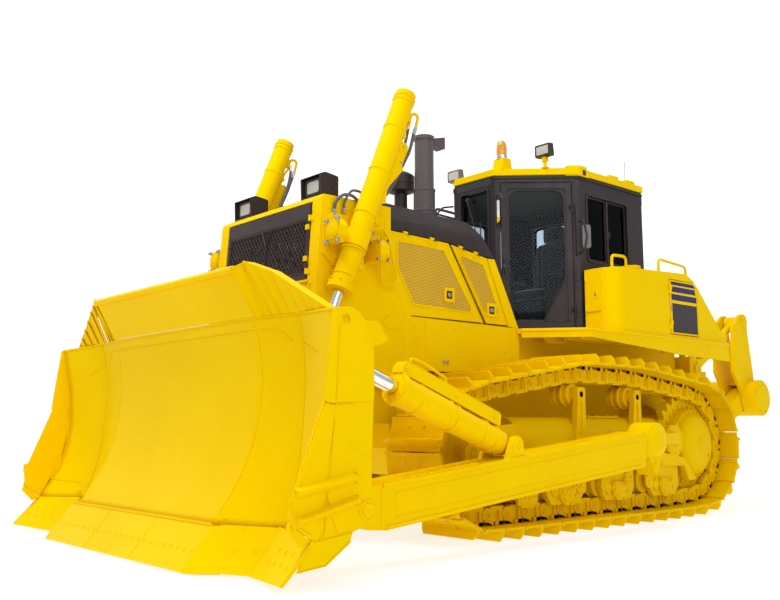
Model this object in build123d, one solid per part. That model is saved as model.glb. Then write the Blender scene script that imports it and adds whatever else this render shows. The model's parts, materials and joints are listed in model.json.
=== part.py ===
from build123d import *
import os
from math import sin, cos, tan, pi, sqrt, atan2, radians, degrees, hypot

# Crawler bulldozer, about 40 t class: +X forward, +Y left, +Z up, millimetres.
# All coordinates below are measured from the sprocket centre line (x = 0), the
# middle plane (y = 0) and the ground (z = 0).  XC moves them so that the
# machine's box is centred over the origin.
XC = 1618.0

# ---------------------------------------------------------------- dimensions
PITCH = 228.6                     # track link pitch
SHOE_COUNT = 41
GAUGE = 2140.0                    # between track centre lines
SHOE_W = 610.0
PIN_TO_LINK_TOP = 83.0            # pin centre out to the shoe seat
SHOE_T = 22.0
GROUSER_H = 80.0
RAIL_DROP = 65.0                  # pin centre in to the rail face
TRACK_Y = GAUGE / 2
PIN_Z = PIN_TO_LINK_TOP + SHOE_T + GROUSER_H       # lowest pins over the ground
SPROCKET_Z = 694.0
SPROCKET_PIN_R = 495.6
IDLER_X, IDLER_Z, IDLER_PIN_R = 3165.0, 650.0, 465.0
CARRIER_X = (1900.0, 1050.0)
CARRIER_PIN_Z = (1325.0, 1315.0)  # chain pins above each carrier roller
ROLLER_X = (548.0, 880.0, 1225.0, 1570.0, 1915.0, 2260.0, 2605.0)
ROLLER_R = 115.0
BOGIE_X = (620.0, 1370.0, 2120.0)

ARM_PIVOT = (1432.0, 756.0)       # push arm trunnion, (x, z)
ARM_PIN = (4934.0, 405.0)         # push arm to blade
FOOT = (490.0, 735.0)             # bolted foot of the trunnion bracket
ARM_Y = (1460.0, 1750.0)          # inner and outer face

BLADE_HALF = 2030.0               # half width inside the end plates
EDGE_TIP = (5600.0, 18.0)

LIFT_Y = 872.0
LIFT_TRUNNION = (4118.0, 2281.0)
LIFT_EYE = (4727.0, 747.0)
LIFT_BARREL_R, LIFT_ROD_R = 86.0, 37.5
TILT_Y = 1605.0
TILT_HEAD = (3310.0, 736.0)
TILT_EYE = (4855.0, 1318.0)
TILT_BARREL_R, TILT_ROD_R = 105.0, 50.0

RIP_A, RIP_P = (-950.0, 620.0), (-2030.0, 1230.0)      # lower link pins
RIP_T = (-1970.0, 2110.0)                              # upper link to beam
RIP_B = (RIP_T[0] - RIP_P[0] + RIP_A[0], RIP_T[1] - RIP_P[1] + RIP_A[1])
RIP_Y = (560.0, 740.0)
RIP_H, RIP_R = (-930.0, 1400.0), (-1720.0, 900.0)      # lift cylinder pins
RIP_CYL_Y = 300.0
SHANK_Y = (-650, 0, 650)

GUARD_Y = 740.0
HOOD_Y = 700.0
CAB_FRONT_X, CAB_B_X, CAB_REAR_X = 1900.0, 1300.0, 220.0
CAB_FRONT_Y, CAB_SIDE_Y = 280.0, 850.0
CAB_Z0, CAB_Z1 = 1756.0, 3330.0
DECK_Z0, DECK_Z1 = 1712.0, 1755.0
TANK_Y = (870.0, 1220.0)

os.makedirs("parts", exist_ok=True)
NODES = {}


# ------------------------------------------------------------------- helpers
def poly(points, direction, length):
    """Closed flat polygon pushed along a direction."""
    face = Face(Wire.make_polygon([Vector(*p) for p in points], close=True))
    return extrude(face, amount=length, dir=direction)


def prism_y(pts, y0, y1):
    return poly([(x, y0, z) for x, z in pts], (0, 1, 0), y1 - y0)


def prism_x(pts, x0, x1):
    return poly([(x0, y, z) for y, z in pts], (1, 0, 0), x1 - x0)


def prism_z(pts, z0, z1):
    return poly([(x, y, z0) for x, y in pts], (0, 0, 1), z1 - z0)


def box(x0, x1, y0, y1, z0, z1):
    return Pos((x0 + x1) / 2, (y0 + y1) / 2, (z0 + z1) / 2) * Box(x1 - x0, y1 - y0, z1 - z0)


def rod(p, q, r):
    """Round bar between two points."""
    p, q = Vector(*p), Vector(*q)
    d = q - p
    return Plane(origin=p, z_dir=d) * Cylinder(r, d.length, align=(Align.CENTER, Align.CENTER, Align.MIN))


def cyl_y(x, z, r, y0, y1):
    return rod((x, y0, z), (x, y1, z), r)


def cyl_z(x, y, r, z0, z1):
    return rod((x, y, z0), (x, y, z1), r)


def cyl_x(y, z, r, x0, x1):
    return rod((x0, y, z), (x1, y, z), r)


def pipe(points, r, bend):
    """Bent round tube through the points."""
    path = FilletPolyline(*[Vector(*p) for p in points], radius=bend)
    return sweep(Plane(origin=path @ 0, z_dir=path % 0) * Circle(r), path)


def mir(s):
    return mirror(s, about=Plane.XZ)


def fuse(shapes):
    out = shapes[0]
    for s in shapes[1:]:
        out = out + s
    return out


def put(name, *shapes):
    solids = []
    for s in shapes:
        solids += list(s.solids())
    moved = [s.moved(Location((-XC, 0, 0))) for s in solids]
    NODES[name] = moved[0] if len(moved) == 1 else Compound(moved)


def both(name, make):
    """Left piece and its mirror as two nodes."""
    s = make()
    put("left_" + name, s)
    put("right_" + name, mir(s))


def lerp(a, b, t):
    return tuple(u + (v - u) * t for u, v in zip(a, b))


def along(p, q, d):
    """Point d from p towards q in the x-z plane."""
    length = hypot(q[0] - p[0], q[1] - p[1])
    return (p[0] + (q[0] - p[0]) * d / length, p[1] + (q[1] - p[1]) * d / length)


HINGE_PIN, HINGE_R = 6.0, 11.0


def hinge(p, d, n, u, h, at):
    """Butt hinges on one axis.  p: point on the axis, d: its direction, n: outward
    normal of the wall, u: from the axis towards the door, h: axis height over the
    wall, at: places along the axis.  Returns (frame halves, door halves)."""
    p, d, n, u = Vector(*p), Vector(*d).normalized(), Vector(*n).normalized(), Vector(*u).normalized()

    def leaf(side, t0, t1):
        pts = [p + d * t0 + u * (side * a) + n * b for a, b in
               ((0, 2 - h), (12, 2 - h), (12, -h - 0.5), (45, -h - 0.5), (45, 7 - h), (0, 7 - h))]
        return poly([(v.X, v.Y, v.Z) for v in pts], (d.X, d.Y, d.Z), t1 - t0)

    def bar(t0, t1, r):
        a, b = p + d * t0, p + d * t1
        return rod((a.X, a.Y, a.Z), (b.X, b.Y, b.Z), r)

    frame, door = [], []
    for t in at:
        frame.append(bar(t - 45, t - 1, HINGE_R) + leaf(-1, t - 45, t - 1) + bar(t - 46, t + 44, HINGE_PIN))
        door.append(bar(t, t + 44, HINGE_R) + leaf(1, t, t + 44) - bar(t - 1, t + 45, HINGE_PIN + 0.05))
    return frame, door


# --------------------------------------------------------------------- track
def pin_path():
    """Dense outline of the pin centres, clockwise seen from the left side:
    over the top to the front idler, back along the ground to the sprocket."""
    pts = []

    def arc(cx, cz, r, a0, a1, n=60):
        for i in range(n + 1):
            a = radians(a0 + (a1 - a0) * i / n)
            pts.append((cx + r * cos(a), cz + r * sin(a)))

    def tangent(cx, cz, r, px, pz, side):
        d = hypot(px - cx, pz - cz)
        return degrees(atan2(pz - cz, px - cx) + side * math_acos(r / d))

    a_s = tangent(0, SPROCKET_Z, SPROCKET_PIN_R, CARRIER_X[1], CARRIER_PIN_Z[1], 1)
    a_i = tangent(IDLER_X, IDLER_Z, IDLER_PIN_R, CARRIER_X[0], CARRIER_PIN_Z[0], -1)
    a_b = tangent(0, SPROCKET_Z, SPROCKET_PIN_R, 420.0, PIN_Z, -1)
    arc(0, SPROCKET_Z, SPROCKET_PIN_R, 180, a_s)
    pts.append((CARRIER_X[1], CARRIER_PIN_Z[1]))
    pts.append((CARRIER_X[0], CARRIER_PIN_Z[0]))
    arc(IDLER_X, IDLER_Z, IDLER_PIN_R, a_i, -90)
    pts.append((420.0, PIN_Z))
    arc(0, SPROCKET_Z, SPROCKET_PIN_R, a_b, -180)
    return pts


def math_acos(v):
    return atan2(sqrt(max(0.0, 1 - v * v)), v)


def track_pins():
    pts = pin_path()
    seg = [hypot(b[0] - a[0], b[1] - a[1]) for a, b in zip(pts, pts[1:])]
    total = sum(seg)
    step = total / SHOE_COUNT
    out, i, done = [], 0, 0.0
    for n in range(SHOE_COUNT):
        want = (n + 0.35) * step
        while done + seg[i] < want:
            done += seg[i]
            i += 1
        t = (want - done) / seg[i]
        out.append(lerp(pts[i], pts[i + 1], t))
    return out, step


def offset_ring(pins, d):
    """Ring of corners at the bisectors, d outwards of the pin polygon."""
    n = len(pins)
    out = []
    for i in range(n):
        a, b, c = pins[i - 1], pins[i], pins[(i + 1) % n]
        n1 = normal(a, b)
        n2 = normal(b, c)
        k = 1 + n1[0] * n2[0] + n1[1] * n2[1]
        out.append((b[0] + d * (n1[0] + n2[0]) / k, b[1] + d * (n1[1] + n2[1]) / k))
    return out


def normal(a, b):
    """Outward normal of a link that runs clockwise."""
    length = hypot(b[0] - a[0], b[1] - a[1])
    return (-(b[1] - a[1]) / length, (b[0] - a[0]) / length)


PINS, STEP = track_pins()
print("track pitch", round(STEP, 2))


def make_track():
    n = len(PINS)
    plate = offset_ring(PINS, PIN_TO_LINK_TOP + SHOE_T)
    outline = []
    for i in range(n):
        a, b = PINS[i], PINS[(i + 1) % n]
        nx, nz = normal(a, b)
        outline.append(plate[i])
        # grouser near the leading end of the shoe: (distance back from the pin, height)
        for back, high in ((52.0, 0.0), (40.0, GROUSER_H), (22.0, GROUSER_H), (10.0, 0.0)):
            px, pz = along(b, a, back)
            h = PIN_TO_LINK_TOP + SHOE_T + high
            outline.append((px + nx * h, pz + nz * h))
    shoes = prism_y(outline, TRACK_Y - SHOE_W / 2, TRACK_Y + SHOE_W / 2)
    shoes -= prism_y(offset_ring(PINS, PIN_TO_LINK_TOP), TRACK_Y - SHOE_W / 2 - 5, TRACK_Y + SHOE_W / 2 + 5)
    outer = offset_ring(PINS, PIN_TO_LINK_TOP + 8)
    inner = offset_ring(PINS, -RAIL_DROP)
    strands = []
    for y0, y1 in ((TRACK_Y - 110, TRACK_Y - 50), (TRACK_Y + 50, TRACK_Y + 110)):
        strands.append(prism_y(outer, y0, y1) - prism_y(inner, y0 - 5, y1 + 5))
    return shoes + strands[0] + strands[1]


both("track", make_track)


# ------------------------------------------------- sprocket, idler, rollers
def make_sprocket():
    teeth = 27
    pts = []
    for i in range(teeth):
        a = 2 * pi * i / teeth
        for da, r in ((-0.32, 452.0), (-0.14, 505.0), (0.14, 505.0), (0.32, 452.0)):
            t = a + da * 2 * pi / teeth
            pts.append((r * cos(t), SPROCKET_Z + r * sin(t)))
    wheel = prism_y(pts, TRACK_Y - 38, TRACK_Y + 38)
    # hub: (y from, y to, radius)
    for y0, y1, r in ((860.0, TRACK_Y + 30, 330.0), (TRACK_Y + 20, 1190.0, 345.0), (1180.0, 1262.0, 317.0),
                      (1260.0, 1285.0, 225.0), (1284.0, 1300.0, 120.0)):
        wheel += cyl_y(0, SPROCKET_Z, r, y0, y1)
    return wheel


put("sprockets", make_sprocket(), mir(make_sprocket()))


def make_idler():
    r = sqrt(IDLER_PIN_R ** 2 - (STEP / 2) ** 2) - RAIL_DROP - 1.0
    s = cyl_y(IDLER_X, IDLER_Z, r, TRACK_Y - 110, TRACK_Y + 110)
    s += cyl_y(IDLER_X, IDLER_Z, r + 24, TRACK_Y - 44, TRACK_Y + 44)
    for sgn in (-1, 1):                      # dished web on each side
        y0, y1 = sorted((TRACK_Y + sgn * 60, TRACK_Y + sgn * 120))
        s -= cyl_y(IDLER_X, IDLER_Z, r - 55, y0, y1) - cyl_y(IDLER_X, IDLER_Z, 120.0, y0, y1)
    s += cyl_y(IDLER_X, IDLER_Z, 55.0, TRACK_Y - 119, TRACK_Y + 119)
    return s


put("idlers", make_idler(), mir(make_idler()))


def make_rollers():
    out = []
    z = PIN_Z + RAIL_DROP + ROLLER_R + 0.5
    for x in ROLLER_X:
        s = cyl_y(x, z, ROLLER_R, TRACK_Y - 108, TRACK_Y + 108)
        s += cyl_y(x, z, ROLLER_R + 15, TRACK_Y - 44, TRACK_Y - 24)
        s += cyl_y(x, z, ROLLER_R + 15, TRACK_Y + 24, TRACK_Y + 44)
        s += cyl_y(x, z, 42.0, TRACK_Y - 119, TRACK_Y + 119)
        out.append(s)
    for x, zp in zip(CARRIER_X, CARRIER_PIN_Z):
        zc = zp - RAIL_DROP - 95 - 14
        s = cyl_y(x, zc, 95.0, TRACK_Y - 105, TRACK_Y + 105)
        s += cyl_y(x, zc, 112.0, TRACK_Y - 40, TRACK_Y + 40)
        s += cyl_y(x, zc, 48.0, TRACK_Y - 60, TRACK_Y + 134)
        out.append(s)
    return Compound([k for s in out for k in s.solids()])


put("track_rollers", make_rollers(), mir(make_rollers()))


def make_track_frame():
    # tube section: (y, z) with a rounded crown
    sec = [(905, 505), (905, 800), (925, 880), (975, 935), (1040, 952), (1100, 952), (1165, 935),
           (1215, 880), (1235, 800), (1235, 505)]
    s = prism_x(sec, 640, 2740)
    s -= cyl_y(0, SPROCKET_Z, 372.0, 850, 1300)
    # rear fork beside the sprocket and the guard tail below it
    for y0, y1 in ((905, 1000), (1150, 1235)):
        s += prism_y([(700, 505), (700, 820), (460, 700), (415, 600), (430, 505)], y0, y1)
    # idler yoke plates and roller hangers: (x0, x1, z0, z1)
    for y0, y1 in ((905, 950), (1190, 1235)):
        s += prism_y([(2700, 505), (2700, 900), (2960, 880), (3290, 760), (3330, 700), (3330, 600), (3270, 545), (2960, 505)], y0, y1)
        for x0, x1, z0, z1 in [(x - 250, x + 250, 222, 520) for x in BOGIE_X] + [(2480, 2740, 222, 520)]:
            s += prism_y([(x0 + 60, z0), (x0, z0 + 90), (x0, z1), (x1, z1), (x1, z0 + 90), (x1 - 60, z0)], y0, y1)
    # bolted hanger caps on the outer face
    for x in BOGIE_X:
        s += prism_y([(x - 105, 372), (x - 118, 290), (x - 60, 215), (x + 40, 215), (x + 112, 290), (x + 95, 385)], 1234, 1262)
    s += box(2580, 2790, 1234, 1256, 560, 700)
    # carrier roller posts on the outer side
    for x, zp in zip(CARRIER_X, CARRIER_PIN_Z):
        zc = zp - RAIL_DROP - 109
        s += prism_y([(x - 62, 800), (x - 55, zc - 60), (x - 60, zc + 40), (x - 40, zc + 62), (x + 40, zc + 62),
                      (x + 60, zc + 40), (x + 52, zc - 60), (x + 85, 800)], 1205, 1262)
        s += box(x - 62, x + 85, 1175, 1262, 640, 860)
    # trunnion for the push arm with its bolted octagonal foot
    oc = [(FOOT[0] + 160 * cos(radians(22.5 + 45 * i)), FOOT[1] + 160 * sin(radians(22.5 + 45 * i))) for i in range(8)]
    s += prism_y(oc, 1225, 1290)
    s += prism_z([(490, 1289), (490, 1345), (1360, 1440), (1505, 1440), (1505, 1235), (1300, 1235)], 700, 806)
    # tail beside the sprocket
    s += prism_y([(720, 640), (668, 620), (330, 568), (118, 352), (258, 346), (329, 488), (720, 505)], 1225, 1289)
    s += cyl_y(*ARM_PIVOT, 70.0, 1235, 1500)
    s += cyl_y(*ARM_PIVOT, 90.0, 1440, 1675)
    return s


put("track_frames", make_track_frame(), mir(make_track_frame()))


# ----------------------------------------------------------------- main frame
def make_main_frame():
    s = prism_y([(-740, 640), (-740, 1330), (3430, 1330), (3480, 1240), (3480, 700), (3250, 470), (300, 420), (-480, 420)], -520, 520)
    # rear housing that carries the cab
    s += box(-690, 2060, -610, 610, 1331, DECK_Z0)
    return s


put("main_frame", make_main_frame())
# front side members under the radiator guard, with their cross member
put("front_frame", box(3481, 4300, 300, 520, 900, 1240) + box(3481, 4300, -520, -300, 900, 1240) + box(4180, 4300, -520, 520, 900, 1240))
# final drive cases, cross shaft and equalizer bar, out to the track frames
cross = [cyl_y(0, SPROCKET_Z, 400.0, 521, 640) + cyl_y(0, SPROCKET_Z, 300.0, 600, 858), cyl_y(900, 740, 95.0, 521, 902), box(2960, 3080, 521, 900, 560, 700)]
put("cross_members", *cross, *[mir(c) for c in cross])

put("engine_block", box(2340, 3380, -400, 400, 1331, 2120) + box(2400, 3250, -300, 300, 2100, 2260))


# ------------------------------------------------------------- radiator guard
GX = lambda z: 4440 - (z - 1290) * 0.0705      # outer face of the guard's front at height z
GRILLE_HINGE = hinge((GX(2290) + 11, 612, 2290), (-0.0705, 0, 1), (1, 0, 0.0705), (0, -1, 0), 13.0, (-220, 200))
GUARD_SIDE = [(4345, 2600), (4440, 1330), (4440, 1242), (3490, 1242), (3432, 1330), (3432, 1800), (3655, 2130), (3655, 2640), (4330, 2640)]


def make_guard():
    s = prism_y(GUARD_SIDE, -GUARD_Y, GUARD_Y)
    s -= prism_y([(3400, 1300), (3400, 2600), (4600, 2600), (4600, 1300)], -GUARD_Y + 45, GUARD_Y - 45)
    # front face panels: below the grille and beside it
    lo = [(4437, 1290), (4397, 1290), (4347, 1970), (4387, 1970)]
    s += prism_y(lo, -GUARD_Y + 40, GUARD_Y - 40)
    up = [(4438, 1290), (4398, 1290), (4305, 2610), (4345, 2610)]
    for a, b in ((-GUARD_Y + 40, -618), (618, GUARD_Y - 40)):
        s += prism_y(up, a, b)
    s = fuse([s] + GRILLE_HINGE[0])
    # lift cylinder yokes: foot on the guard side, two cheeks
    for sg in (-1, 1):
        y0, y1 = sorted((sg * 735, sg * 762))
        s += prism_y([(3960, 2110), (3900, 2420), (4020, 2500), (4260, 2500), (4345, 2400), (4345, 2180), (4250, 2090)], y0, y1)
        s -= cyl_y(*LIFT_TRUNNION, 38.05, *sorted((sg * 720, sg * 780)))
    return s


put("radiator_guard", make_guard())
put("radiator_core", box(3760, 3920, -640, 640, 1310, 2590))



def make_grille():
    z0, z1 = 1992.0, 2590.0
    s = prism_y([(GX(z0) - 2, z0), (GX(z0) - 26, z0), (GX(z1) - 26, z1), (GX(z1) - 2, z1)], -606, 606)
    s -= prism_y([(GX(z0) + 40, z0 + 45), (GX(z0) - 12, z0 + 45), (GX(z1 - 130) - 12, z1 - 130), (GX(z1 - 130) + 40, z1 - 130)], -565, 565)
    return fuse([s] + GRILLE_HINGE[1])


put("grille_door", make_grille())


# ------------------------------------------------------------------------ hood
# engine doors: name, outline (x, z), a point on the hinge line, its slope, hinge places
DOORS = (("front_engine_door", [(3640, 2462), (3640, 2137), (3423, 1795), (3423, 1780), (2530, 1780), (2958, 2440)], (3300, 2454.5), 0.0323, (-150, 150)),
         ("rear_engine_door", [(2926, 2434), (2496, 1780), (2218, 1780), (2482, 2368)], (2710, 2406.0), 0.149, (-96, 96)))
DOOR_Y0, DOOR_Y1 = 686.0, 698.0
DOOR_HINGES = [hinge((px, DOOR_Y1 + 14, pz), (1, 0, slope), (0, 1, 0), (slope, 0, -1), 14.0, at) for name, prof, (px, pz), slope, at in DOORS]


def make_hood_top():
    prof = [(3650, 2470), (3650, 2705), (2650, 2682), (2462, 2480), (2378, 2376), (2480, 2380), (2945, 2446)]
    s = prism_y(prof, -HOOD_Y, HOOD_Y)
    sec = [(-700, 2300), (-700, 2560), (-610, 2710), (610, 2710), (700, 2560), (700, 2300)]
    s = s & prism_x(sec, 2300, 3700)
    hole = prism_y([(3700, 2300), (3700, 2680), (2662, 2660), (2492, 2476), (2400, 2360), (2400, 2300)], -676, 676)
    hole = hole & prism_x([(-676, 2250), (-676, 2552), (-598, 2686), (598, 2686), (676, 2552), (676, 2250)], 2200, 3800)
    s = s - hole
    tabs = [k for frame, door in DOOR_HINGES for k in frame]
    return fuse([s] + tabs + [mir(k) for k in tabs])


put("hood_top", make_hood_top())


def make_hood_frame():
    s = None
    for sg in (-1, 1):
        y0, y1 = sorted((sg * 676, sg * 700))
        lower = prism_y([(3428, 1331), (3428, 1772), (2062, 1762), (2062, 1331)], y0, y1)
        strip = prism_y([(2470, 2366), (2205, 1772), (2066, 1760), (2378, 2370)], y0, y1)
        post = prism_y([(2947, 2430), (2919, 2428), (2500, 1772), (2520, 1772)], *sorted((sg * 640, sg * 664)))
        bar = box(2440, 3430, *sorted((sg * 630, sg * 677)), 1752, 1772)
        side = lower + strip + bar + post
        s = side if s is None else s + side
    s += prism_y([(2378, 2370), (2066, 1758), (2062, 1331), (2086, 1331), (2090, 1752), (2404, 2366)], -690, 690)
    return s


put("hood_frame", make_hood_frame())

for (name, prof, *rest), (frame, door) in zip(DOORS, DOOR_HINGES):
    both(name, lambda p=prof, d=door: fuse([prism_y(p, DOOR_Y0, DOOR_Y1)] + d))

# exhaust: sleeve, stack and a flared outlet that faces the rear
EX = 2590.0
outlet = loft([Face(Wire.make_polygon([Vector(EX - 60, y, z) for y, z in ((-36, 3575), (36, 3575), (36, 3640), (-36, 3640))], close=True)),
               Face(Wire.make_polygon([Vector(EX - 225, y, z) for y, z in ((-62, 3556), (62, 3556), (62, 3680), (-62, 3680))], close=True))], ruled=True)
put("exhaust_stack", cyl_z(EX, 0, 93.0, 2706, 3640) + cyl_z(EX, 0, 108.0, 2700, 3120) + cyl_z(EX, 0, 103.0, 3610, 3650) + outlet)
put("air_precleaner", cyl_z(2670, -250, 70.0, 2700, 3130) + cyl_z(2670, -250, 135.0, 3120, 3290)
    + Pos(2670, -250, 3290) * Cone(135, 70, 46, align=(Align.CENTER, Align.CENTER, Align.MIN)))
put("headlights", *[prism_y([(4110, 2652), (4110, 2838), (4240, 2856), (4292, 2836), (4284, 2652)], *sorted((sg * 365, sg * 640)))
                    + box(4150, 4250, *sorted((sg * 440, sg * 565)), 2641, 2655) for sg in (-1, 1)])


# ------------------------------------------------------------ deck and tanks
def make_deck():
    plan = [(-735, 1245), (1690, 1245), (2095, 760), (2095, 705), (2061, 705), (2061, -705), (2095, -705), (2095, -760), (1690, -1245), (-735, -1245)]
    s = prism_z(plan, DECK_Z0, DECK_Z1)
    for sg in (-1, 1):
        y0, y1 = sorted((sg * 1221, sg * 1245))
        s += prism_y([(-735, 1555), (-735, 1720), (1690, 1720), (1690, 1670), (200, 1580)], y0, y1)
        s += prism_z([(1690, sg * 1245), (2095, sg * 760), (2075, sg * 745), (1676, sg * 1221)], 1672, 1720)
    return s


put("deck", make_deck())
TANK_SIDE = [(1280, 1757), (1280, 2372), (20, 2430), (-140, 2354), (-640, 1861), (-657, 1757)]
DOOR_BOX = (-170, 350, 1790, 2340)      # tank access door: x from, x to, z from, z to


TANK_HINGE = hinge((DOOR_BOX[1] + 4, TANK_Y[1] + 13, 2060), (0, 0, 1), (0, 1, 0), (-1, 0, 0), 13.0, (-180, 180))


def make_tank():
    s = prism_y(TANK_SIDE, *TANK_Y)
    x0, x1, z0, z1 = DOOR_BOX
    s -= prism_y([(x0 - 8, z0 - 8), (x0 - 8, z1 - 22), (x0 + 20, z1 + 8), (x1 + 8, z1 + 8), (x1 + 8, z0 - 8)], TANK_Y[1] - 150, TANK_Y[1] + 10)
    return fuse([s] + TANK_HINGE[0])


put("left_tank", make_tank())
put("right_tank", mir(prism_y(TANK_SIDE, *TANK_Y)))
put("left_tank_door", fuse([prism_y([(DOOR_BOX[0], DOOR_BOX[2]), (DOOR_BOX[0], DOOR_BOX[3] - 26), (DOOR_BOX[0] + 26, DOOR_BOX[3]),
                                         (DOOR_BOX[1], DOOR_BOX[3]), (DOOR_BOX[1], DOOR_BOX[2])], TANK_Y[1] - 24, TANK_Y[1])] + TANK_HINGE[1]))
put("rear_tank", prism_y([(190, 1757), (190, 2372), (-140, 2354), (-640, 1861), (-657, 1757)], -866, 866))


# ------------------------------------------------------------------------- cab
def cab_plan(inset):
    k = inset * 0.4142                       # moves the 45 degree corners in step
    return [(CAB_FRONT_X - inset, CAB_FRONT_Y - k), (CAB_B_X - k, CAB_SIDE_Y - inset), (CAB_REAR_X + inset, CAB_SIDE_Y - inset),
            (CAB_REAR_X + inset, -CAB_SIDE_Y + inset), (CAB_B_X - k, -CAB_SIDE_Y + inset), (CAB_FRONT_X - inset, -CAB_FRONT_Y + k)]


DOOR_DX, DOOR_DY = CAB_FRONT_X - CAB_B_X, CAB_FRONT_Y - CAB_SIDE_Y
DOOR_LEN = hypot(DOOR_DX, DOOR_DY)
UX, UY = DOOR_DX / DOOR_LEN, DOOR_DY / DOOR_LEN      # along the left door wall, from hinge to front
NX, NY = -UY, UX                                      # outwards


def door_slab(s0, s1, z0, z1, d0, d1):
    """Block on the left angled wall: s along it, d inwards from its face."""
    pts = [(s0, d0), (s1, d0), (s1, d1), (s0, d1)]
    return prism_z([(CAB_B_X + UX * s - NX * d, CAB_SIDE_Y + UY * s - NY * d) for s, d in pts], z0, z1)


def wall_point(s, d):
    return (CAB_B_X + UX * s - NX * d, CAB_SIDE_Y + UY * s - NY * d)


CAB_HINGE = hinge((*wall_point(68, -13), 2500), (0, 0, 1), (NX, NY, 0), (UX, UY, 0), 13.0, (-540, 480))


def make_cab_frame():
    s = prism_z(cab_plan(0), CAB_Z0, CAB_Z1) - prism_z(cab_plan(60), CAB_Z0 + 44, CAB_Z1 + 10)
    # windscreen, side and rear windows: (x0, x1, y0, y1, z0, z1)
    for w in ((1800, 2000, -195, 195, 1930, 3220), (490, 1190, -900, 900, 2470, 3160), (100, 300, -620, 620, 2440, 3170)):
        s -= box(*w)
    for f in (lambda k: k, mir):
        s -= f(door_slab(70, DOOR_LEN - 52, CAB_Z0 + 34, 3262, -20, 90))
    return fuse([s] + CAB_HINGE[0] + [mir(k) for k in CAB_HINGE[0]])


put("cab_frame", make_cab_frame())
put("cab_roof", prism_z([(1915, 262), (1915, -262), (1320, -862), (200, -862), (200, 862), (1320, 862)], CAB_Z1 + 1, CAB_Z1 + 70))
put("cab_glass", box(1850, 1858, -192, 192, 1933, 3217), box(493, 1187, 812, 820, 2473, 3157), box(493, 1187, -820, -812, 2473, 3157),
    box(246, 254, -617, 617, 2443, 3167))

D0, D1 = 76, DOOR_LEN - 58


def make_cab_door():
    s = door_slab(D0, D1, CAB_Z0 + 44, 3254, 0, 44)
    s -= door_slab(D0 + 62, D1 - 62, CAB_Z0 + 110, 3190, -20, 60)
    return fuse([s] + CAB_HINGE[1])


both("cab_door", make_cab_door)
both("cab_door_glass", lambda: door_slab(D0 + 64, D1 - 64, CAB_Z0 + 112, 3188, 16, 22))

SEAT_X = 900.0
put("operator_seat", box(SEAT_X - 220, SEAT_X + 280, -250, 250, 2190, 2310) + box(SEAT_X - 300, SEAT_X - 180, -240, 240, 2190, 2860)
    + box(SEAT_X - 290, SEAT_X - 200, -130, 130, 2850, 3040) + box(SEAT_X - 150, SEAT_X + 200, -180, 180, 1801, 2195))
put("cab_console", box(620, 1240, 330, 600, 1801, 2420) + box(620, 1240, -600, -330, 1801, 2420), box(1500, 1780, -170, 170, 1801, 2360) + box(1440, 1620, -200, 200, 2340, 2440))
put("beacon", box(1700, 1850, 205, 345, 3401, 3525) + cyl_z(1775, 270, 62.0, 3520, 3590) + cyl_z(1775, 270, 56.0, 3585, 3722))
put("work_lights", *[box(1490, 1570, *sorted((sg * 530, sg * 715)), 3515, 3645) + cyl_z(1530, sg * 622, 18.0, 3401, 3520) for sg in (-1, 1)],
    *[box(70, 160, *sorted((sg * 600, sg * 760)), 3235, 3365) + box(155, 199, *sorted((sg * 660, sg * 700)), 3332, 3356) for sg in (-1, 1)])
put("cab_air_conditioner", box(-60, 219, -420, 420, 2900, 3120))

# handrails: tank top rails, hood rear rails, front door-side rails
rails = []
for sg in (-1, 1):
    rails.append(pipe([(1190, sg * 1130, 2378.5), (1190, sg * 1130, 2500), (960, sg * 1130, 2510), (960, sg * 1130, 2389)], 15.0, 50.0))
    rails.append(pipe([(390, sg * 1130, 2415.5), (390, sg * 1130, 2558), (-120, sg * 1130, 2530), (-120, sg * 1130, 2370)], 15.0, 50.0))
    rails.append(pipe([(2680, sg * 540, 2684.5), (2680, sg * 540, 2770), (2960, sg * 540, 2780), (2960, sg * 540, 2692)], 13.0, 40.0))
put("handrails", *rails)


# ---------------------------------------------------------------- push arms
def make_arm():
    prof = [(1662, 828), (1690, 534), (2330, 470), (4560, 236), (4720, 250), (4800, 300), (4800, 500), (4600, 522), (1700, 822)]
    s = prism_y(prof, *ARM_Y)
    s += cyl_y(*ARM_PIN, 112.0, ARM_Y[0], ARM_Y[1])
    s += prism_y([(4700, 290), (4934, 295), (4934, 515), (4700, 512)], *ARM_Y)
    s -= cyl_y(*ARM_PIN, 50.05, ARM_Y[0] - 5, ARM_Y[1] + 5)
    # clamp round the trunnion with its hanging lug, blind at the outer end
    s += cyl_y(*ARM_PIVOT, 150.0, 1490, 1705)
    s += box(1432, 1700, 1490, 1705, 610, 806)
    s += prism_y([(1330, 660), (1345, 600), (1440, 455), (1530, 600), (1600, 660)], 1500, 1690)
    s -= cyl_y(*ARM_PIVOT, 90.05, 1400, 1680)
    # tilt cylinder bracket: two ears on the top face
    for y0, y1 in ((1460, 1498), (1712, 1750)):
        e = prism_y([(TILT_HEAD[0] - 90, 600), (TILT_HEAD[0] - 62, TILT_HEAD[1] + 40), (TILT_HEAD[0] - 20, TILT_HEAD[1] + 75),
                     (TILT_HEAD[0] + 35, TILT_HEAD[1] + 68), (TILT_HEAD[0] + 70, TILT_HEAD[1] + 10), (TILT_HEAD[0] + 150, 560)], y0, y1)
        s += e
    s += cyl_y(*TILT_HEAD, 40.0, 1461, 1749)
    return s


put("push_arms", make_arm(), mir(make_arm()))


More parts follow.
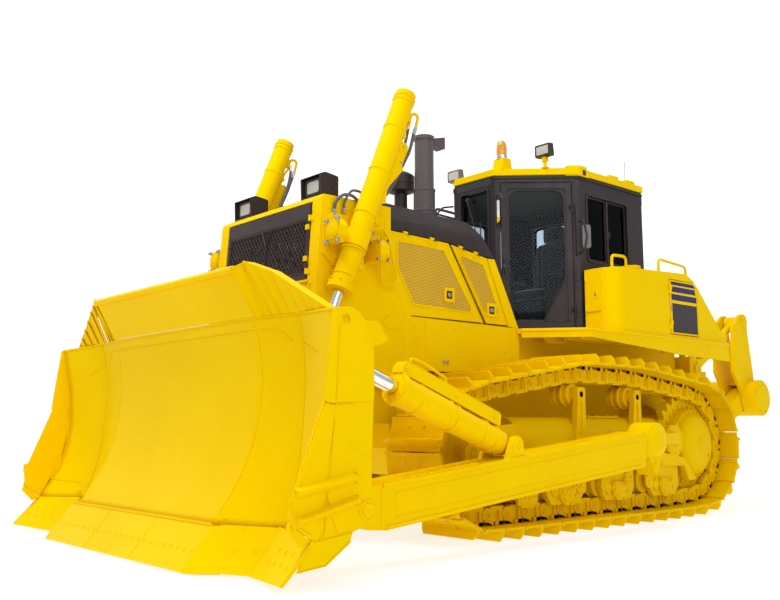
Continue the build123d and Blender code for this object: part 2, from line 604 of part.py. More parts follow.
# -------------------------------------------------------------------- cylinders
def barrel(p, q, y, start, length, r, bore, eye_r=0.0, eye_w=0.0, pin_r=0.0):
    """Cylinder tube from `start` along p->q, hollow for its rod."""
    a, b = along(p, q, start), along(p, q, start + length)
    s = rod((a[0], y, a[1]), (b[0], y, b[1]), r)
    c = along(p, q, start + length - 60)
    s += rod((c[0], y, c[1]), (b[0], y, b[1]), r + 14)
    if eye_r:
        s += cyl_y(p[0], p[1], eye_r, y - eye_w / 2, y + eye_w / 2)
        if start > 0:
            n = along(p, q, start + 20)
            s += rod((p[0], y, p[1]), (n[0], y, n[1]), r * 0.75)
        s -= cyl_y(p[0], p[1], pin_r + 0.05, y - eye_w, y + eye_w)
    d = along(p, q, start + 70)
    e = along(p, q, start + length + 10)
    s -= rod((d[0], y, d[1]), (e[0], y, e[1]), bore)
    return s


def piston_rod(p, q, y, length, r, eye_r, eye_w, pin_r):
    """Rod from the eye at q back towards p."""
    a = along(q, p, length)
    s = rod((a[0], y, a[1]), (q[0], y, q[1]), r)
    s += cyl_y(q[0], q[1], eye_r, y - eye_w / 2, y + eye_w / 2)
    s -= cyl_y(q[0], q[1], pin_r, y - eye_w, y + eye_w)
    return s


LT_TOP = along(LIFT_TRUNNION, LIFT_EYE, -1390)


def make_lift_barrel():
    s = barrel(LT_TOP, LIFT_EYE, LIFT_Y, 0, 1820, LIFT_BARREL_R, LIFT_ROD_R + 0.05)
    a, b = along(LIFT_TRUNNION, LIFT_EYE, -70), along(LIFT_TRUNNION, LIFT_EYE, 70)
    s += rod((a[0], LIFT_Y, a[1]), (b[0], LIFT_Y, b[1]), LIFT_BARREL_R + 14)
    c, d = along(LT_TOP, LIFT_EYE, 60), along(LT_TOP, LIFT_EYE, 1830)
    s -= rod((c[0], LIFT_Y, c[1]), (d[0], LIFT_Y, d[1]), LIFT_ROD_R + 0.05)
    s += cyl_y(*LIFT_TRUNNION, 38.0, 745, LIFT_Y - 95)
    return s


put("lift_barrels", make_lift_barrel(), mir(make_lift_barrel()))
LIFT_RODS = piston_rod(LIFT_TRUNNION, LIFT_EYE, LIFT_Y, 1740, LIFT_ROD_R, 78.0, 84.0, 42.0)
put("lift_rods", LIFT_RODS, mir(LIFT_RODS))


def make_tilt_barrel():
    s = barrel(TILT_HEAD, TILT_EYE, TILT_Y, 60, 1080, TILT_BARREL_R - 8, TILT_ROD_R + 0.05, 62.0, 140.0, 40.0)
    a, b = along(TILT_HEAD, TILT_EYE, 640), along(TILT_HEAD, TILT_EYE, 1140)
    s += rod((a[0], TILT_Y, a[1]), (b[0], TILT_Y, b[1]), TILT_BARREL_R)
    c, d = along(TILT_HEAD, TILT_EYE, 160), along(TILT_HEAD, TILT_EYE, 1150)
    s -= rod((c[0], TILT_Y, c[1]), (d[0], TILT_Y, d[1]), TILT_ROD_R + 0.05)
    # flat guard bar over the barrel
    ux, uz = (TILT_EYE[0] - TILT_HEAD[0]), (TILT_EYE[1] - TILT_HEAD[1])
    length = hypot(ux, uz)
    ux, uz = ux / length, uz / length
    g = [(120, 104), (140, 190), (1130, 190), (1150, 150), (1150, 104)]
    s += prism_y([(TILT_HEAD[0] + ux * t - uz * h, TILT_HEAD[1] + uz * t + ux * h) for t, h in g], TILT_Y - 50, TILT_Y + 50)
    s += prism_y([(TILT_HEAD[0] + ux * t - uz * h, TILT_HEAD[1] + uz * t + ux * h) for t, h in [(1090, 60), (1090, 120), (1138, 120), (1138, 60)]], TILT_Y - 50, TILT_Y + 50)
    s -= rod((c[0], TILT_Y, c[1]), (d[0], TILT_Y, d[1]), TILT_ROD_R + 0.05)
    return s


put("pitch_barrels", make_tilt_barrel(), mir(make_tilt_barrel()))
TILT_RODS = piston_rod(TILT_HEAD, TILT_EYE, TILT_Y, 760, TILT_ROD_R, 62.0, 100.0, 36.0)
put("pitch_rods", TILT_RODS, mir(TILT_RODS))

# ----------------------------------------------------------------------- blade
# front face sections: y, then (x, z) from the bottom edge to the top edge
CENTRE_SEC = [(5387, 278), (5212, 550), (5105, 850), (5070, 1165), (5090, 1400), (5138, 1596)]
FOLD_SEC = [(5175, 278), (5075, 550), (5030, 850), (5012, 1165), (5030, 1400), (5068, 1596)]
TIP_SEC = [(5345, 281), (5183, 550), (5118, 850), (5130, 1165), (5175, 1400), (5203, 1565)]
CENTRE_BACK = (150, 190, 130, 90, 70, 60)    # depth of the back structure at each height
WING_BACK = (110, 120, 85, 60, 50, 45)


def blade_section(y, front):
    back = [(x - d, z) for (x, z), d in zip(front, CENTRE_BACK if y < 1100 else WING_BACK)]
    pts = front + back[::-1]
    return Face(Wire.make_polygon([Vector(x, y, z) for x, z in pts], close=True))


SECTIONS = ((0.0, CENTRE_SEC), (1035.0, CENTRE_SEC), (1490.0, FOLD_SEC), (BLADE_HALF, TIP_SEC))


def make_moldboard():
    half = None
    for (ya, a), (yb, b) in zip(SECTIONS, SECTIONS[1:]):
        piece = loft([blade_section(ya, a), blade_section(yb, b)], ruled=True)
        half = piece if half is None else half + piece
    # ears for the push arm pin: (y0, y1)
    ears = []
    for y0, y1 in ((1410, 1452), (1758, 1800)):
        e = prism_y([(5230, 300), (5150, 760), (4900, 560), (4815, 460), (4815, 350), (4900, 285)], y0, y1)
        ears.append(e)
    pin = cyl_y(*ARM_PIN, 50.0, 1411, 1799)
    # space in front of the face, which trims the ears
    space = None
    for (ya, a), (yb, b) in zip(SECTIONS, SECTIONS[1:]):
        faces = [Face(Wire.make_polygon([Vector(x, y, z) for x, z in [(px - 20, pz) for px, pz in sec] + [(5900, sec[-1][1]), (5900, sec[0][1])]], close=True))
                 for y, sec in ((ya, a), (yb, b))]
        piece = loft(faces, ruled=True)
        space = piece if space is None else space + piece
    for y0, y1 in ((LIFT_Y - 92, LIFT_Y - 52), (LIFT_Y + 52, LIFT_Y + 92)):
        e = prism_y([(5240, 420), (5120, 1000), (4960, 1000), (4700, 850), (4640, 780), (4650, 690), (4720, 650), (4960, 560)], y0, y1)
        ears.append(e - cyl_y(*LIFT_EYE, 40.0, y0 - 5, y1 + 5))
    for y0, y1 in ((TILT_Y - 100, TILT_Y - 62), (TILT_Y + 62, TILT_Y + 100)):
        e = prism_y([(5050, 1080), (5060, 1500), (4960, 1440), (4850, 1395), (4825, 1330), (4850, 1260), (4960, 1170)], y0, y1)
        ears.append(e - cyl_y(*TILT_EYE, 40.0, y0 - 5, y1 + 5))
    # room for the push arm's end
    half -= prism_y([(4400, 200), (5010, 200), (5075, 330), (5078, 480), (5000, 565), (4400, 590)], 1453, 1757) + cyl_y(*ARM_PIN, 135.0, 1453, 1757)
    keep = half + pin
    for e in ears:
        keep = keep + (e - space)
    return fuse([keep, mir(keep)])


put("moldboard", make_moldboard())

END_PLATE = [(5212, 1562), (5089, 1577), (5003, 1534), (4914, 1373), (4908, 1046), (4922, 710), (4922, 505), (4895, 450), (4893, 385), (4925, 335),
             (5060, 289), (5079, 235), (5256, 120), (5440, 100), (5350, 268), (5473, 356), (5490, 480), (5272, 1030)]




def edge_strip(y0, y1, a, b, t=32.0, wide=335.0):
    """Flat wear plate between two lower corners: a and b are (x, z) of the tip at y0 and y1."""
    ux, uz = (-213.0 / 335.6, 260.0 / 335.6)

    def face(y, tip):
        x, z = tip
        p = [(x, z), (x + ux * wide, z + uz * wide), (x + ux * wide - uz * t, z + uz * wide - abs(ux) * t), (x - uz * t * 0.9, z + t * 0.1)]
        return Face(Wire.make_polygon([Vector(px, y, pz) for px, pz in p], close=True))

    return loft([face(y0, a), face(y1, b)], ruled=True)


def end_bit():
    """Corner bit: its outer end is shorter and stands a little higher."""
    faces = []
    for y, (tx, tz), (ux, uz) in ((1503.0, (5378, 20), (5165, 286)), (2052.0, (5534, 48), (5322, 268))):
        k = hypot(ux - tx, uz - tz)
        nx, nz = -(uz - tz) / k * 34, (ux - tx) / k * 34
        faces.append(Face(Wire.make_polygon([Vector(x, y, z) for x, z in ((tx, tz), (ux, uz), (ux + nx, uz + nz), (tx + nx * 0.9, tz + max(nz, -8)))], close=True)))
    return loft(faces, ruled=True)


def make_edges():
    out = [edge_strip(1.0, 1097.0, EDGE_TIP, EDGE_TIP),
           edge_strip(1100.0, 1500.0, (5545, 20), (5375, 20)), end_bit()]
    res = []
    for s in out:
        s = s.moved(Location((26, 0, 0)))
        res += [s, mir(s)]
    blade = NODES["moldboard"].moved(Location((XC, 0, 0)))
    return [max((s - blade).solids(), key=lambda k: k.volume) for s in res]


EDGES = make_edges()
put("cutting_edges", *EDGES)


def wear_rib(lo, top):
    """Long wedge on the end plate, deepest at its upper edge."""
    y0, y1 = BLADE_HALF + 20, BLADE_HALF + 66
    faces = [Face(Wire.make_polygon([Vector(x, y0, z), Vector(x, y0, tz), Vector(x, y1, tz - 22), Vector(x, y1, tz - 36)], close=True))
             for (x, z), (tx, tz) in zip(lo, top)]
    return loft(faces, ruled=True)


def make_end_plates():
    s = prism_y(END_PLATE, BLADE_HALF + 0.0, BLADE_HALF + 22)
    s -= cyl_y(5128, 1500, 30.0, BLADE_HALF - 10, BLADE_HALF + 40)
    # wear ribs on the outer side
    for lo, top in (([(5050, 555), (5480, 478)], [(5046, 628), (5484, 556)]), ([(5040, 436), (5470, 330)], [(5036, 500), (5478, 400)])):
        s += wear_rib(lo, top)
    s += cyl_y(4958, 405, 56.0, BLADE_HALF + 21, BLADE_HALF + 40)
    for e in EDGES[4:5]:                     # the end bit laps over the plate's lower front
        s -= e
    s = max(s.solids(), key=lambda k: k.volume)
    return Compound([s, mir(s)])


put("blade_end_plates", make_end_plates())


SPILL_TOP = [(5305, 1085, 1898), (5262, 1180, 1932), (5205, 1400, 1850), (5155, 1630, 1715), (5112, 1849, 1590)]
SPILL_LOW = [(5112, 1100, 1588), (5090, 1250, 1588), (5065, 1420, 1588), (5080, 1640, 1582), (5122, 1815, 1572)]


def make_spill_guard():
    s = prism_y([(5139, 1597), (5111, 1608), (5294, 1905), (5320, 1888)], -1085, 1085)
    s += cyl_y(5312, 1892, 28.0, -1085, 1085)
    for f in (lambda k: k, mir):
        for i in range(4):
            # wing sheet in flat triangles, then the band along its top
            t0, t1, b0, b1 = SPILL_TOP[i], SPILL_TOP[i + 1], SPILL_LOW[i], SPILL_LOW[i + 1]
            for tri in ([t0, t1, b0], [t1, b1, b0]):
                s += f(poly(tri, (-1, 0, 0), 16))
            out = lambda p, d: (p[0] + d, p[1], p[2])
            s += f(poly([out(t0, 16), out(t1, 16), out(t1, -58), out(t0, -58)], (0, 0, -1), 16))
    return s.cut(NODES["moldboard"].moved(Location((XC, 0, 0))))


put("spill_guard", make_spill_guard())


# --------------------------------------------------------------------- ripper
def link_bar(p, q, y0, y1, h, pin):
    ux, uz = (q[0] - p[0]), (q[1] - p[1])
    length = hypot(ux, uz)
    ux, uz = ux / length, uz / length
    prof = [(p[0] + ux * t - uz * w, p[1] + uz * t + ux * w) for t, w in ((0, -h), (length, -h), (length, h), (0, h))]
    s = prism_y(prof, y0, y1) + cyl_y(*p, h, y0, y1) + cyl_y(*q, h, y0, y1)
    return s


def make_ripper_bracket():
    s = box(-842, -742, -760, 760, 450, 1640)
    for sg in (-1, 1):                       # hollows behind the link eyes
        y0, y1 = sorted((sg * 556, sg * 744))
        s -= cyl_y(*RIP_A, 112.0, y0, y1) + cyl_y(*RIP_B, 92.0, y0, y1)
    for sg in (-1, 1):
        for a, b in ((520, 555), (745, 762)):
            y0, y1 = sorted((sg * a, sg * b))
            s += prism_y([(-830, 460), (-1000, 520), (-1060, 620), (-1040, 720), (-980, 900), (-960, 1350), (-990, 1440), (-980, 1560), (-900, 1600), (-830, 1600)], y0, y1)
        y0, y1 = sorted((sg * 521, sg * 761))
        s += cyl_y(*RIP_A, 45.0, y0, y1) + cyl_y(*RIP_B, 40.0, y0, y1)
        for a, b in ((RIP_CYL_Y - 126, RIP_CYL_Y - 96), (RIP_CYL_Y + 96, RIP_CYL_Y + 126)):
            y0, y1 = sorted((sg * a, sg * b))
            s += prism_y([(-830, 1300), (-930, 1335), (-985, 1385), (-980, 1435), (-930, 1465), (-830, 1480)], y0, y1)
        y0, y1 = sorted((sg * (RIP_CYL_Y - 120), sg * (RIP_CYL_Y + 120)))
        s += cyl_y(*RIP_H, 35.0, y0, y1)
    return s


put("ripper_bracket", make_ripper_bracket())


def make_ripper_arm():
    s = None
    for sg in (-1, 1):
        y0, y1 = sorted((sg * RIP_Y[0], sg * RIP_Y[1]))
        a = link_bar(RIP_A, RIP_P, y0, y1, 95, 45)
        a -= cyl_y(*RIP_A, 45.05, y0 - 5, y1 + 5)
        a -= cyl_y(*RIP_P, 50.05, y0 - 5, y1 + 5)
        s = a if s is None else s + a
    mid = lerp(RIP_A, RIP_P, 0.47)
    s += prism_y([(mid[0] - 60, mid[1] - 100), (mid[0] + 80, mid[1] - 120), (mid[0] + 90, mid[1] - 10), (mid[0] - 40, mid[1] + 20)], -RIP_Y[1], RIP_Y[1])
    for sg in (-1, 1):                       # hollows for the rods
        y0, y1 = sorted((sg * (RIP_CYL_Y - 75), sg * (RIP_CYL_Y + 75)))
        s -= prism_y([(RIP_R[0] - 80, RIP_R[1] + 60), (RIP_R[0] - 60, RIP_R[1] - 70), (mid[0] + 20, mid[1] - 75), (mid[0] + 120, mid[1] - 75), (mid[0] + 120, mid[1] + 60)], y0, y1)
    for sg in (-1, 1):
        for a, b in ((RIP_CYL_Y - 128, RIP_CYL_Y - 98), (RIP_CYL_Y + 98, RIP_CYL_Y + 128)):
            y0, y1 = sorted((sg * a, sg * b))
            e = prism_y([(mid[0] + 60, mid[1] - 110), (mid[0] + 60, mid[1] - 10), (RIP_R[0] + 10, RIP_R[1] + 62), (RIP_R[0] - 55, RIP_R[1] + 30), (RIP_R[0] - 50, RIP_R[1] - 45)], y0, y1)
            s += e - cyl_y(*RIP_R, 36.0, y0 - 5, y1 + 5)
    return s


put("ripper_arm", make_ripper_arm())


def make_ripper_beam():
    s = cyl_y(RIP_P[0] - 60, RIP_P[1] - 30, 215.0, -890, 890)
    for sg in (-1, 1):
        for a, b in ((518, 552), (748, 785)):
            y0, y1 = sorted((sg * a, sg * b))
            s += prism_y([(-1935, 1130), (-1660, 1500), (-1700, 2060), (-1880, 2200), (-1982, 2208), (-2032, 2160), (-2030, 2000), (-2130, 1450), (-2170, 1250)], y0, y1)
        # room for the lower arm's end
        y0, y1 = sorted((sg * 552, sg * 748))
        s -= cyl_y(*RIP_P, 112.0, y0, y1)
        s -= prism_y([(RIP_P[0] - 20, RIP_P[1] - 112), (RIP_P[0] + 400, RIP_P[1] - 400), (RIP_P[0] + 400, RIP_P[1] + 200), (RIP_P[0], RIP_P[1] + 112)], y0, y1)
        y0, y1 = sorted((sg * 519, sg * 800))
        s += cyl_y(*RIP_P, 50.0, y0, y1) + cyl_y(*RIP_T, 40.0, y0, y1)
    # shank pockets: (y)
    for y in SHANK_Y:
        s += box(-2390, -2150, y - 75, y + 75, 1000, 1420)
    for y in SHANK_Y:
        s -= box(-2342, -2190, y - 42, y + 42, 800, 1600)
    return s


put("ripper_beam", make_ripper_beam())


def make_shanks():
    out = []
    for y in (0,):
        s = prism_y([(-2340, 1560), (-2192, 1560), (-2192, 760), (-2156, 620), (-2056, 470), (-1946, 380), (-2086, 420), (-2256, 560), (-2340, 760)], y - 40, y + 40)
        out.append(s)
    return Compound([k for s in out for k in s.solids()])


put("ripper_shanks", make_shanks())


def make_ripper_links():
    out = []
    for sg in (-1, 1):
        y0, y1 = sorted((sg * 562, sg * 738))
        ym = (y0 + y1) / 2
        p, q = RIP_B, RIP_T
        s = cyl_y(*p, 78.0, y0, y1) + cyl_y(*q, 78.0, y0, y1)
        a, b = along(p, q, 50), along(p, q, 860)
        s += rod((a[0], ym, a[1]), (b[0], ym, b[1]), 86.0)
        c, d = along(p, q, 820), along(p, q, 1200)
        s += rod((c[0], ym, c[1]), (d[0], ym, d[1]), 45.0)
        s -= cyl_y(*p, 40.05, y0 - 5, y1 + 5)
        s -= cyl_y(*q, 40.05, y0 - 5, y1 + 5)
        out.append(s)
    return Compound([k for s in out for k in s.solids()])


put("ripper_tilt_cylinders", make_ripper_links())
RIP_BARREL = barrel(RIP_H, RIP_R, RIP_CYL_Y, 60, 700, 80.0, 42.55, 66.0, 180.0, 35.0)
put("ripper_lift_barrels", RIP_BARREL, mir(RIP_BARREL))
RIP_ROD = piston_rod(RIP_H, RIP_R, RIP_CYL_Y, 660, 42.5, 62.0, 180.0, 36.0)
put("ripper_lift_rods", RIP_ROD, mir(RIP_ROD))

# --------------------------------------------------------------------- export
lo, hi = [1e9] * 3, [-1e9] * 3
for name, shape in NODES.items():
    export_step(shape, f"parts/{name}.step")
    b = shape.bounding_box()
    for i, (u, v) in enumerate(zip(b.min, b.max)):
        lo[i], hi[i] = min(lo[i], u), max(hi[i], v)
print(len(NODES), "nodes; box", [round(v, 1) for v in lo], [round(v, 1) for v in hi], "centre x", round((lo[0] + hi[0]) / 2, 2))
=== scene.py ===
import bpy, bmesh, json
from math import sin, cos, tan, pi, sqrt, atan2, radians, degrees, hypot, acos
from mathutils import Vector, Matrix
from mathutils.bvhtree import BVHTree

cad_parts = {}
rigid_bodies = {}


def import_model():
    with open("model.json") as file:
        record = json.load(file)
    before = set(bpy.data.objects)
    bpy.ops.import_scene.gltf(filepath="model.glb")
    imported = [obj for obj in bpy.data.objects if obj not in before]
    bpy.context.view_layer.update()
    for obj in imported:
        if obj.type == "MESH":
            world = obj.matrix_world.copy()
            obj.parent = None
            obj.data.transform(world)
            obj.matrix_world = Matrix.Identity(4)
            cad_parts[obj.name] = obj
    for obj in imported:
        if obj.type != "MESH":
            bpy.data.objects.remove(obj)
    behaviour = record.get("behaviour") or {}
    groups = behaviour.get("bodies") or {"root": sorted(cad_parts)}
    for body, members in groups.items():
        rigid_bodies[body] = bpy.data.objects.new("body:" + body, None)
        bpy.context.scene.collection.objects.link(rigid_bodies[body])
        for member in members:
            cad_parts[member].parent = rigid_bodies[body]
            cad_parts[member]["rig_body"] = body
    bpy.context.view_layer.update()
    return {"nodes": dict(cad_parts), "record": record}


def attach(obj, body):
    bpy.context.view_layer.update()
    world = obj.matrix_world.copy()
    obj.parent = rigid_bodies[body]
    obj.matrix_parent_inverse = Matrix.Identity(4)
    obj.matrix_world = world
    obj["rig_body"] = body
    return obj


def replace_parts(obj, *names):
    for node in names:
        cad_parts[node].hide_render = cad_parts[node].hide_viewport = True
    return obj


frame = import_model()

NODES = frame["nodes"]
XC = 1618.0            # millimetres from the sprocket line to the row's origin

scene = bpy.context.scene
scene.view_settings.view_transform = "Standard"
scene.view_settings.look = "None"


def m(p):
    """Sprocket frame in mm to the row frame in metres."""
    return Vector(((p[0] - XC) / 1000.0, p[1] / 1000.0, p[2] / 1000.0))


# ======================================================================= materials
def nodes_of(name):
    mat = bpy.data.materials.new(name)
    mat.use_nodes = True
    nt = mat.node_tree
    bsdf = nt.nodes["Principled BSDF"]
    return mat, nt, bsdf


def noise(nt, coord, scale, detail=3.0, rough=0.5):
    n = nt.nodes.new("ShaderNodeTexNoise")
    n.inputs["Scale"].default_value = scale
    n.inputs["Detail"].default_value = detail
    n.inputs["Roughness"].default_value = rough
    nt.links.new(coord, n.inputs["Vector"])
    return n.outputs["Fac"]


def ramp(nt, fac, stops):
    r = nt.nodes.new("ShaderNodeValToRGB")
    r.color_ramp.elements[0].position, r.color_ramp.elements[0].color = stops[0][0], (*stops[0][1], 1)
    r.color_ramp.elements[1].position, r.color_ramp.elements[1].color = stops[-1][0], (*stops[-1][1], 1)
    for pos, col in stops[1:-1]:
        e = r.color_ramp.elements.new(pos)
        e.color = (*col, 1)
    nt.links.new(fac, r.inputs["Fac"])
    return r.outputs["Color"]


def maprange(nt, fac, a, b, lo=0.0, hi=1.0):
    r = nt.nodes.new("ShaderNodeMapRange")
    r.inputs["From Min"].default_value, r.inputs["From Max"].default_value = lo, hi
    r.inputs["To Min"].default_value, r.inputs["To Max"].default_value = a, b
    nt.links.new(fac, r.inputs["Value"])
    return r.outputs["Result"]


def bump(nt, bsdf, height, strength, dist):
    b = nt.nodes.new("ShaderNodeBump")
    b.inputs["Strength"].default_value = strength
    b.inputs["Distance"].default_value = dist
    nt.links.new(height, b.inputs["Height"])
    nt.links.new(b.outputs["Normal"], bsdf.inputs["Normal"])


def objco(nt):
    return nt.nodes.new("ShaderNodeTexCoord").outputs["Object"]


def math_node(nt, op, a, b=None, c=None):
    n = nt.nodes.new("ShaderNodeMath")
    n.operation = op
    for i, v in enumerate((a, b, c)):
        if v is None:
            continue
        if isinstance(v, (int, float)):
            n.inputs[i].default_value = v
        else:
            nt.links.new(v, n.inputs[i])
    return n.outputs[0]


def paint(name, a, b, c, rough=(0.27, 0.42), peel=0.12, coat=0.35, crevice_shade=None, cast=0.0, spec=0.5):
    """Gloss enamel: broad tone drift, faint dust, orange peel, painted shade in concave places, and for castings a
    coarse skin.
    """
    mat, nt, p = nodes_of(name)
    co = objco(nt)
    tone = noise(nt, co, 1.3, 3)
    fine = noise(nt, co, 26, 4)
    mixf = math_node(nt, "MULTIPLY_ADD", fine, 0.25, math_node(nt, "MULTIPLY", tone, 0.75))
    col = ramp(nt, mixf, [(0.32, a), (0.5, b), (0.68, c)])
    if crevice_shade:
        # painted shade: a darker, more orange colour mixed into concave, inner places, where shade falls
        geo = nt.nodes.new("ShaderNodeNewGeometry")
        edge = maprange(nt, geo.outputs["Pointiness"], 0.28, 0.0, 0.42, 0.5)
        mix = nt.nodes.new("ShaderNodeMixRGB")
        nt.links.new(edge, mix.inputs["Fac"])
        nt.links.new(col, mix.inputs["Color1"])
        mix.inputs["Color2"].default_value = (*crevice_shade, 1)
        col = mix.outputs["Color"]
    nt.links.new(col, p.inputs["Base Color"])
    nt.links.new(maprange(nt, noise(nt, co, 9, 5), rough[0], rough[1], 0.3, 0.7), p.inputs["Roughness"])
    p.inputs["Coat Weight"].default_value = coat
    p.inputs["Coat Roughness"].default_value = 0.12
    p.inputs["Specular IOR Level"].default_value = spec
    p.inputs["Specular Tint"].default_value = (1.0, 0.74, 0.02, 1) if b[0] > 0.5 else (1, 1, 1, 1)
    skin = noise(nt, co, 420, 2)
    if cast:
        skin = math_node(nt, "MULTIPLY_ADD", noise(nt, co, 95, 5), 3.0 * cast, skin)
    bump(nt, p, skin, peel, 0.0006 if not cast else 0.0012)
    return mat


# the darker orange colour given to each yellow below is painted shade for its concave places
YEL = paint("yellow_enamel", (0.86, 0.56, 0.0), (0.885, 0.59, 0.0), (0.91, 0.615, 0.0), peel=0.08, coat=0.0, crevice_shade=(0.66, 0.38, 0.0), spec=0.02)
YEL_CAST = paint("yellow_casting", (0.80, 0.51, 0.0), (0.85, 0.555, 0.0), (0.88, 0.59, 0.0), rough=(0.36, 0.55), peel=0.22, coat=0.0,
                 crevice_shade=(0.42, 0.22, 0.0), cast=1.0, spec=0.03)
YEL_TRACK = paint("yellow_track", (0.74, 0.46, 0.0), (0.82, 0.53, 0.0), (0.86, 0.57, 0.0), rough=(0.38, 0.6), peel=0.22, coat=0.0,
                  crevice_shade=(0.28, 0.14, 0.0), cast=0.8, spec=0.03)
DARK = paint("dark_enamel", (0.030, 0.021, 0.023), (0.038, 0.027, 0.029), (0.047, 0.034, 0.036), rough=(0.36, 0.52), peel=0.15, coat=0.02, spec=0.22)
DARKER = paint("cab_enamel", (0.022, 0.016, 0.017), (0.028, 0.020, 0.022), (0.036, 0.027, 0.029), rough=(0.3, 0.46), peel=0.12, coat=0.02, spec=0.25)
EXH = paint("stack_enamel", (0.085, 0.070, 0.074), (0.10, 0.082, 0.087), (0.115, 0.094, 0.10), rough=(0.36, 0.5), peel=0.15, coat=0.02, spec=0.25)
NAVY = paint("navy_film", (0.022, 0.016, 0.075), (0.026, 0.020, 0.088), (0.031, 0.025, 0.10), rough=(0.22, 0.34), peel=0.05, coat=0.03, spec=0.2)
SLATE = paint("slate_film", (0.038, 0.028, 0.033), (0.043, 0.032, 0.037), (0.050, 0.038, 0.043), rough=(0.25, 0.36), peel=0.05, coat=0.03, spec=0.2)


def metal(name, a, b, rough, brushed=0.0, scale=120):
    mat, nt, p = nodes_of(name)
    co = objco(nt)
    nt.links.new(ramp(nt, noise(nt, co, 30, 4), [(0.35, a), (0.65, b)]), p.inputs["Base Color"])
    p.inputs["Metallic"].default_value = 1.0
    nt.links.new(maprange(nt, noise(nt, co, scale, 3), rough[0], rough[1], 0.3, 0.7), p.inputs["Roughness"])
    bump(nt, p, noise(nt, co, scale * 4, 2), 0.05 + brushed, 0.0003)
    return mat


CHROME = metal("chrome_rod", (0.80, 0.81, 0.84), (0.90, 0.91, 0.93), (0.05, 0.12))
STEEL = metal("zinc_steel", (0.42, 0.41, 0.38), (0.58, 0.56, 0.52), (0.28, 0.42), 0.1)
CORE = metal("radiator_core_metal", (0.045, 0.042, 0.04), (0.07, 0.066, 0.062), (0.5, 0.7), 0.3, 60)
REFLECT = metal("lamp_reflector", (0.78, 0.78, 0.75), (0.9, 0.9, 0.86), (0.10, 0.22))


def plastic(name, a, b, rough, grain=0.25, scale=300, spec=0.5):
    mat, nt, p = nodes_of(name)
    co = objco(nt)
    nt.links.new(ramp(nt, noise(nt, co, 14, 4), [(0.35, a), (0.65, b)]), p.inputs["Base Color"])
    nt.links.new(maprange(nt, noise(nt, co, 40, 3), rough[0], rough[1], 0.3, 0.7), p.inputs["Roughness"])
    p.inputs["Specular IOR Level"].default_value = spec
    bump(nt, p, noise(nt, co, scale, 3), grain, 0.0008)
    return mat


RUBBER = plastic("black_rubber", (0.012, 0.011, 0.011), (0.02, 0.018, 0.018), (0.5, 0.7), 0.3)
HOSE = plastic("hose_rubber", (0.085, 0.08, 0.085), (0.13, 0.125, 0.13), (0.45, 0.6), 0.35, 500)
TRIM = plastic("cab_plastic", (0.018, 0.016, 0.017), (0.028, 0.025, 0.026), (0.45, 0.62), 0.3, 600)
LINER = plastic("cab_headliner", (0.10, 0.088, 0.072), (0.125, 0.11, 0.09), (0.7, 0.9), 0.4, 500)
GREY = plastic("grey_plastic", (0.14, 0.135, 0.15), (0.17, 0.165, 0.18), (0.4, 0.55), 0.2)
WHITE = plastic("white_plastic", (0.7, 0.7, 0.68), (0.8, 0.8, 0.78), (0.35, 0.5), 0.1)


def fabric(name, a, b):
    mat, nt, p = nodes_of(name)
    co = objco(nt)
    w1 = nt.nodes.new("ShaderNodeTexWave"); w1.wave_type = "BANDS"; w1.bands_direction = "DIAGONAL"
    w1.inputs["Scale"].default_value = 150
    nt.links.new(co, w1.inputs["Vector"])
    w2 = nt.nodes.new("ShaderNodeTexWave"); w2.wave_type = "BANDS"; w2.bands_direction = "Z"
    w2.inputs["Scale"].default_value = 150
    nt.links.new(co, w2.inputs["Vector"])
    weave = math_node(nt, "MULTIPLY", w1.outputs["Fac"], w2.outputs["Fac"])
    nt.links.new(ramp(nt, weave, [(0.1, a), (0.8, b)]), p.inputs["Base Color"])
    p.inputs["Roughness"].default_value = 0.92
    p.inputs["Sheen Weight"].default_value = 0.4
    bump(nt, p, weave, 0.5, 0.0008)
    return mat


CLOTH = fabric("seat_cloth", (0.018, 0.018, 0.02), (0.055, 0.055, 0.06))


def glass(name, tint, tint2):
    """Thin tinted pane: what is behind shows darkened, with a clear reflection on top."""
    mat, nt, p = nodes_of(name)
    out = nt.nodes["Material Output"]
    nt.nodes.remove(p)
    co = objco(nt)
    t = nt.nodes.new("ShaderNodeBsdfTransparent")
    nt.links.new(ramp(nt, noise(nt, co, 0.8, 1), [(0.3, tint), (0.7, tint2)]), t.inputs["Color"])
    g = nt.nodes.new("ShaderNodeBsdfGlossy")
    g.inputs["Roughness"].default_value = 0.02
    g.inputs["Color"].default_value = (0.30, 0.33, 0.35, 1)
    f = nt.nodes.new("ShaderNodeFresnel")
    f.inputs["IOR"].default_value = 1.3
    mix = nt.nodes.new("ShaderNodeMixShader")
    nt.links.new(f.outputs["Fac"], mix.inputs["Fac"])
    nt.links.new(t.outputs["BSDF"], mix.inputs[1])
    nt.links.new(g.outputs["BSDF"], mix.inputs[2])
    nt.links.new(mix.outputs["Shader"], out.inputs["Surface"])
    return mat


GLASS = glass("tinted_glass", (0.78, 0.82, 0.85), (0.79, 0.83, 0.86))
GLASS_D = glass("windscreen_glass", (0.78, 0.82, 0.85), (0.79, 0.83, 0.86))


def lens(name, col, rough, emit=0.0):
    mat, nt, p = nodes_of(name)
    co = objco(nt)
    w = nt.nodes.new("ShaderNodeTexWave"); w.wave_type = "BANDS"; w.bands_direction = "Y"
    w.inputs["Scale"].default_value = 40
    nt.links.new(co, w.inputs["Vector"])
    nt.links.new(ramp(nt, w.outputs["Fac"], [(0.0, tuple(c * 0.8 for c in col)), (1.0, col)]), p.inputs["Base Color"])
    p.inputs["Roughness"].default_value = rough
    p.inputs["Transmission Weight"].default_value = 0.35
    p.inputs["Coat Weight"].default_value = 0.8
    bump(nt, p, w.outputs["Fac"], 0.35, 0.002)
    return mat


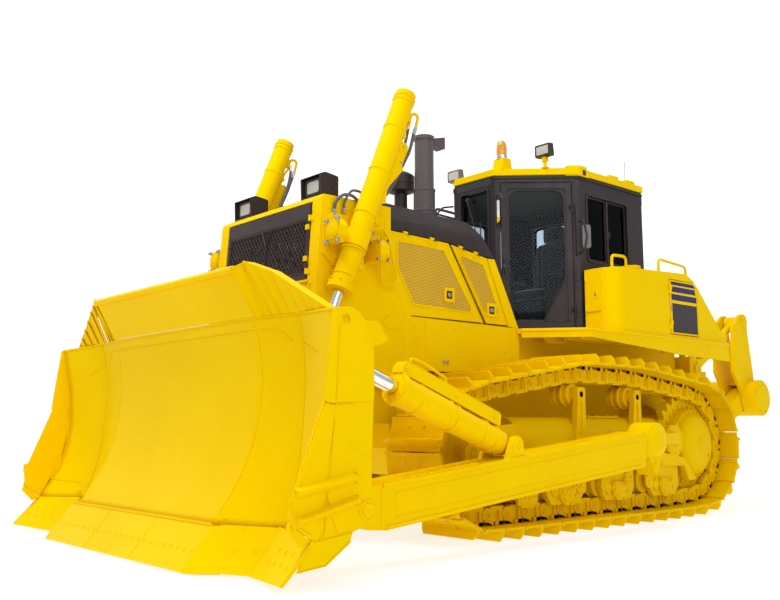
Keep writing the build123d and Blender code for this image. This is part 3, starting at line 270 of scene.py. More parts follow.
LENS = lens("clear_lens", (0.80, 0.80, 0.74), 0.12)
AMBER = lens("amber_lens", (0.95, 0.42, 0.01), 0.10)
RED = lens("red_lens", (0.6, 0.02, 0.02), 0.15)


def perforated(name):
    """Enamelled sheet with rows of small round holes, painted in as dark spots: painted shade for what is seen through
    them.
    """
    mat, nt, p = nodes_of(name)
    co = objco(nt)
    sep = nt.nodes.new("ShaderNodeSeparateXYZ")
    nt.links.new(co, sep.inputs[0])
    pitch = 0.0145
    def cell(v, k, off=0.0):
        return math_node(nt, "SUBTRACT", math_node(nt, "FRACT", math_node(nt, "ADD", math_node(nt, "DIVIDE", v, k), off + 100)), 0.5)
    x, z = sep.outputs["X"], sep.outputs["Z"]
    d = []
    for ox, oz in ((0.0, 0.0), (0.5, 0.5)):
        cx, cz = cell(x, pitch, ox), cell(z, pitch * 1.732, oz)
        cz = math_node(nt, "MULTIPLY", cz, 1.732)
        d.append(math_node(nt, "SQRT", math_node(nt, "ADD", math_node(nt, "MULTIPLY", cx, cx), math_node(nt, "MULTIPLY", cz, cz))))
    near = math_node(nt, "MINIMUM", d[0], d[1])
    hole = maprange(nt, near, 1.0, 0.0, 0.24, 0.33)
    tone = ramp(nt, noise(nt, co, 2, 3), [(0.35, (0.76, 0.45, 0.002)), (0.65, (0.84, 0.52, 0.002))])
    mix = nt.nodes.new("ShaderNodeMixRGB")
    nt.links.new(hole, mix.inputs["Fac"])
    nt.links.new(tone, mix.inputs["Color1"])
    # painted shade: the dark brown colour of each hole stands for the shade seen through it
    mix.inputs["Color2"].default_value = (0.10, 0.055, 0.004, 1)
    nt.links.new(mix.outputs["Color"], p.inputs["Base Color"])
    nt.links.new(maprange(nt, hole, 0.38, 0.8), p.inputs["Roughness"])
    bump(nt, p, math_node(nt, "SUBTRACT", 1.0, hole), 0.4, 0.0015)
    return mat


PERF = perforated("perforated_yellow")


def treadplate(name):
    """Deck plate with raised diamond dashes."""
    mat, nt, p = nodes_of(name)
    co = objco(nt)
    nt.links.new(ramp(nt, noise(nt, co, 3, 3), [(0.35, (0.76, 0.45, 0.002)), (0.65, (0.86, 0.53, 0.003))]), p.inputs["Base Color"])
    p.inputs["Roughness"].default_value = 0.45
    sep = nt.nodes.new("ShaderNodeSeparateXYZ")
    nt.links.new(co, sep.inputs[0])
    a = math_node(nt, "SINE", math_node(nt, "MULTIPLY", math_node(nt, "ADD", sep.outputs["X"], sep.outputs["Y"]), 190.0))
    b = math_node(nt, "SINE", math_node(nt, "MULTIPLY", math_node(nt, "SUBTRACT", sep.outputs["X"], sep.outputs["Y"]), 190.0))
    h = maprange(nt, math_node(nt, "MULTIPLY", a, b), 0, 1, 0.35, 0.6)
    bump(nt, p, h, 0.6, 0.002)
    return mat


TREAD = treadplate("tread_plate")


# ==================================================================== mesh building
class Piece:
    """Closed shells in the sprocket frame, in mm."""

    def __init__(self):
        self.v, self.f, self.k = [], [], []

    def add(self, verts, faces, mat=0):
        n = len(self.v)
        self.v += [tuple(v) for v in verts]
        self.f += [tuple(i + n for i in f) for f in faces]
        self.k += [mat] * len(faces)
        return self

    def join(self, other, mat=None):
        n = len(self.v)
        self.v += other.v
        self.f += [tuple(i + n for i in f) for f in other.f]
        self.k += other.k if mat is None else [mat] * len(other.f)
        return self

    def mirrored(self):
        o = Piece()
        o.v = [(x, -y, z) for x, y, z in self.v]
        o.f = [tuple(reversed(f)) for f in self.f]
        o.k = list(self.k)
        return o

    def both(self):
        o = Piece().join(self)
        return o.join(self.mirrored())


def vec(p):
    return Vector(p)


def prism(pts, d, length):
    d = Vector(d).normalized() * length
    n = len(pts)
    a = [Vector(p) for p in pts]
    v = a + [p + d for p in a]
    return v, [tuple(range(n)), tuple(range(2 * n - 1, n - 1, -1))] + [(i, (i + 1) % n, n + (i + 1) % n, n + i) for i in range(n)]


def py(P, pts, y0, y1, mat=0):
    P.add(*prism([(x, y0, z) for x, z in pts], (0, 1, 0), y1 - y0), mat=mat)


def px(P, pts, x0, x1, mat=0):
    P.add(*prism([(x0, y, z) for y, z in pts], (1, 0, 0), x1 - x0), mat=mat)


def pz(P, pts, z0, z1, mat=0):
    P.add(*prism([(x, y, z0) for x, y in pts], (0, 0, 1), z1 - z0), mat=mat)


def bx(P, x0, x1, y0, y1, z0, z1, mat=0):
    pz(P, [(x0, y0), (x1, y0), (x1, y1), (x0, y1)], z0, z1, mat)


def rnd(pts, r, k=4):
    """Round each corner of a flat polygon; r is one radius or one a corner."""
    n, out = len(pts), []
    rs = r if isinstance(r, (list, tuple)) else [r] * n
    for i in range(n):
        a, b, c = Vector(pts[i - 1]), Vector(pts[i]), Vector(pts[(i + 1) % n])
        u, w = (a - b), (c - b)
        lu, lw = u.length, w.length
        u.normalize(); w.normalize()
        half = acos(max(-1, min(1, u.dot(w)))) / 2
        if rs[i] <= 0 or half > 1.55:
            out += [tuple(b)] * (k + 1)
            continue
        t = min(rs[i] / tan(half), lu * 0.48, lw * 0.48)
        p, q = b + u * t, b + w * t
        for j in range(k + 1):
            s = j / k
            # quadratic through the corner, close to an arc
            out.append(tuple(p * (1 - s) ** 2 + b * (2 * s * (1 - s)) + q * s ** 2))
    return out


def dedupe(pts):
    out = []
    for p in pts:
        if not out or (Vector(p) - Vector(out[-1])).length > 1e-6:
            out.append(p)
    if (Vector(out[0]) - Vector(out[-1])).length < 1e-6:
        out.pop()
    return out


def basis(n):
    n = Vector(n).normalized()
    a = Vector((0, 0, 1)) if abs(n.z) < 0.9 else Vector((1, 0, 0))
    u = a.cross(n).normalized()
    return u, n.cross(u), n


def ringplate(P, outer, inner, o, u, w, d, t, mat=0):
    """Flat plate with one opening: outer and inner outlines have equal counts, in the
    plane (o; u, w), pushed t along d."""
    o, u, w, d = Vector(o), Vector(u), Vector(w), Vector(d).normalized() * t
    n = len(outer)
    A = [o + u * a + w * b for a, b in outer]
    B = [o + u * a + w * b for a, b in inner]
    v = A + B + [p + d for p in A] + [p + d for p in B]
    f = []
    for i in range(n):
        j = (i + 1) % n
        f += [(i, j, n + j, n + i), (2 * n + j, 2 * n + i, 3 * n + i, 3 * n + j), (j, i, 2 * n + i, 2 * n + j), (n + i, n + j, 3 * n + j, 3 * n + i)]
    P.add(v, f, mat)


def cyl(P, p, q, r, n=28, r2=None, mat=0, chamfer=0.0):
    p, q = Vector(p), Vector(q)
    L = (q - p).length
    r2 = r if r2 is None else r2
    if chamfer:
        prof = [(0, 0), (0, r - chamfer), (chamfer, r), (L - chamfer, r2), (L, r2 - chamfer), (L, 0)]
    else:
        prof = [(0, 0), (0, r), (L, r2), (L, 0)]
    lathe(P, p, q - p, prof, n, mat)


def lathe(P, p, d, prof, n=32, mat=0, closed=False):
    """Turned part: prof is (distance along d, radius)."""
    p = Vector(p)
    u, w, a = basis(d)
    v, rings = [], []
    for t, r in prof:
        c = p + a * t
        if r < 1e-6:
            rings.append([len(v)])
            v.append(c)
        else:
            rings.append(list(range(len(v), len(v) + n)))
            v += [c + u * (r * cos(2 * pi * i / n)) + w * (r * sin(2 * pi * i / n)) for i in range(n)]
    f = []
    pairs = list(zip(rings, rings[1:])) + ([(rings[-1], rings[0])] if closed else [])
    for a_, b_ in pairs:
        for i in range(n):
            j = (i + 1) % n
            if len(a_) == 1 and len(b_) == 1:
                break
            if len(a_) == 1:
                f.append((a_[0], b_[i], b_[j]))
            elif len(b_) == 1:
                f.append((a_[j], a_[i], b_[0]))
            else:
                f.append((a_[i], b_[i], b_[j], a_[j]))
    P.add(v, f, mat)


def fillet_path(pts, r, k=5):
    pts = [Vector(p) for p in pts]
    out = [pts[0]]
    for i in range(1, len(pts) - 1):
        a, b, c = pts[i - 1], pts[i], pts[i + 1]
        u, w = (a - b), (c - b)
        lu, lw = u.length, w.length
        u.normalize(); w.normalize()
        ang = acos(max(-1, min(1, u.dot(w))))
        if ang > 3.1:
            out.append(b)
            continue
        t = min(r / tan(ang / 2), lu * 0.48, lw * 0.48)
        p, q = b + u * t, b + w * t
        for j in range(k + 1):
            s = j / k
            out.append(p * (1 - s) ** 2 + b * (2 * s * (1 - s)) + q * s ** 2)
    out.append(pts[-1])
    return out


def spline(pts, n=8):
    """Smooth curve through the points."""
    p = [Vector(q) for q in pts]
    p = [p[0] * 2 - p[1]] + p + [p[-1] * 2 - p[-2]]
    out = []
    for i in range(1, len(p) - 2):
        for j in range(n):
            t = j / n
            out.append(0.5 * ((2 * p[i]) + (p[i + 1] - p[i - 1]) * t + (2 * p[i - 1] - 5 * p[i] + 4 * p[i + 1] - p[i + 2]) * t * t
                              + (3 * p[i] - p[i - 1] - 3 * p[i + 1] + p[i + 2]) * t ** 3))
    out.append(p[-2])
    return out


def tube(P, path, r, n=10, mat=0):
    path = [Vector(q) for q in path]
    clean = [path[0]]
    for q in path[1:]:
        if (q - clean[-1]).length > 1e-4:
            clean.append(q)
    path = clean
    tan_ = [(path[min(i + 1, len(path) - 1)] - path[max(i - 1, 0)]).normalized() for i in range(len(path))]
    u, w, _ = basis(tan_[0])
    v = []
    for i, (c, t) in enumerate(zip(path, tan_)):
        if i:
            rot = tan_[i - 1].rotation_difference(t)
            u, w = rot @ u, rot @ w
        v += [c + u * (r * cos(2 * pi * j / n)) + w * (r * sin(2 * pi * j / n)) for j in range(n)]
    f = [tuple(range(n)), tuple(range(len(v) - 1, len(v) - n - 1, -1))]
    for i in range(len(path) - 1):
        for j in range(n):
            a, b = i * n + j, i * n + (j + 1) % n
            f.append((b, a, a + n, b + n))
    P.add(v, f, mat)


def bolt(P, p, n, s=14.0, h=9.0, washer=1.5, mat=0):
    """Hex head with a washer face; s is half the width over corners."""
    p = Vector(p)
    u, w, d = basis(n)
    if washer:
        lathe(P, p - d * 0.5, d, [(0, 0), (0, s * 1.28), (2.2, s * 1.28), (2.8, s * 1.2), (2.8, 0)], 16, mat)
    base = p + d * 2.4
    hexa = [u * (s * cos(pi * i / 3)) + w * (s * sin(pi * i / 3)) for i in range(6)]
    v = [base + q for q in hexa] + [base + q + d * (h * 0.8) for q in hexa] + [base + q * 0.82 + d * h for q in hexa]
    f = [tuple(range(5, -1, -1)), tuple(range(12, 18))]
    for i in range(6):
        j = (i + 1) % 6
        f += [(i, j, 6 + j, 6 + i), (6 + i, 6 + j, 12 + j, 12 + i)]
    P.add(v, f, mat)


def dome(P, p, n, r=16.0, h=7.0, mat=0):
    """Round button-head bolt."""
    lathe(P, Vector(p) - Vector(n).normalized() * 0.5, n, [(0, 0), (0, r), (h * 0.35, r * 0.98), (h * 0.7, r * 0.75), (h * 0.95, r * 0.4), (h, 0)], 16, mat)


def plow(P, p, n, r=20.0, mat=0):
    """Flush plough bolt: a ring groove round a flat head."""
    lathe(P, Vector(p) - Vector(n).normalized() * 4, n, [(0, 0), (0, r), (5.4, r), (6.6, r * 0.93), (6.6, r * 0.62), (4.5, r * 0.55), (4.5, 0)], 20, mat)


def make(name, P, mats, body, replaces=(), bevel=0.0, seg=2, angle=32, limit=40):
    me = bpy.data.meshes.new(name)
    me.from_pydata([tuple(m(v)) for v in P.v], [], P.f)
    mats = mats if isinstance(mats, (list, tuple)) else [mats]
    for k in mats:
        me.materials.append(k)
    me.polygons.foreach_set("material_index", P.k)
    bm = bmesh.new()
    bm.from_mesh(me)
    bmesh.ops.remove_doubles(bm, verts=bm.verts, dist=1e-6)
    bmesh.ops.recalc_face_normals(bm, faces=bm.faces)
    bm.to_mesh(me)
    bm.free()
    me.polygons.foreach_set("use_smooth", [True] * len(me.polygons))
    me.set_sharp_from_angle(angle=radians(angle))
    o = bpy.data.objects.new(name, me)
    scene.collection.objects.link(o)
    if bevel:
        b = o.modifiers.new("edge", "BEVEL")
        b.width, b.segments, b.limit_method, b.angle_limit = bevel / 1000.0, seg, "ANGLE", radians(limit)
        b.harden_normals = False
        b.use_clamp_overlap = True
        b.miter_outer = "MITER_ARC"
        w = o.modifiers.new("normals", "WEIGHTED_NORMAL")
        w.keep_sharp = False
        w.weight = 80
    if body:
        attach(o, body)
    if replaces:
        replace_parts(o, *replaces)
    return o


def dress(node, mat, bevel=5.0, name=None, seg=2, angle=30, keep=None, body=None):
    """A cleaned copy of a CAD node with rounded edges, standing for it."""
    src = NODES[node]
    me = src.data.copy()
    me.materials.clear()
    me.materials.append(mat)
    bm = bmesh.new()
    bm.from_mesh(me)
    bmesh.ops.remove_doubles(bm, verts=bm.verts, dist=2e-6)
    if keep:
        drop = [f for f in bm.faces if not keep(f.calc_center_median())]
        bmesh.ops.delete(bm, geom=drop, context="FACES")
    bmesh.ops.dissolve_limit(bm, angle_limit=radians(0.6), verts=bm.verts, edges=bm.edges)
    bmesh.ops.recalc_face_normals(bm, faces=bm.faces)
    for f in bm.faces:
        f.smooth = True
        f.material_index = 0
    bm.to_mesh(me)
    bm.free()
    if me.has_custom_normals:
        me.normals_split_custom_set([(0, 0, 0)] * len(me.loops))
    me.set_sharp_from_angle(angle=radians(angle))
    o = bpy.data.objects.new(name or "shell_" + node, me)
    scene.collection.objects.link(o)
    if bevel:
        b = o.modifiers.new("edge", "BEVEL")
        b.width, b.segments, b.limit_method, b.angle_limit = bevel / 1000.0, seg, "ANGLE", radians(38)
        b.use_clamp_overlap = True
        w = o.modifiers.new("normals", "WEIGHTED_NORMAL")
        w.keep_sharp = False
        w.weight = 80
    body = body or NODES[node]["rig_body"]
    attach(o, body)
    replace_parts(o, node)
    return o


def cut(o, P, name="cutter"):
    """Subtract closed shells from a piece and keep the result as its mesh."""
    me = bpy.data.meshes.new(name)
    me.from_pydata([tuple(m(v)) for v in P.v], [], P.f)
    bm = bmesh.new(); bm.from_mesh(me)
    bmesh.ops.recalc_face_normals(bm, faces=bm.faces)
    bm.to_mesh(me); bm.free()
    c = bpy.data.objects.new(name, me)
    scene.collection.objects.link(c)
    b = o.modifiers.new("cut", "BOOLEAN")
    b.operation, b.object, b.solver = "DIFFERENCE", c, "EXACT"
    bpy.context.view_layer.update()
    dg = bpy.context.evaluated_depsgraph_get()
    new = bpy.data.meshes.new_from_object(o.evaluated_get(dg))
    o.modifiers.clear()
    o.data = new
    bpy.data.objects.remove(c)
    return o


# ========================================================================= camera
cam_data = bpy.data.cameras.new("camera")
cam = bpy.data.objects.new("camera", cam_data)
scene.collection.objects.link(cam)
scene.camera = cam
yaw, pitch, roll = radians(-131.608), radians(8.308), radians(-0.081)
d = Vector((cos(pitch) * cos(yaw), cos(pitch) * sin(yaw), sin(pitch)))
r = d.cross(Vector((0, 0, 1))).normalized()
u = r.cross(d)
r, u = r * cos(roll) + u * sin(roll), u * cos(roll) - r * sin(roll)
cam.matrix_world = Matrix.Translation((6.697, 6.135, 0.896)) @ Matrix(((r.x, u.x, -d.x), (r.y, u.y, -d.y), (r.z, u.z, -d.z))).to_4x4()
cam_data.lens, cam_data.sensor_width = 41.42, 36.0
cam_data.shift_x, cam_data.shift_y = -0.0165, -0.0091
cam_data.clip_end = 300

# ========================================================================== stage
world = bpy.data.worlds.new("studio")
scene.world = world
world.use_nodes = True
wb = world.node_tree.nodes["Background"]
wb.inputs["Color"].default_value = (1.0, 1.0, 1.0, 1)
wb.inputs["Strength"].default_value = 0.5


def area(name, loc, target, size, power, col=(1, 1, 1)):
    L = bpy.data.lights.new(name, "AREA")
    L.shape, L.size, L.size_y, L.energy, L.color = "RECTANGLE", size[0], size[1], power, col
    o = bpy.data.objects.new(name, L)
    scene.collection.objects.link(o)
    o.location = loc
    o.rotation_euler = (Vector(target) - Vector(loc)).to_track_quat("-Z", "Y").to_euler()
    return o


area("key", (5.6, 0.6, 12.0), (1.0, 0.3, 1.0), (7, 7), 1060, (1.0, 0.985, 0.95))
area("fill", (6.5, 12.0, 6.5), (0.0, 1.0, 1.0), (8, 6), 350)

floor_mesh = bpy.data.meshes.new("floor")
floor_mesh.from_pydata([(-120, -120, 0), (120, -120, 0), (120, 120, 0), (-120, 120, 0)], [], [(0, 1, 2, 3)])
floor = bpy.data.objects.new("floor", floor_mesh)
scene.collection.objects.link(floor)
fm, nt, p = nodes_of("studio_floor")
co = objco(nt)
nt.links.new(ramp(nt, noise(nt, co, 0.4, 2), [(0.3, (0.34, 0.34, 0.34)), (0.7, (0.35, 0.35, 0.35))]), p.inputs["Base Color"])
p.inputs["Roughness"].default_value = 0.85
p.inputs["Specular IOR Level"].default_value = 0.1
p.inputs["Emission Color"].default_value = (1, 1, 1, 1)
p.inputs["Emission Strength"].default_value = 0.74
floor_mesh.materials.append(fm)

# pale wall far behind the machine
bd = bpy.data.meshes.new("backdrop")
c0 = Vector((d.x, d.y, 0)).normalized() * 42 + Vector((0, 0, 0))
sd = Vector((-d.y, d.x, 0)).normalized() * 110
bd.from_pydata([tuple(c0 - sd + Vector((0, 0, -0.5))), tuple(c0 + sd + Vector((0, 0, -0.5))), tuple(c0 + sd + Vector((0, 0, 60))), tuple(c0 - sd + Vector((0, 0, 60)))], [], [(0, 1, 2, 3)])
backdrop = bpy.data.objects.new("backdrop", bd)
scene.collection.objects.link(backdrop)
bm_, nt, p = nodes_of("backdrop_white")
co = objco(nt)
nt.links.new(ramp(nt, noise(nt, co, 0.2, 1), [(0.3, (0.5, 0.5, 0.5)), (0.7, (0.52, 0.52, 0.52))]), p.inputs["Base Color"])
p.inputs["Roughness"].default_value = 1.0
p.inputs["Specular IOR Level"].default_value = 0.0
p.inputs["Emission Color"].default_value = (1, 1, 1, 1)
p.inputs["Emission Strength"].default_value = 0.95
bd.materials.append(bm_)

# ========================================================================= tracks
PITCH, SHOES, TY, SW = 228.6, 41, 1070.0, 610.0
TOP_LINK, SHOE_T, GROUSER, DROP = 83.0, 22.0, 80.0, 65.0
PIN_Z = TOP_LINK + SHOE_T + GROUSER
SPR_Z, SPR_R = 694.0, 495.6
IDX, IDZ, IDR = 3165.0, 650.0, 465.0
CARX, CARZ = (1900.0, 1050.0), (1325.0, 1315.0)
ROLX = (548.0, 880.0, 1225.0, 1570.0, 1915.0, 2260.0, 2605.0)
BOGX = (620.0, 1370.0, 2120.0)


def track_pins():
    pts = []

    def arc(cx, cz, rr, a0, a1, n=60):
        for i in range(n + 1):
            a = radians(a0 + (a1 - a0) * i / n)
            pts.append((cx + rr * cos(a), cz + rr * sin(a)))

    def tangent(cx, cz, rr, qx, qz, side):
        dd = hypot(qx - cx, qz - cz)
        return degrees(atan2(qz - cz, qx - cx) + side * acos(rr / dd))

    arc(0, SPR_Z, SPR_R, 180, tangent(0, SPR_Z, SPR_R, CARX[1], CARZ[1], 1))
    pts.extend([(CARX[1], CARZ[1]), (CARX[0], CARZ[0])])
    arc(IDX, IDZ, IDR, tangent(IDX, IDZ, IDR, CARX[0], CARZ[0], -1), -90)
    pts.append((420.0, PIN_Z))
    arc(0, SPR_Z, SPR_R, tangent(0, SPR_Z, SPR_R, 420.0, PIN_Z, -1), -180)
    seg = [hypot(b[0] - a[0], b[1] - a[1]) for a, b in zip(pts, pts[1:])]
    step, out, i, done = sum(seg) / SHOES, [], 0, 0.0
    for n in range(SHOES):
        want = (n + 0.35) * step
        while done + seg[i] < want:
            done += seg[i]
            i += 1
        t = (want - done) / seg[i]
        out.append((pts[i][0] + (pts[i + 1][0] - pts[i][0]) * t, pts[i][1] + (pts[i + 1][1] - pts[i][1]) * t))
    return out


PINS = track_pins()
shoes, chain, studs = Piece(), Piece(), Piece()
for i in range(SHOES):
    a, b = Vector(PINS[i]), Vector(PINS[(i + 1) % SHOES])
    L = (b - a).length
    ex = (b - a) / L
    en = Vector((-ex.y, ex.x))

    def W(s, n):
        q = a + ex * s + en * n
        return (q.x, q.y)

    # shoe: plate with a turned trailing lip and a tapered grouser near the leading end
    base = TOP_LINK
    prof = [(6, base), (L - 5, base), (L - 5, base + 16), (L - 10, base + SHOE_T), (L - 15, base + SHOE_T + 2),
            (L - 22, base + SHOE_T + GROUSER - 3), (L - 26, base + SHOE_T + GROUSER), (L - 36, base + SHOE_T + GROUSER), (L - 40, base + SHOE_T + GROUSER - 3),
            (L - 45, base + SHOE_T + 14), (L - 58, base + SHOE_T), (30, base + SHOE_T), (8, base + SHOE_T + 12), (-2, base + SHOE_T + 10), (-3, base + SHOE_T - 2), (6, base + 12)]
    y0, y1 = TY - SW / 2, TY + SW / 2
    n = len(prof)
    v = []
    for y, inset in ((y0, 1), (y0 + 34, 0), (y1 - 34, 0), (y1, 1)):
        for s, h in prof:
            hh = h
            if inset and h > base + SHOE_T + 20:
                hh = base + SHOE_T + (h - base - SHOE_T) * 0.45
            q = W(s, hh)
            v.append((q[0], y, q[1]))
    f = [tuple(range(n)), tuple(range(4 * n - 1, 3 * n - 1, -1))]
    for k in range(3):
        for j in range(n):
            jj = (j + 1) % n
            f.append((k * n + j, k * n + jj, (k + 1) * n + jj, (k + 1) * n + j))
    shoes.add(v, f)
    # tongue that closes the gap to the next shoe
    py(shoes, [W(L - 20, 85), W(L + 38, 85), W(L + 38, 96), W(L - 20, 96)], y0 + 12, y1 - 12)
    # links: two strands, each with an outset pin end, an inset bush end and a rail
    for sg in (-1, 1):
        yc = TY + sg * 80

        def Y(y0_, y1_):
            p0, p1 = yc + sg * y0_, yc + sg * y1_
            return (p0, p1) if p0 < p1 else (p1, p0)

        def prof_y(pts, ys):
            py(chain, [W(s, h) for s, h in pts], *ys)

        k = 12
        bos = lambda cs, rr, a0, a1: [(cs + rr * cos(radians(a0 + (a1 - a0) * j / k)), rr * sin(radians(a0 + (a1 - a0) * j / k))) for j in range(k + 1)]
        # trailing (pin) end, outer side
        prof_y([(70, -62)] + [(40, -62)] + bos(0, 56, 300, 90)[::1] + [(30, 60), (52, 78), (70, 80)], Y(2, 30))
        # leading (bush) end, inner side
        prof_y([(L - 70, 80), (L - 52, 78), (L - 30, 60)] + bos(L, 60, 90, -120) + [(L - 45, -62), (L - 70, -62)], Y(-30, 0))
        # middle: rail, recessed web, two seats for the shoe bolts
        prof_y([(45, -65), (L - 45, -65), (L - 45, -30), (45, -30)], Y(-24, 24))
        prof_y([(62, -32), (L - 62, -32), (L - 62, 60), (62, 60)], Y(-9, 9))
        for s0, s1 in ((44, 92), (L - 92, L - 44)):
            prof_y([(s0, -32), (s1, -32), (s1, base - 0.6), (s0, base - 0.6)], Y(-22, 22))
        prof_y([(44, 52), (L - 44, 52), (L - 44, base - 0.6), (44, base - 0.6)], Y(-22, 22))
        # pin end with its plug
        q = W(0, 0)
        lathe(chain, (q[0], yc + sg * 22, q[1]), (0, sg, 0), [(0, 0), (0, 30), (12, 30), (14, 27), (14, 19), (10, 17), (10, 0)], 16)
        for s0 in (68, L - 68):
            for h, dd, kk in ((base + SHOE_T, 1, 12.0),):
                q = W(s0, h - 1)
                bolt(studs, (q[0], yc, q[1]), (en.x * dd, 0, en.y * dd), 13.5, 12.0, 1)
    # bush
    q = W(L, 0)
    cyl(chain, (q[0], TY - 52, q[1]), (q[0], TY + 52, q[1]), 36, 16)

for side, fl in (("left", False), ("right", True)):
    S, C, B = (shoes, chain, studs) if not fl else (shoes.mirrored(), chain.mirrored(), studs.mirrored())
    make(side + "_track_shoes", S, YEL_TRACK, "hull", [side + "_track"], bevel=2.5, seg=1)
    make(side + "_track_links", C, YEL_TRACK, "hull", [side + "_track"], bevel=0)
    make(side + "_track_bolts", B, YEL_TRACK, "hull", [side + "_track"])

# sprocket: toothed segments, bolt ring, final drive hub
rim, hub = Piece(), Piece()
T = 27
pts, inn = [], []
for i in range(T):
    for da, rr in ((-0.36, 448.0), (-0.26, 466.0), (-0.13, 503.0), (-0.05, 507.0), (0.05, 507.0), (0.13, 503.0), (0.26, 466.0), (0.36, 448.0)):
        t = 2 * pi * (i + da) / T
        pts.append((rr * cos(t), rr * sin(t)))
        inn.append((352 * cos(t), 352 * sin(t)))
ringplate(rim, pts, inn, (0, TY - 34, SPR_Z), (1, 0, 0), (0, 0, 1), (0, 1, 0), 68)
# directions at the joints between the bolted segments; no split lines are drawn
for i in range(9):
    t = 2 * pi * (i + 0.5) / 9
    e, w = Vector((cos(t), 0, sin(t))), Vector((-sin(t), 0, cos(t)))
for i in range(27):
    t = 2 * pi * (i + 0.5) / 27
    c = Vector((378 * cos(t), TY + 34, SPR_Z + 378 * sin(t)))
    bolt(rim, c, (0, 1, 0), 15, 14, 1)
lathe(hub, (0, 862, SPR_Z), (0, 1, 0), [(0, 0), (0, 325), (140, 325), (150, 352), (258, 352), (262, 345), (290, 345), (300, 338), (316, 334),
                                       (326, 316), (340, 306), (353, 300), (368, 290), (383, 270), (395, 250), (403, 225), (412, 188), (418, 150), (423, 112), (426, 80), (428, 58),
                                       (434, 54), (438, 48), (438, 0)], 72)
for i in range(26):
    t = 2 * pi * (i + 0.25) / 26
    bolt(hub, (326 * cos(t), TY + 108, SPR_Z + 326 * sin(t)), (0, 1, 0), 14, 14, 1)
bolt(hub, (0, 1297, SPR_Z), (0, 1, 0), 22, 10, 0)
bolt(hub, (-150, 1277, SPR_Z - 120), (-0.25, 1, -0.2), 15, 9, 1)
for P, nm in ((rim, "sprocket_rims"), (hub, "final_drive_hubs")):
    make(nm, P.both(), YEL_TRACK if P is rim else YEL_CAST, "hull", ["sprockets"], bevel=2.0 if P is rim else 0, seg=1)

# idler wheel with dished webs
idl = Piece()
ri = sqrt(IDR ** 2 - (228.59 / 2) ** 2) - DROP - 1.0
lathe(idl, (IDX, TY - 110, IDZ), (0, 1, 0), [(0, ri - 55), (0, ri - 6), (6, ri), (60, ri), (66, ri + 6), (70, ri + 22), (74, ri + 24), (146, ri + 24), (150, ri + 22), (154, ri + 6),
                                          (160, ri), (214, ri), (220, ri - 6), (220, ri - 55), (178, ri - 72), (165, ri - 110), (165, 150), (180, 130), (218, 122), (218, 58), (214, 52), (214, 0)]
      , 56)
lathe(idl, (IDX, TY - 110, IDZ), (0, 1, 0), [(6, 0), (6, 52), (2, 58), (2, 122), (40, 130), (55, 150), (55, ri - 110), (42, ri - 72), (0, ri - 55)], 56)
make("idler_wheels", idl.both(), YEL_TRACK, "hull", ["idlers"])

# track rollers, double flange, and carrier rollers
rol = Piece()
zr = PIN_Z + DROP + 115.0 + 0.5
for x in ROLX:
    lathe(rol, (x, TY - 119, zr), (0, 1, 0), [(0, 0), (0, 42), (10, 46), (10, 96), (14, 114), (72, 115), (76, 130), (95, 130), (100, 100), (138, 100), (143, 130), (162, 130), (166, 115),
                                            (224, 114), (228, 96), (228, 46), (238, 42), (238, 0)], 36)
    for dx, dz in ((-24, -4), (24, -4), (0, 22)):
        cyl(rol, (x + dx, TY + 108, zr + dz), (x + dx, TY + 117, zr + dz), 8, 10)
for x, zp in zip(CARX, CARZ):
    zc = zp - DROP - 109
    lathe(rol, (x, TY - 105, zc), (0, 1, 0), [(0, 0), (0, 52), (4, 56), (4, 80), (8, 95), (58, 95), (62, 112), (80, 112), (84, 96), (126, 96), (130, 112), (148, 112), (152, 95), (200, 95),
                                            (206, 84), (206, 60), (212, 52), (239, 48), (239, 0)], 36)
    for i in range(6):
        t = pi * i / 3
        bolt(rol, (x + 68 * cos(t), TY + 101, zc + 68 * sin(t)), (0, 1, 0), 9, 7, 0)
make("rollers", rol.both(), YEL_TRACK, "hull", ["track_rollers"])

# track frames: shell and bolted trim
dress("track_frames", YEL_CAST, 7)
tf = Piece()
for x in BOGX:
    # roller cap with a raised rim
    cap = [(x - 105, 372), (x - 118, 290), (x - 60, 215), (x + 40, 215), (x + 112, 290), (x + 95, 385)]
    c = Vector((x, 300))
    inner = [tuple(c + (Vector(q) - c) * 0.72) for q in cap]
    py(tf, inner, 1256, 1270)
    for k, (bxp, bz) in enumerate([tuple(c + (Vector(q) - c) * 0.86) for q in cap]):
        if k != 3:
            bolt(tf, (bxp, 1262, bz), (0, 1, 0), 15, 13, 1)
    lathe(tf, (x, 1266, 300), (0, 1, 0), [(0, 0), (0, 48), (8, 46), (10, 40), (10, 20), (6, 16), (6, 0)], 24)
for x in ROLX:
    # roller shaft retainers between the caps
    if all(abs(x - b) > 130 for b in BOGX):
        py(tf, [(x - 62, 330), (x - 62, 420), (x - 30, 452), (x + 30, 452), (x + 62, 420), (x + 62, 330), (x + 34, 300), (x - 34, 300)], 1230, 1250)
        for dx in (-40, 40):
            bolt(tf, (x + dx, 1249, 408), (0, 1, 0), 13, 11, 1)
        cyl(tf, (x, 1245, 352), (x, 1256, 352), 26, 20, chamfer=3)
for x in (1000, 1745, 2400):
    for dz in (470, 498):
        bolt(tf, (x, 1234, dz), (0, 1, 0), 10, 8, 1)
# guide guard along the bottom outside
py(tf, [(2500, 250), (2500, 340), (2560, 400), (2720, 400), (2740, 250)], 1233, 1247)
for x in (2540, 2600, 2660, 2710):
    bolt(tf, (x, 1246, 300), (0, 1, 0), 12, 10, 1)
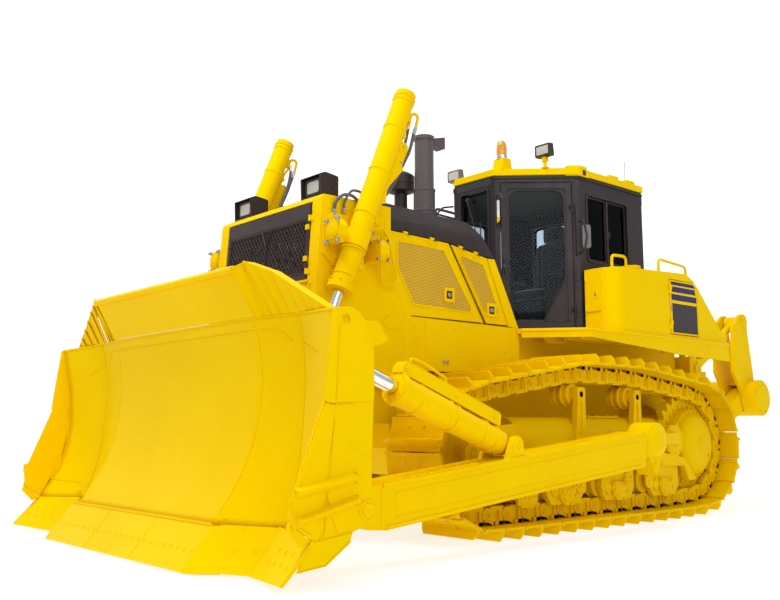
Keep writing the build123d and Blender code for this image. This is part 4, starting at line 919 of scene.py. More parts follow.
# idler yoke cover and recoil cylinder flange
py(tf, rnd([(2560, 540), (2560, 715), (2810, 715), (2900, 660), (2900, 560), (2860, 540)], 18), 1234, 1250)
for bx_, bz in ((2590, 570), (2590, 690), (2700, 570), (2700, 690), (2800, 570), (2800, 690), (2868, 600)):
    bolt(tf, (bx_, 1250, bz), (0, 1, 0), 12, 10, 1)
lathe(tf, (IDX, 1234, IDZ), (0, 1, 0), [(0, 0), (0, 100), (8, 98), (12, 90), (12, 60), (20, 56), (24, 48), (24, 0)], 32)
for i in range(8):
    t = 2 * pi * i / 8
    bolt(tf, (IDX + 78 * cos(t), 1244, IDZ + 78 * sin(t)), (0, 1, 0), 10, 8, 0)
# top cover plate of the tube, with bolts
bx(tf, 1180, 1650, 1000, 1140, 950, 962)
for x in (1210, 1330, 1500, 1620):
    for y in (1020, 1120):
        bolt(tf, (x, y, 961), (0, 0, 1), 11, 9, 1)
# carrier brackets: foot plate and clamp bolts
for x, zp in zip(CARX, CARZ):
    zc = zp - DROP - 109
    py(tf, rnd([(x - 80, 640), (x - 80, 740), (x - 40, 800), (x + 60, 800), (x + 100, 740), (x + 100, 640)], 16), 1258, 1272)
    for dx, dz in ((-58, 665), (-58, 730), (78, 665), (78, 730)):
        bolt(tf, (x + dx, 1271, dz), (0, 1, 0), 13, 11, 1)
    lathe(tf, (x, 1258, zc), (0, 1, 0), [(0, 0), (0, 50), (6, 50), (9, 44), (9, 30), (4, 26), (4, 0)], 24)
    bolt(tf, (x - 40, 1262, zc + 30), (0, 1, 0), 9, 8, 1)
    bolt(tf, (x + 40, 1262, zc + 30), (0, 1, 0), 9, 8, 1)
    # ribs down the post
    py(tf, [(x - 8, 800), (x - 8, zc - 62), (x + 8, zc - 62), (x + 8, 800)], 1262, 1276)
# octagonal foot of the trunnion shaft with its ring of round bolts
FT = (490.0, 735.0)
py(tf, rnd([(FT[0] + 148 * cos(radians(22.5 + 45 * i)), FT[1] + 148 * sin(radians(22.5 + 45 * i))) for i in range(8)], 8), 1288, 1296)
for i in range(10):
    t = 2 * pi * (i + 0.5) / 10
    dome(tf, (FT[0] + 122 * cos(t), 1296, FT[1] + 122 * sin(t)), (0, 1, 0), 14, 9)
lathe(tf, (FT[0], 1294, FT[1]), (0, 1, 0), [(0, 0), (0, 84), (5, 82), (7, 76), (7, 62), (3, 58), (3, 0)], 32)
bolt(tf, (FT[0], 1296, FT[1]), (0, 1, 0), 16, 10, 1)
# diamond plates between the caps
for x in (776, 1528):
    py(tf, [(x - 60, 330), (x, 268), (x + 60, 330), (x, 392)], 1234, 1252)
    for dx, dz in ((-36, 0), (36, 0), (0, -38), (0, 38)):
        dome(tf, (x + dx, 1252, 330 + dz), (0, 1, 0), 9, 6)
# plug plate on the tube behind the arm's ball
lathe(tf, (1000, 1234, 640), (0, 1, 0), [(0, 0), (0, 62), (5, 60), (7, 52), (7, 20), (11, 18), (11, 0)], 28)
make("track_frame_trim", tf.both(), YEL_CAST, "hull", ["track_frames"], bevel=2.0, seg=1)

# ========================================================================== blade
CENTRE_SEC = [(5387, 278), (5212, 550), (5105, 850), (5070, 1165), (5090, 1400), (5138, 1596)]
FOLD_SEC = [(5175, 278), (5075, 550), (5030, 850), (5012, 1165), (5030, 1400), (5068, 1596)]
TIP_SEC = [(5345, 281), (5183, 550), (5118, 850), (5130, 1165), (5175, 1400), (5203, 1565)]
SECS = [(0.0, CENTRE_SEC), (1035.0, CENTRE_SEC), (1490.0, FOLD_SEC), (2030.0, TIP_SEC)]
FINE = [[(p.x, p.z) for p in spline([(a, 0, b) for a, b in sec], 6)] for _, sec in SECS]


def front_at(y, z):
    """Front face of the blade: x at a given y and height."""
    y = abs(y)
    for (ya, _), (yb, _), fa, fb in zip(SECS, SECS[1:], FINE, FINE[1:]):
        if y <= yb + 1e-6 or yb == 2030.0:
            t = (y - ya) / (yb - ya)
            row = [((1 - t) * a[0] + t * b[0], (1 - t) * a[1] + t * b[1]) for a, b in zip(fa, fb)]
            for (x0, z0), (x1, z1) in zip(row, row[1:]):
                if z0 <= z <= z1:
                    return x0 + (x1 - x0) * (z - z0) / (z1 - z0)
            return row[0][0] if z < row[0][1] else row[-1][0]


def chord_at(y, z):
    y = abs(y)
    for (ya, sa), (yb, sb) in zip(SECS, SECS[1:]):
        if y <= yb + 1e-6 or yb == 2030.0:
            t = (y - ya) / (yb - ya)
            row = [((1 - t) * a[0] + t * b[0], (1 - t) * a[1] + t * b[1]) for a, b in zip(sa, sb)]
            for (x0, z0), (x1, z1) in zip(row, row[1:]):
                if z0 <= z <= z1:
                    return x0 + (x1 - x0) * (z - z0) / (z1 - z0)
            return row[0][0] if z < row[0][1] else row[-1][0]


def behind_face(c):
    """True for faces of the CAD blade that aren't its front face."""
    x, y, z = c.x * 1000 + XC, c.y * 1000, c.z * 1000
    return not (abs(x - chord_at(y, z)) < 7.0 and 270 < z < 1590 and abs(y) < 2026)


dress("moldboard", YEL, 3.0, keep=behind_face, angle=14)
skin = Piece()
strips = []
for (ya, _), (yb, _), fa, fb in zip(SECS, SECS[1:], FINE, FINE[1:]):
    strips.append((ya, yb, fa, fb))
for sg in (1, -1):
    for ya, yb, fa, fb in strips:
        n = 6
        v, f = [], []
        rows = len(fa)
        for i in range(n + 1):
            t = i / n
            for (x0, z0), (x1, z1) in zip(fa, fb):
                v.append((x0 + (x1 - x0) * t, sg * (ya + (yb - ya) * t), z0 + (z1 - z0) * t))
        for i in range(n):
            for j in range(rows - 1):
                q = (i * rows + j, i * rows + j + 1, (i + 1) * rows + j + 1, (i + 1) * rows + j)
                f.append(q if sg > 0 else tuple(reversed(q)))
        skin.add(v, f)
me = bpy.data.meshes.new("blade_face")
me.from_pydata([tuple(m(v)) for v in skin.v], [], [tuple(reversed(f)) for f in skin.f])
bm = bmesh.new(); bm.from_mesh(me)
bmesh.ops.remove_doubles(bm, verts=bm.verts, dist=1e-5)
for e in bm.edges:
    # creases run down at the folds only
    ys = [v.co.y for v in e.verts]
    if abs(ys[0] - ys[1]) < 1e-4 and min(abs(abs(ys[0]) - k) for k in (1.035, 1.490)) < 1e-3:
        e.smooth = False
for f in bm.faces:
    f.smooth = True
bm.to_mesh(me); bm.free()
me.materials.append(YEL)
face = bpy.data.objects.new("blade_face", me)
scene.collection.objects.link(face)
s = face.modifiers.new("thick", "SOLIDIFY"); s.thickness = 0.012; s.offset = -1.0
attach(face, "blade")
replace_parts(face, "moldboard")


def on_face(y, z, off=0.0):
    return Vector((front_at(y, z) + off, y, z))


def bead(P, pts, r=6.0, n=10):
    """Weld bead along the face through (y, z) points."""
    path = []
    for (y0, z0), (y1, z1) in zip(pts, pts[1:]):
        k = max(2, int(hypot(y1 - y0, z1 - z0) / 60))
        for i in range(k):
            path.append(on_face(y0 + (y1 - y0) * i / k, z0 + (z1 - z0) * i / k, 1.0))
    path.append(on_face(*pts[-1], 1.0))
    tube(P, path, r, n)


trim = Piece()
bead(trim, [(-1275, 1506), (1275, 1506)], 7)
for sg in (1, -1):
    bead(trim, [(sg * 1275, 1506), (sg * 1395, 1425)], 7)
    bead(trim, [(sg * 1500, 1402), (sg * 1700, 1335)], 7)
    bead(trim, [(sg * 1062, 1570), (sg * 1080, 1165), (sg * 1062, 700), (sg * 1040, 330)], 2.5)
    bead(trim, [(sg * 1490, 1580), (sg * 1488, 1200), (sg * 1492, 800), (sg * 1496, 330)], 3.5)
    # seam where the wing meets the end plate, and the bead over the corner bit
    bead(trim, [(sg * 2024, 1540), (sg * 2024, 1165), (sg * 2024, 800), (sg * 2024, 420)], 6)
    bead(trim, [(sg * 2020, 420), (sg * 1600, 405)], 5)
    # small lug under the inner end of the corner bit
    lx = front_at(1560, 330)
    bx(trim, lx - 10, lx + 16, *sorted((sg * 1540, sg * 1650)), 318, 332)
# bead along the joint of face and edges
tube(trim, [(CENTRE_SEC[0][0] + 2, y, 281) for y in range(-1035, 1036, 90)], 7)
make("blade_welds", trim, YEL, "blade", ["moldboard"], bevel=0)

# upper edge strip of the blade, a flange over the back
top = Piece()
for sg in (1, -1):
    for (ya, sa), (yb, sb) in zip(SECS, SECS[1:]):
        a0, b0 = Vector((sa[-1][0] + 3, sg * ya, sa[-1][1] + 1)), Vector((sb[-1][0] + 3, sg * yb, sb[-1][1] + 1))
        q = [a0, b0, b0 + Vector((-40, 0, 0)), a0 + Vector((-40, 0, 0))]
        top.add(*prism(q, (0, 0, -1), 14))
make("blade_top_strip", top, YEL, "blade", ["moldboard"], bevel=2)

# end plates: upper plate with the lifting hole, lower wear plates, ribs and pin boss
ends = Piece()
base = dedupe(rnd([(5212, 1562), (5089, 1577), (5003, 1534), (4914, 1373), (4908, 1046), (4922, 710), (4922, 505), (4895, 450), (4893, 385), (4925, 335),
                   (5060, 289), (5079, 235), (5256, 120), (5440, 100), (5350, 268), (5473, 356), (5490, 480), (5272, 1030)],
                  [4, 60, 90, 120, 40, 30, 40, 60, 60, 40, 12, 12, 20, 8, 6, 8, 60, 16]))
up = dedupe(rnd([(5210, 1560), (5089, 1575), (5005, 1533), (4918, 1373), (4912, 1030), (5203, 1018), (5268, 1030)], [6, 60, 90, 120, 34, 4, 8]))
for nm, outline, ya, yb in (("end_plate", base, 2030, 2041), ("end_plate_upper", up, 2041, 2052)):
    for sd, sg in (("left", 1), ("right", -1)):
        Q = Piece()
        py(Q, outline, *sorted((sg * ya, sg * yb)))
        H = Piece()
        cyl(H, (5128, sg * 2000, 1500), (5128, sg * 2100, 1500), 30, 32)
        o = cut(make("blade_%s_%s" % (nm, sd), Q, YEL, None), H)
        o.data.polygons.foreach_set("use_smooth", [True] * len(o.data.polygons))
        o.data.set_sharp_from_angle(angle=radians(30))
        bv = o.modifiers.new("edge", "BEVEL")
        bv.width, bv.segments, bv.limit_method, bv.angle_limit = 0.0025, 2, "ANGLE", radians(40)
        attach(o, "blade")
        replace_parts(o, "blade_end_plates")
py(ends, [(5276, 1034), (5212, 1560), (5190, 1560), (5206, 1012), (5262, 1018)], 2050, 2060)
# front wear plate with a chamfered face, then a thin doubler at the rear
py(ends, dedupe(rnd([(5262, 1016), (5486, 484), (5470, 362), (5345, 300), (5290, 420), (5196, 1002)], 6)), 2041, 2054)
py(ends, dedupe(rnd([(5066, 1012), (5196, 1006), (5262, 560), (5180, 300), (5076, 300), (4940, 345), (4925, 505), (4930, 706), (5086, 760)], [6, 6, 10, 10, 10, 40, 30, 16, 30])), 2041, 2047)
# seam that runs down the plate
tube(ends, [(5170, 2053, 1470), (5196, 2053, 1010), (5236, 2048, 560), (5262, 2046, 300), (5292, 2044, 262)], 4)
# lower corner bracket behind the corner bit
py(ends, [(5352, 262), (5448, 104), (5256, 124), (5082, 238), (5070, 290), (5290, 262)], 2041, 2048)
tube(ends, [(5352, 2049, 262), (5440, 2049, 108), (5256, 2049, 126), (5084, 2049, 240)], 5)


def wedge(lo, tp, d=44):
    y0 = 2040
    v, f = [], []
    for (x, z), (tx, tz), e in ((lo[0], tp[0], 0), (lo[1], tp[1], 0)):
        v += [(x, y0, z), (x, y0, tz), (x, y0 + 12 + d, tz - 22), (x, y0 + 12 + d, tz - 36)]
    f = [(0, 1, 2, 3), (7, 6, 5, 4)] + [(i, (i + 1) % 4, 4 + (i + 1) % 4, 4 + i) for i in range(4)]
    ends.add(v, f)


wedge([(5062, 555), (5472, 478)], [(5062, 625), (5472, 558)])
wedge([(5050, 436), (5464, 330)], [(5050, 498), (5464, 402)])
# little turned-in ends of the ribs
for x, z0, z1 in ((5040, 560, 624), (5478, 484, 556), (5032, 440, 496), (5470, 336, 400)):
    py(ends, [(x - 10, z0 + 12), (x - 10, z1 - 12), (x + 10, z1), (x + 10, z0)], 2040, 2064)
lathe(ends, (4958, 2040, 405), (0, 1, 0), [(0, 0), (0, 62), (14, 62), (18, 58), (18, 50), (15, 48), (15, 42), (22, 40), (26, 34), (26, 14), (23, 12), (23, 0)], 36)
cyl(ends, (5452, 2052, 392), (5452, 2066, 384), 11, 14, chamfer=2)
py(ends, [(5350, 262), (5470, 350), (5488, 372), (5500, 330), (5410, 238)], 2012, 2040)
make("blade_end_details", ends.both(), YEL, "blade", ["blade_end_plates"], bevel=2.5, seg=2)

cv = Piece()
for sg in (1, -1):
    t_ = [(5010, 1548), (4632, 1548), (4560, 1436), (4572, 1428), (4640, 1534), (5010, 1534)]
    py(cv, t_, *sorted((sg * 1520, sg * 1752)))
    py(cv, [(5000, 1534), (4647, 1546), (4546, 1433), (4659, 1382), (4713, 1417), (5000, 1470)], *sorted((sg * 1740, sg * 1756)))
    for x in (4700, 4860):
        dome(cv, (x, sg * 1700, 1548), (0, 0, 1), 13, 8)
    bx(cv, 5326, 5338, *sorted((sg * 850, sg * 1120)), 200, 316)
make("blade_rear_covers", cv, YEL, "blade", ["moldboard"], bevel=2)

# cutting edges: own mesh from the CAD with bolts, joints between strips
dress("cutting_edges", YEL, 4, angle=20)
eb = Piece()
dirs = Vector((-213.0 / 335.6, 0, 260.0 / 335.6))
nrm = Vector((dirs.z, 0, -dirs.x))
tip = Vector((5626, 0, 18))


def edge_pt(y, s, tx=None):
    return Vector((tip.x if tx is None else tx, y, tip.z)) + dirs * s


for i in range(24):
    y = -1058 + 92 * i
    plow(eb, edge_pt(y, 150) + nrm * 1.0, nrm, 15)
for y in (-365, 365):
    tube(eb, [edge_pt(y, 4) + nrm * 0.8, edge_pt(y, 330) + nrm * 0.8], 2.6, 6)
tube(eb, [edge_pt(-1095, 335) + nrm * 2, edge_pt(1095, 335) + nrm * 2], 6, 8)
# swept strips beside the centre: three large flush bolts each; corner bits: two rows
for sg in (1, -1):
    a0, b0 = Vector((5571, sg * 1100, 20)), Vector((5401, sg * 1500, 20))
    run = (b0 - a0).normalized()
    n2 = dirs.cross(run).normalized()
    if n2.x < 0:
        n2 = -n2
    for t in (0.2, 0.52, 0.84):
        plow(eb, a0.lerp(b0, t) + dirs * 165 + n2 * 1.0, n2, 22)
    p0, p1 = Vector((5404, sg * 1503, 20)), Vector((5560, sg * 2052, 48))
    q0, q1 = Vector((5191, sg * 1503, 286)), Vector((5348, sg * 2052, 268))
    n3 = (q0 - p0).cross(p1 - p0).normalized()
    if n3.x < 0:
        n3 = -n3
    for u_, s_ in ((0.38, 0.62), (0.58, 0.62), (0.78, 0.62), (0.30, 0.36), (0.48, 0.36), (0.66, 0.36), (0.84, 0.36)):
        c = p0.lerp(p1, u_).lerp(q0.lerp(q1, u_), s_)
        plow(eb, c + n3 * 1.0, n3, 17)
    tube(eb, [p0 + n3 * 0.5, q0 + n3 * 0.5], 3, 6)
fl = Piece()
for sg in (1, -1):
    def sec(y, tx, tz=18, t=31, w=334):
        p = Vector((tx, sg * y, tz))
        up_ = Vector((dirs.z, 0, -dirs.x))
        return [p, p + dirs * w, p + dirs * w - up_ * t, p - up_ * t * 0.9 + Vector((0, 0, 8))]
    rows = [sec(1094, 5625.5), sec(1110, 5624), sec(1200, 5570), sec(1290, 5492, 20)]
    v = [q for r_ in rows for q in r_]
    f = [(0, 1, 2, 3), tuple(reversed(range(len(v) - 4, len(v))))]
    for k in range(len(rows) - 1):
        for j in range(4):
            f.append((k * 4 + j, k * 4 + (j + 1) % 4, k * 4 + 4 + (j + 1) % 4, k * 4 + 4 + j))
    fl.add(v, f)
make("edge_joint_plates", fl, YEL, "blade", ["cutting_edges"], bevel=1.5, angle=20)
make("edge_bolts", eb, YEL, "blade", ["cutting_edges"])

# spill guard: centre plate with its rolled lip, overlapping slats, wide band
sp = Piece()
py(sp, [(5139, 1598), (5125, 1604), (5298, 1902), (5314, 1893)], -1083, 1083)
lathe(sp, (5312, -1088, 1892), (0, 1, 0), [(0, 0), (0, 24), (4, 28), (2172, 28), (2176, 24), (2176, 0)], 24)
for sg in (1, -1):
    T = [(5305, 1085, 1898), (5262, 1180, 1932), (5205, 1400, 1850), (5155, 1630, 1715), (5112, 1849, 1590)]
    B = [(5116, 1100, 1590), (5090, 1250, 1592), (5065, 1420, 1592), (5080, 1640, 1586), (5122, 1815, 1576)]

    def along_path(P_, t):
        k = t * (len(P_) - 1)
        i = min(int(k), len(P_) - 2)
        a, b_ = Vector(P_[i]), Vector(P_[i + 1])
        q = a.lerp(b_, k - i)
        return Vector((q.x, q.y * sg, q.z))

    # slats, each turned a little so its near edge laps over the next
    N = 8
    for i in range(N):
        t0, t1 = i / N, (i + 1.25) / N
        if i == 1 and sg == 1:
            t0 += 0.02
        t1 = min(1.0, t1)
        a, b_, c, e = along_path(T, t0), along_path(T, t1), along_path(B, t1), along_path(B, t0)
        lift = Vector((30, 0, 10))
        a, e = a + lift, e + lift * 0.7
        if i == 1 and sg == 1:
            a = along_path(T, 0.235) + lift       # the slit that can be seen through
        q = [a, b_, c, e]
        sp.add(*prism(q, (-1, 0, 0), 7))
        tube(sp, [a, e], 4.5, 8)
    if sg == -1:
        # closing sheet behind the first slats of this side
        for k in range(4):
            q = [along_path(T, k * 0.1), along_path(T, k * 0.1 + 0.1), along_path(B, k * 0.1 + 0.1), along_path(B, k * 0.1)]
            sp.add(*prism([c_ + Vector((-16, 6, -6)) for c_ in q], (-1, 0, 0), 6))
    # band over the slats
    pts = [along_path(T, k / 24) for k in range(25)]
    pts = [Vector((5306, sg * 1070, 1886))] + pts + [Vector((5102, sg * 1862, 1572))]
    v, f = [], []
    for k, q in enumerate(pts):
        v += [q + Vector((20, 0, -2)), q + Vector((20, 0, 8)), q + Vector((-56, 0, 8)), q + Vector((-56, 0, -2))]
        if k:
            o_ = (k - 1) * 4
            for j in range(4):
                f.append((o_ + j, o_ + (j + 1) % 4, o_ + 4 + (j + 1) % 4, o_ + 4 + j))
    f += [(0, 1, 2, 3), tuple(range(len(v) - 1, len(v) - 5, -1))]
    sp.add(v, f)
    # stiffening gusset behind the plate
    for y in (300, 700, 1040):
        py(sp, [(5100, 1610), (5114, 1606), (5288, 1896), (5250, 1860), (5112, 1660)], *sorted((sg * y, sg * (y + 14))))
make("spill_guard_plates", sp, YEL, "blade", ["spill_guard"], bevel=2.5, seg=1)

# ======================================================================= push arms
BODY = lambda n: NODES[n]["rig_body"]
dress("push_arms", YEL, 9, seg=3)
pa = Piece()
for sg in (1, -1):
    Y = lambda a, b: sorted((sg * a, sg * b))
    # top lip along the outer side, and the ridge of the recessed panel
    ux, uz = (4560 - 1700), (480 - 800)
    top = lambda x: 822 + (x - 1700) * (522 - 822) / (4600 - 1700)
    low = lambda x: 534 - (x - 1690) * 0.1 if x < 2330 else 470 + (x - 2330) * (236 - 470) / (4560 - 2330)
    py(pa, [(1715, top(1715) + 1), (4590, top(4590) + 1), (4590, top(4590) - 24), (1715, top(1715) - 24)], *Y(1750, 1760))
    py(pa, [(1760, low(1760) + 26), (2330, 496), (4560, 262), (4560, 240), (2330, 474), (1760, low(1760) + 4)], *Y(1750, 1757))
    tube(pa, [(1780, sg * 1750, top(1780) - 70), (4480, sg * 1750, top(4480) - 70)], 5, 8)
    tube(pa, [(1780, sg * 1750, low(1780) + 70), (2330, sg * 1750, 545), (4480, sg * 1750, low(4480) + 68)], 5, 8)
    tube(pa, [(4480, sg * 1750, top(4480) - 70), (4480, sg * 1750, low(4480) + 68)], 5, 8)
    # joint of the cast end with its weld, and the eye's face ring
    tube(pa, [(4600, sg * 1750, 245), (4600, sg * 1750, 520)], 6, 8)
    lathe(pa, (4934, sg * 1748, 405), (0, sg, 0), [(0, 58), (0, 96), (9, 92), (9, 62)], 36, closed=True)
    # serrated step on the front top edge
    for k in range(9):
        x = 3700 + k * 70
        py(pa, [(x, top(x) - 2), (x + 22, top(x) + 14), (x + 44, top(x) + 14), (x + 66, top(x + 66) - 2)], *Y(1690, 1748))
    # ball cap clamp at the trunnion, with two and two bolts
    lathe(pa, (1432, sg * 1700, 756), (0, sg, 0), [(0, 0), (0, 140), (6, 136), (14, 118), (24, 92), (28, 64), (28, 0)], 40)
    for x, z in ((1405, 880), (1500, 868), (1360, 632), (1540, 632)):
        pass
    for x, z in ((1620, 770), (1620, 660), (1665, 770), (1665, 660)):
        bolt(pa, (x, sg * 1705, z), (0, sg, 0), 16, 13, 1)
    # hanging lug bolt and the split line of the clamp
    bolt(pa, (1440, sg * 1690, 545), (0, sg, 0), 26, 18, 1)
    tube(pa, [(1585, sg * 1705.5, 812), (1585, sg * 1705.5, 608)], 3.5, 6)
    # pitch cylinder ears: ringed pin heads, retainer bolt
    for yy, d_ in ((1750, 1), (1460, -1)):
        lathe(pa, (3310, sg * (yy - 2 * d_), 736), (0, sg * d_, 0), [(0, 0), (0, 62), (8, 60), (10, 52), (10, 44), (16, 42), (16, 26), (12, 24), (12, 0)], 32)
    bolt(pa, (3392, sg * 1750, 700), (0, sg, 0), 13, 10, 1)
    # weld beads round the ears' feet
    tube(pa, [(3215, sg * 1751, top(3215)), (3465, sg * 1751, top(3465))], 7, 8)
    # grease fitting and small plate on top
    bx(pa, 2300, 2420, *Y(1580, 1640), top(2360) - 6, top(2360) + 10)
    bolt(pa, (2330, sg * 1610, top(2330) + 8), (0, 0, 1), 10, 8, 1)
    bolt(pa, (2390, sg * 1610, top(2390) + 8), (0, 0, 1), 10, 8, 1)
make("push_arm_trim", pa, YEL, BODY("push_arms"), ["push_arms"], bevel=2.0, seg=2)


def axis_frame(P0, P1):
    a, b = Vector((P0[0], 0, P0[1])), Vector((P1[0], 0, P1[1]))
    e = (b - a).normalized()
    n = Vector((-e.z, 0, e.x))          # to the side: up for the pitch cylinder
    return a, e, n


# ================================================================= pitch cylinders
dress("pitch_barrels", YEL, 5, seg=2)
dress("pitch_rods", CHROME, 2)
A_, E_, N_ = axis_frame((3310, 736), (4855, 1318))
pp = Piece()
ps = Piece()
for sg in (1, -1):
    P = lambda s, n=0.0, dy=0.0: A_ + E_ * s + N_ * n + Vector((0, sg * (1605 + dy), 0))
    # step rings and the bolted gland
    for s0, w_, rr in ((150, 18, 108), (300, 12, 100), (636, 16, 110), (930, 14, 111)):
        lathe(pp, P(s0), E_, [(0, 80), (0, rr - 3), (3, rr), (w_ - 3, rr), (w_, rr - 3), (w_, 80)], 36, closed=True)
    lathe(pp, P(1084), E_, [(0, 60), (0, 112), (4, 116), (44, 116), (48, 112), (48, 92), (56, 88), (60, 78), (60, 56)], 40, closed=True)
    for i in range(10):
        t = 2 * pi * i / 10 + 0.2
        d2 = N_ * cos(t) + Vector((0, 1, 0)) * sin(t)
        bolt(pp, P(1131) + d2 * 101, E_, 11, 11, 0)
    # guard bar over the barrel: raised rim, round bolt at the front, bent handle
    for dy in (-47, 43):
        py_pts = [(150, 192), (1128, 192), (1128, 199), (150, 199)]
        v = [P(s, n, dy) for s, n in py_pts] + [P(s, n, dy + 5) for s, n in py_pts]
        pp.add(v, [(0, 1, 2, 3), (7, 6, 5, 4), (0, 4, 5, 1), (1, 5, 6, 2), (2, 6, 7, 3), (3, 7, 4, 0)])
    bolt(pp, P(1105, 150, 50), (0, sg, 0), 24, 14, 1)
    bolt(pp, P(200, 150, 50), (0, sg, 0), 16, 11, 1)
    bolt(pp, P(620, 150, 50), (0, sg, 0), 16, 11, 1)
    h_ = [P(1040, 190, -10), P(1060, 250, -10), P(930, 262, -10), P(700, 246, -10), P(680, 190, -10)]
    tube(pp, fillet_path(h_, 40), 10, 12)
    # hydraulic tubes along the inner side of the bar
    tube(pp, fillet_path([P(110, 90, -70), P(240, 112, -78), P(1010, 112, -78), P(1040, 96, -60)], 50), 12, 12)
    tube(ps, [P(176, 98, -74), P(206, 106, -76)], 16, 6)
    # bands that hold the bar
    for s0 in (260, 560, 860, 1060):
        lathe(pp, P(s0), E_, [(0, 84), (0, 104), (2, 106), (26, 106), (28, 104), (28, 84)], 36, closed=True)
make("pitch_barrel_trim", pp, YEL, BODY("pitch_barrels"), ["pitch_barrels"], bevel=1.5, seg=1)
make("pitch_tube_fittings", ps, STEEL, BODY("pitch_barrels"), ["pitch_barrels"], bevel=1)
pq = Piece()
for sg in (1, -1):
    for d_ in (1, -1):
        lathe(pq, (4855, sg * 1605 + d_ * 49, 1318), (0, d_, 0), [(0, 38), (0, 58), (3, 56), (3, 40)], 30, closed=True)
make("pitch_rod_eyes", pq, YEL, BODY("pitch_rods"), ["pitch_rods"], bevel=0.8)
# pins of the blade's ears, with keeper bolts
bp = Piece()
for sg in (1, -1):
    for y_, d_ in ((1705, 1), (1505, -1)):
        lathe(bp, (4855, sg * y_ - 2 * d_ * sg, 1318), (0, d_ * sg, 0), [(0, 0), (0, 52), (8, 50), (10, 44), (10, 30), (7, 28), (7, 0)], 30)
        bolt(bp, (4915, sg * y_, 1350), (0, d_ * sg, 0), 12, 9, 1)
    for y_, d_ in ((964, 1), (780, -1)):
        lathe(bp, (4727, sg * y_ - 2 * d_ * sg, 747), (0, d_ * sg, 0), [(0, 0), (0, 60), (8, 58), (10, 50), (10, 34), (7, 32), (7, 0)], 30)
        bolt(bp, (4800, sg * y_, 760), (0, d_ * sg, 0), 13, 10, 1)
make("blade_pin_caps", bp, YEL, "blade", ["moldboard"], bevel=1)

# ================================================================== lift cylinders
dress("lift_barrels", YEL, 4)
dress("lift_rods", CHROME, 2)
LA, LE_, LN = axis_frame((4118, 2281), (4727, 747))
# LN points to the side with positive x; the rear side is -LN
lb, ls, lh = Piece(), Piece(), Piece()
for sg in (1, -1):
    P = lambda s, n=0.0, dy=0.0: LA + LE_ * s - LN * n + Vector((0, sg * (872 + dy), 0))
    # cap and rings at the top, bands, trunnion ring, gland
    for s0, w_, rr in ((-1389, 16, 82), (-1352, 14, 92), (-1310, 14, 92), (-1050, 22, 91), (-640, 22, 91), (-240, 18, 94), (84, 12, 104), (300, 14, 93)):
        lathe(lb, P(s0), LE_, [(0, 60), (0, rr - 3), (3, rr), (w_ - 3, rr), (w_, rr - 3), (w_, 60)], 36, closed=True)
    for i in range(8):
        t = 2 * pi * i / 8
        d2 = LN * cos(t) + Vector((0, 1, 0)) * sin(t)
        bolt(lb, P(368) + d2 * 99.5, d2, 10, 7, 0)
    lathe(lb, P(424), LE_, [(0, 56), (0, 92), (6, 88), (10, 74), (10, 56)], 36, closed=True)
    # port block at the gland and at the top
    for s0 in (330, -1250):
        c = [P(s0, 80, -26), P(s0 + 70, 80, -26), P(s0 + 70, 80, 26), P(s0, 80, 26)]
        lb.add(c + [q - LN * 34 for q in c], [(0, 1, 2, 3), (7, 6, 5, 4), (0, 4, 5, 1), (1, 5, 6, 2), (2, 6, 7, 3), (3, 7, 4, 0)])
    # thin tube down the rear side to the gland
    tube(lb, fillet_path([P(-1215, 112, 0), P(-1190, 128, 0), P(-1100, 104, 0), P(330, 106, 0), P(350, 100, 0)], 40), 11, 12)
    # clamps that hold the tube
    for s0 in (-1040, -630, -230, 180):
        c = [P(s0 - 16, 84, -22), P(s0 + 16, 84, -22), P(s0 + 16, 84, 22), P(s0 - 16, 84, 22)]
        lb.add(c + [q - LN * 36 for q in c], [(0, 1, 2, 3), (7, 6, 5, 4), (0, 4, 5, 1), (1, 5, 6, 2), (2, 6, 7, 3), (3, 7, 4, 0)])
        bolt(lb, P(s0, 119, 0), -LN, 9, 7, 0)
    # flat bent bracket with holes behind the barrel
    strip = [(3602, 3160), (3584, 3132), (3620, 2968), (3655, 2912), (3782, 2772), (3812, 2730), (3822, 2622), (3862, 2612)]
    back_ = [(3694, 3162), (3700, 3136), (3722, 3010), (3752, 2970), (3872, 2838), (3908, 2770), (3908, 2660), (3908, 2640)]
    for i in range(len(strip) - 1):
        a, b_, c_, d_ = strip[i], strip[i + 1], back_[i + 1], back_[i]
        py(lb, [a, b_, c_, d_], *sorted((sg * 868, sg * 876)))
    for x, z in ((3634, 3120), (3662, 2985), (3850, 2660)):
        lathe(ls, (x, sg * 876, z), (0, sg, 0), [(0, 0), (0, 11), (3, 10), (3, 0)], 14)
    for x, z, X, Z in ((3655, 3140, 3740, 3140), (3850, 2650, 3930, 2665)):
        tube(lb, [(x, sg * 872, z), (X, sg * 872, Z)], 12, 8)
    # elbow at the top, with two hoses that run down behind
    el = [P(-1245, 90, 0), P(-1300, 150, 0), P(-1290, 185, 0), P(-1190, 196, 0)]
    tube(lb, fillet_path(el, 40), 13, 12)
    a = P(-1190, 196, 0)
    tube(ls, [a, P(-1120, 198, 0)], 17, 6)
    hose1 = spline([P(-1130, 197, 0), P(-950, 204, 6), P(-760, 186, -14), Vector((3640, sg * 850, 2935)), Vector((3745, sg * 815, 2740)), Vector((3890, sg * 768, 2560)), Vector((3930, sg * 764, 2470))], 8)
    tube(lh, hose1, 14, 12)
    b0 = P(-1215, 118, -22)
    tube(ls, [b0, P(-1150, 150, -26)], 15, 6)
    hose2 = spline([P(-1165, 144, -26), P(-1000, 168, -34), P(-800, 158, -48), P(-640, 128, -84), P(-500, 104, -104), P(-390, 66, -108)], 8)
    tube(lh, hose2, 12.5, 12)
make("lift_barrel_trim", lb, YEL, BODY("lift_barrels"), ["lift_barrels"], bevel=1.2, seg=1)
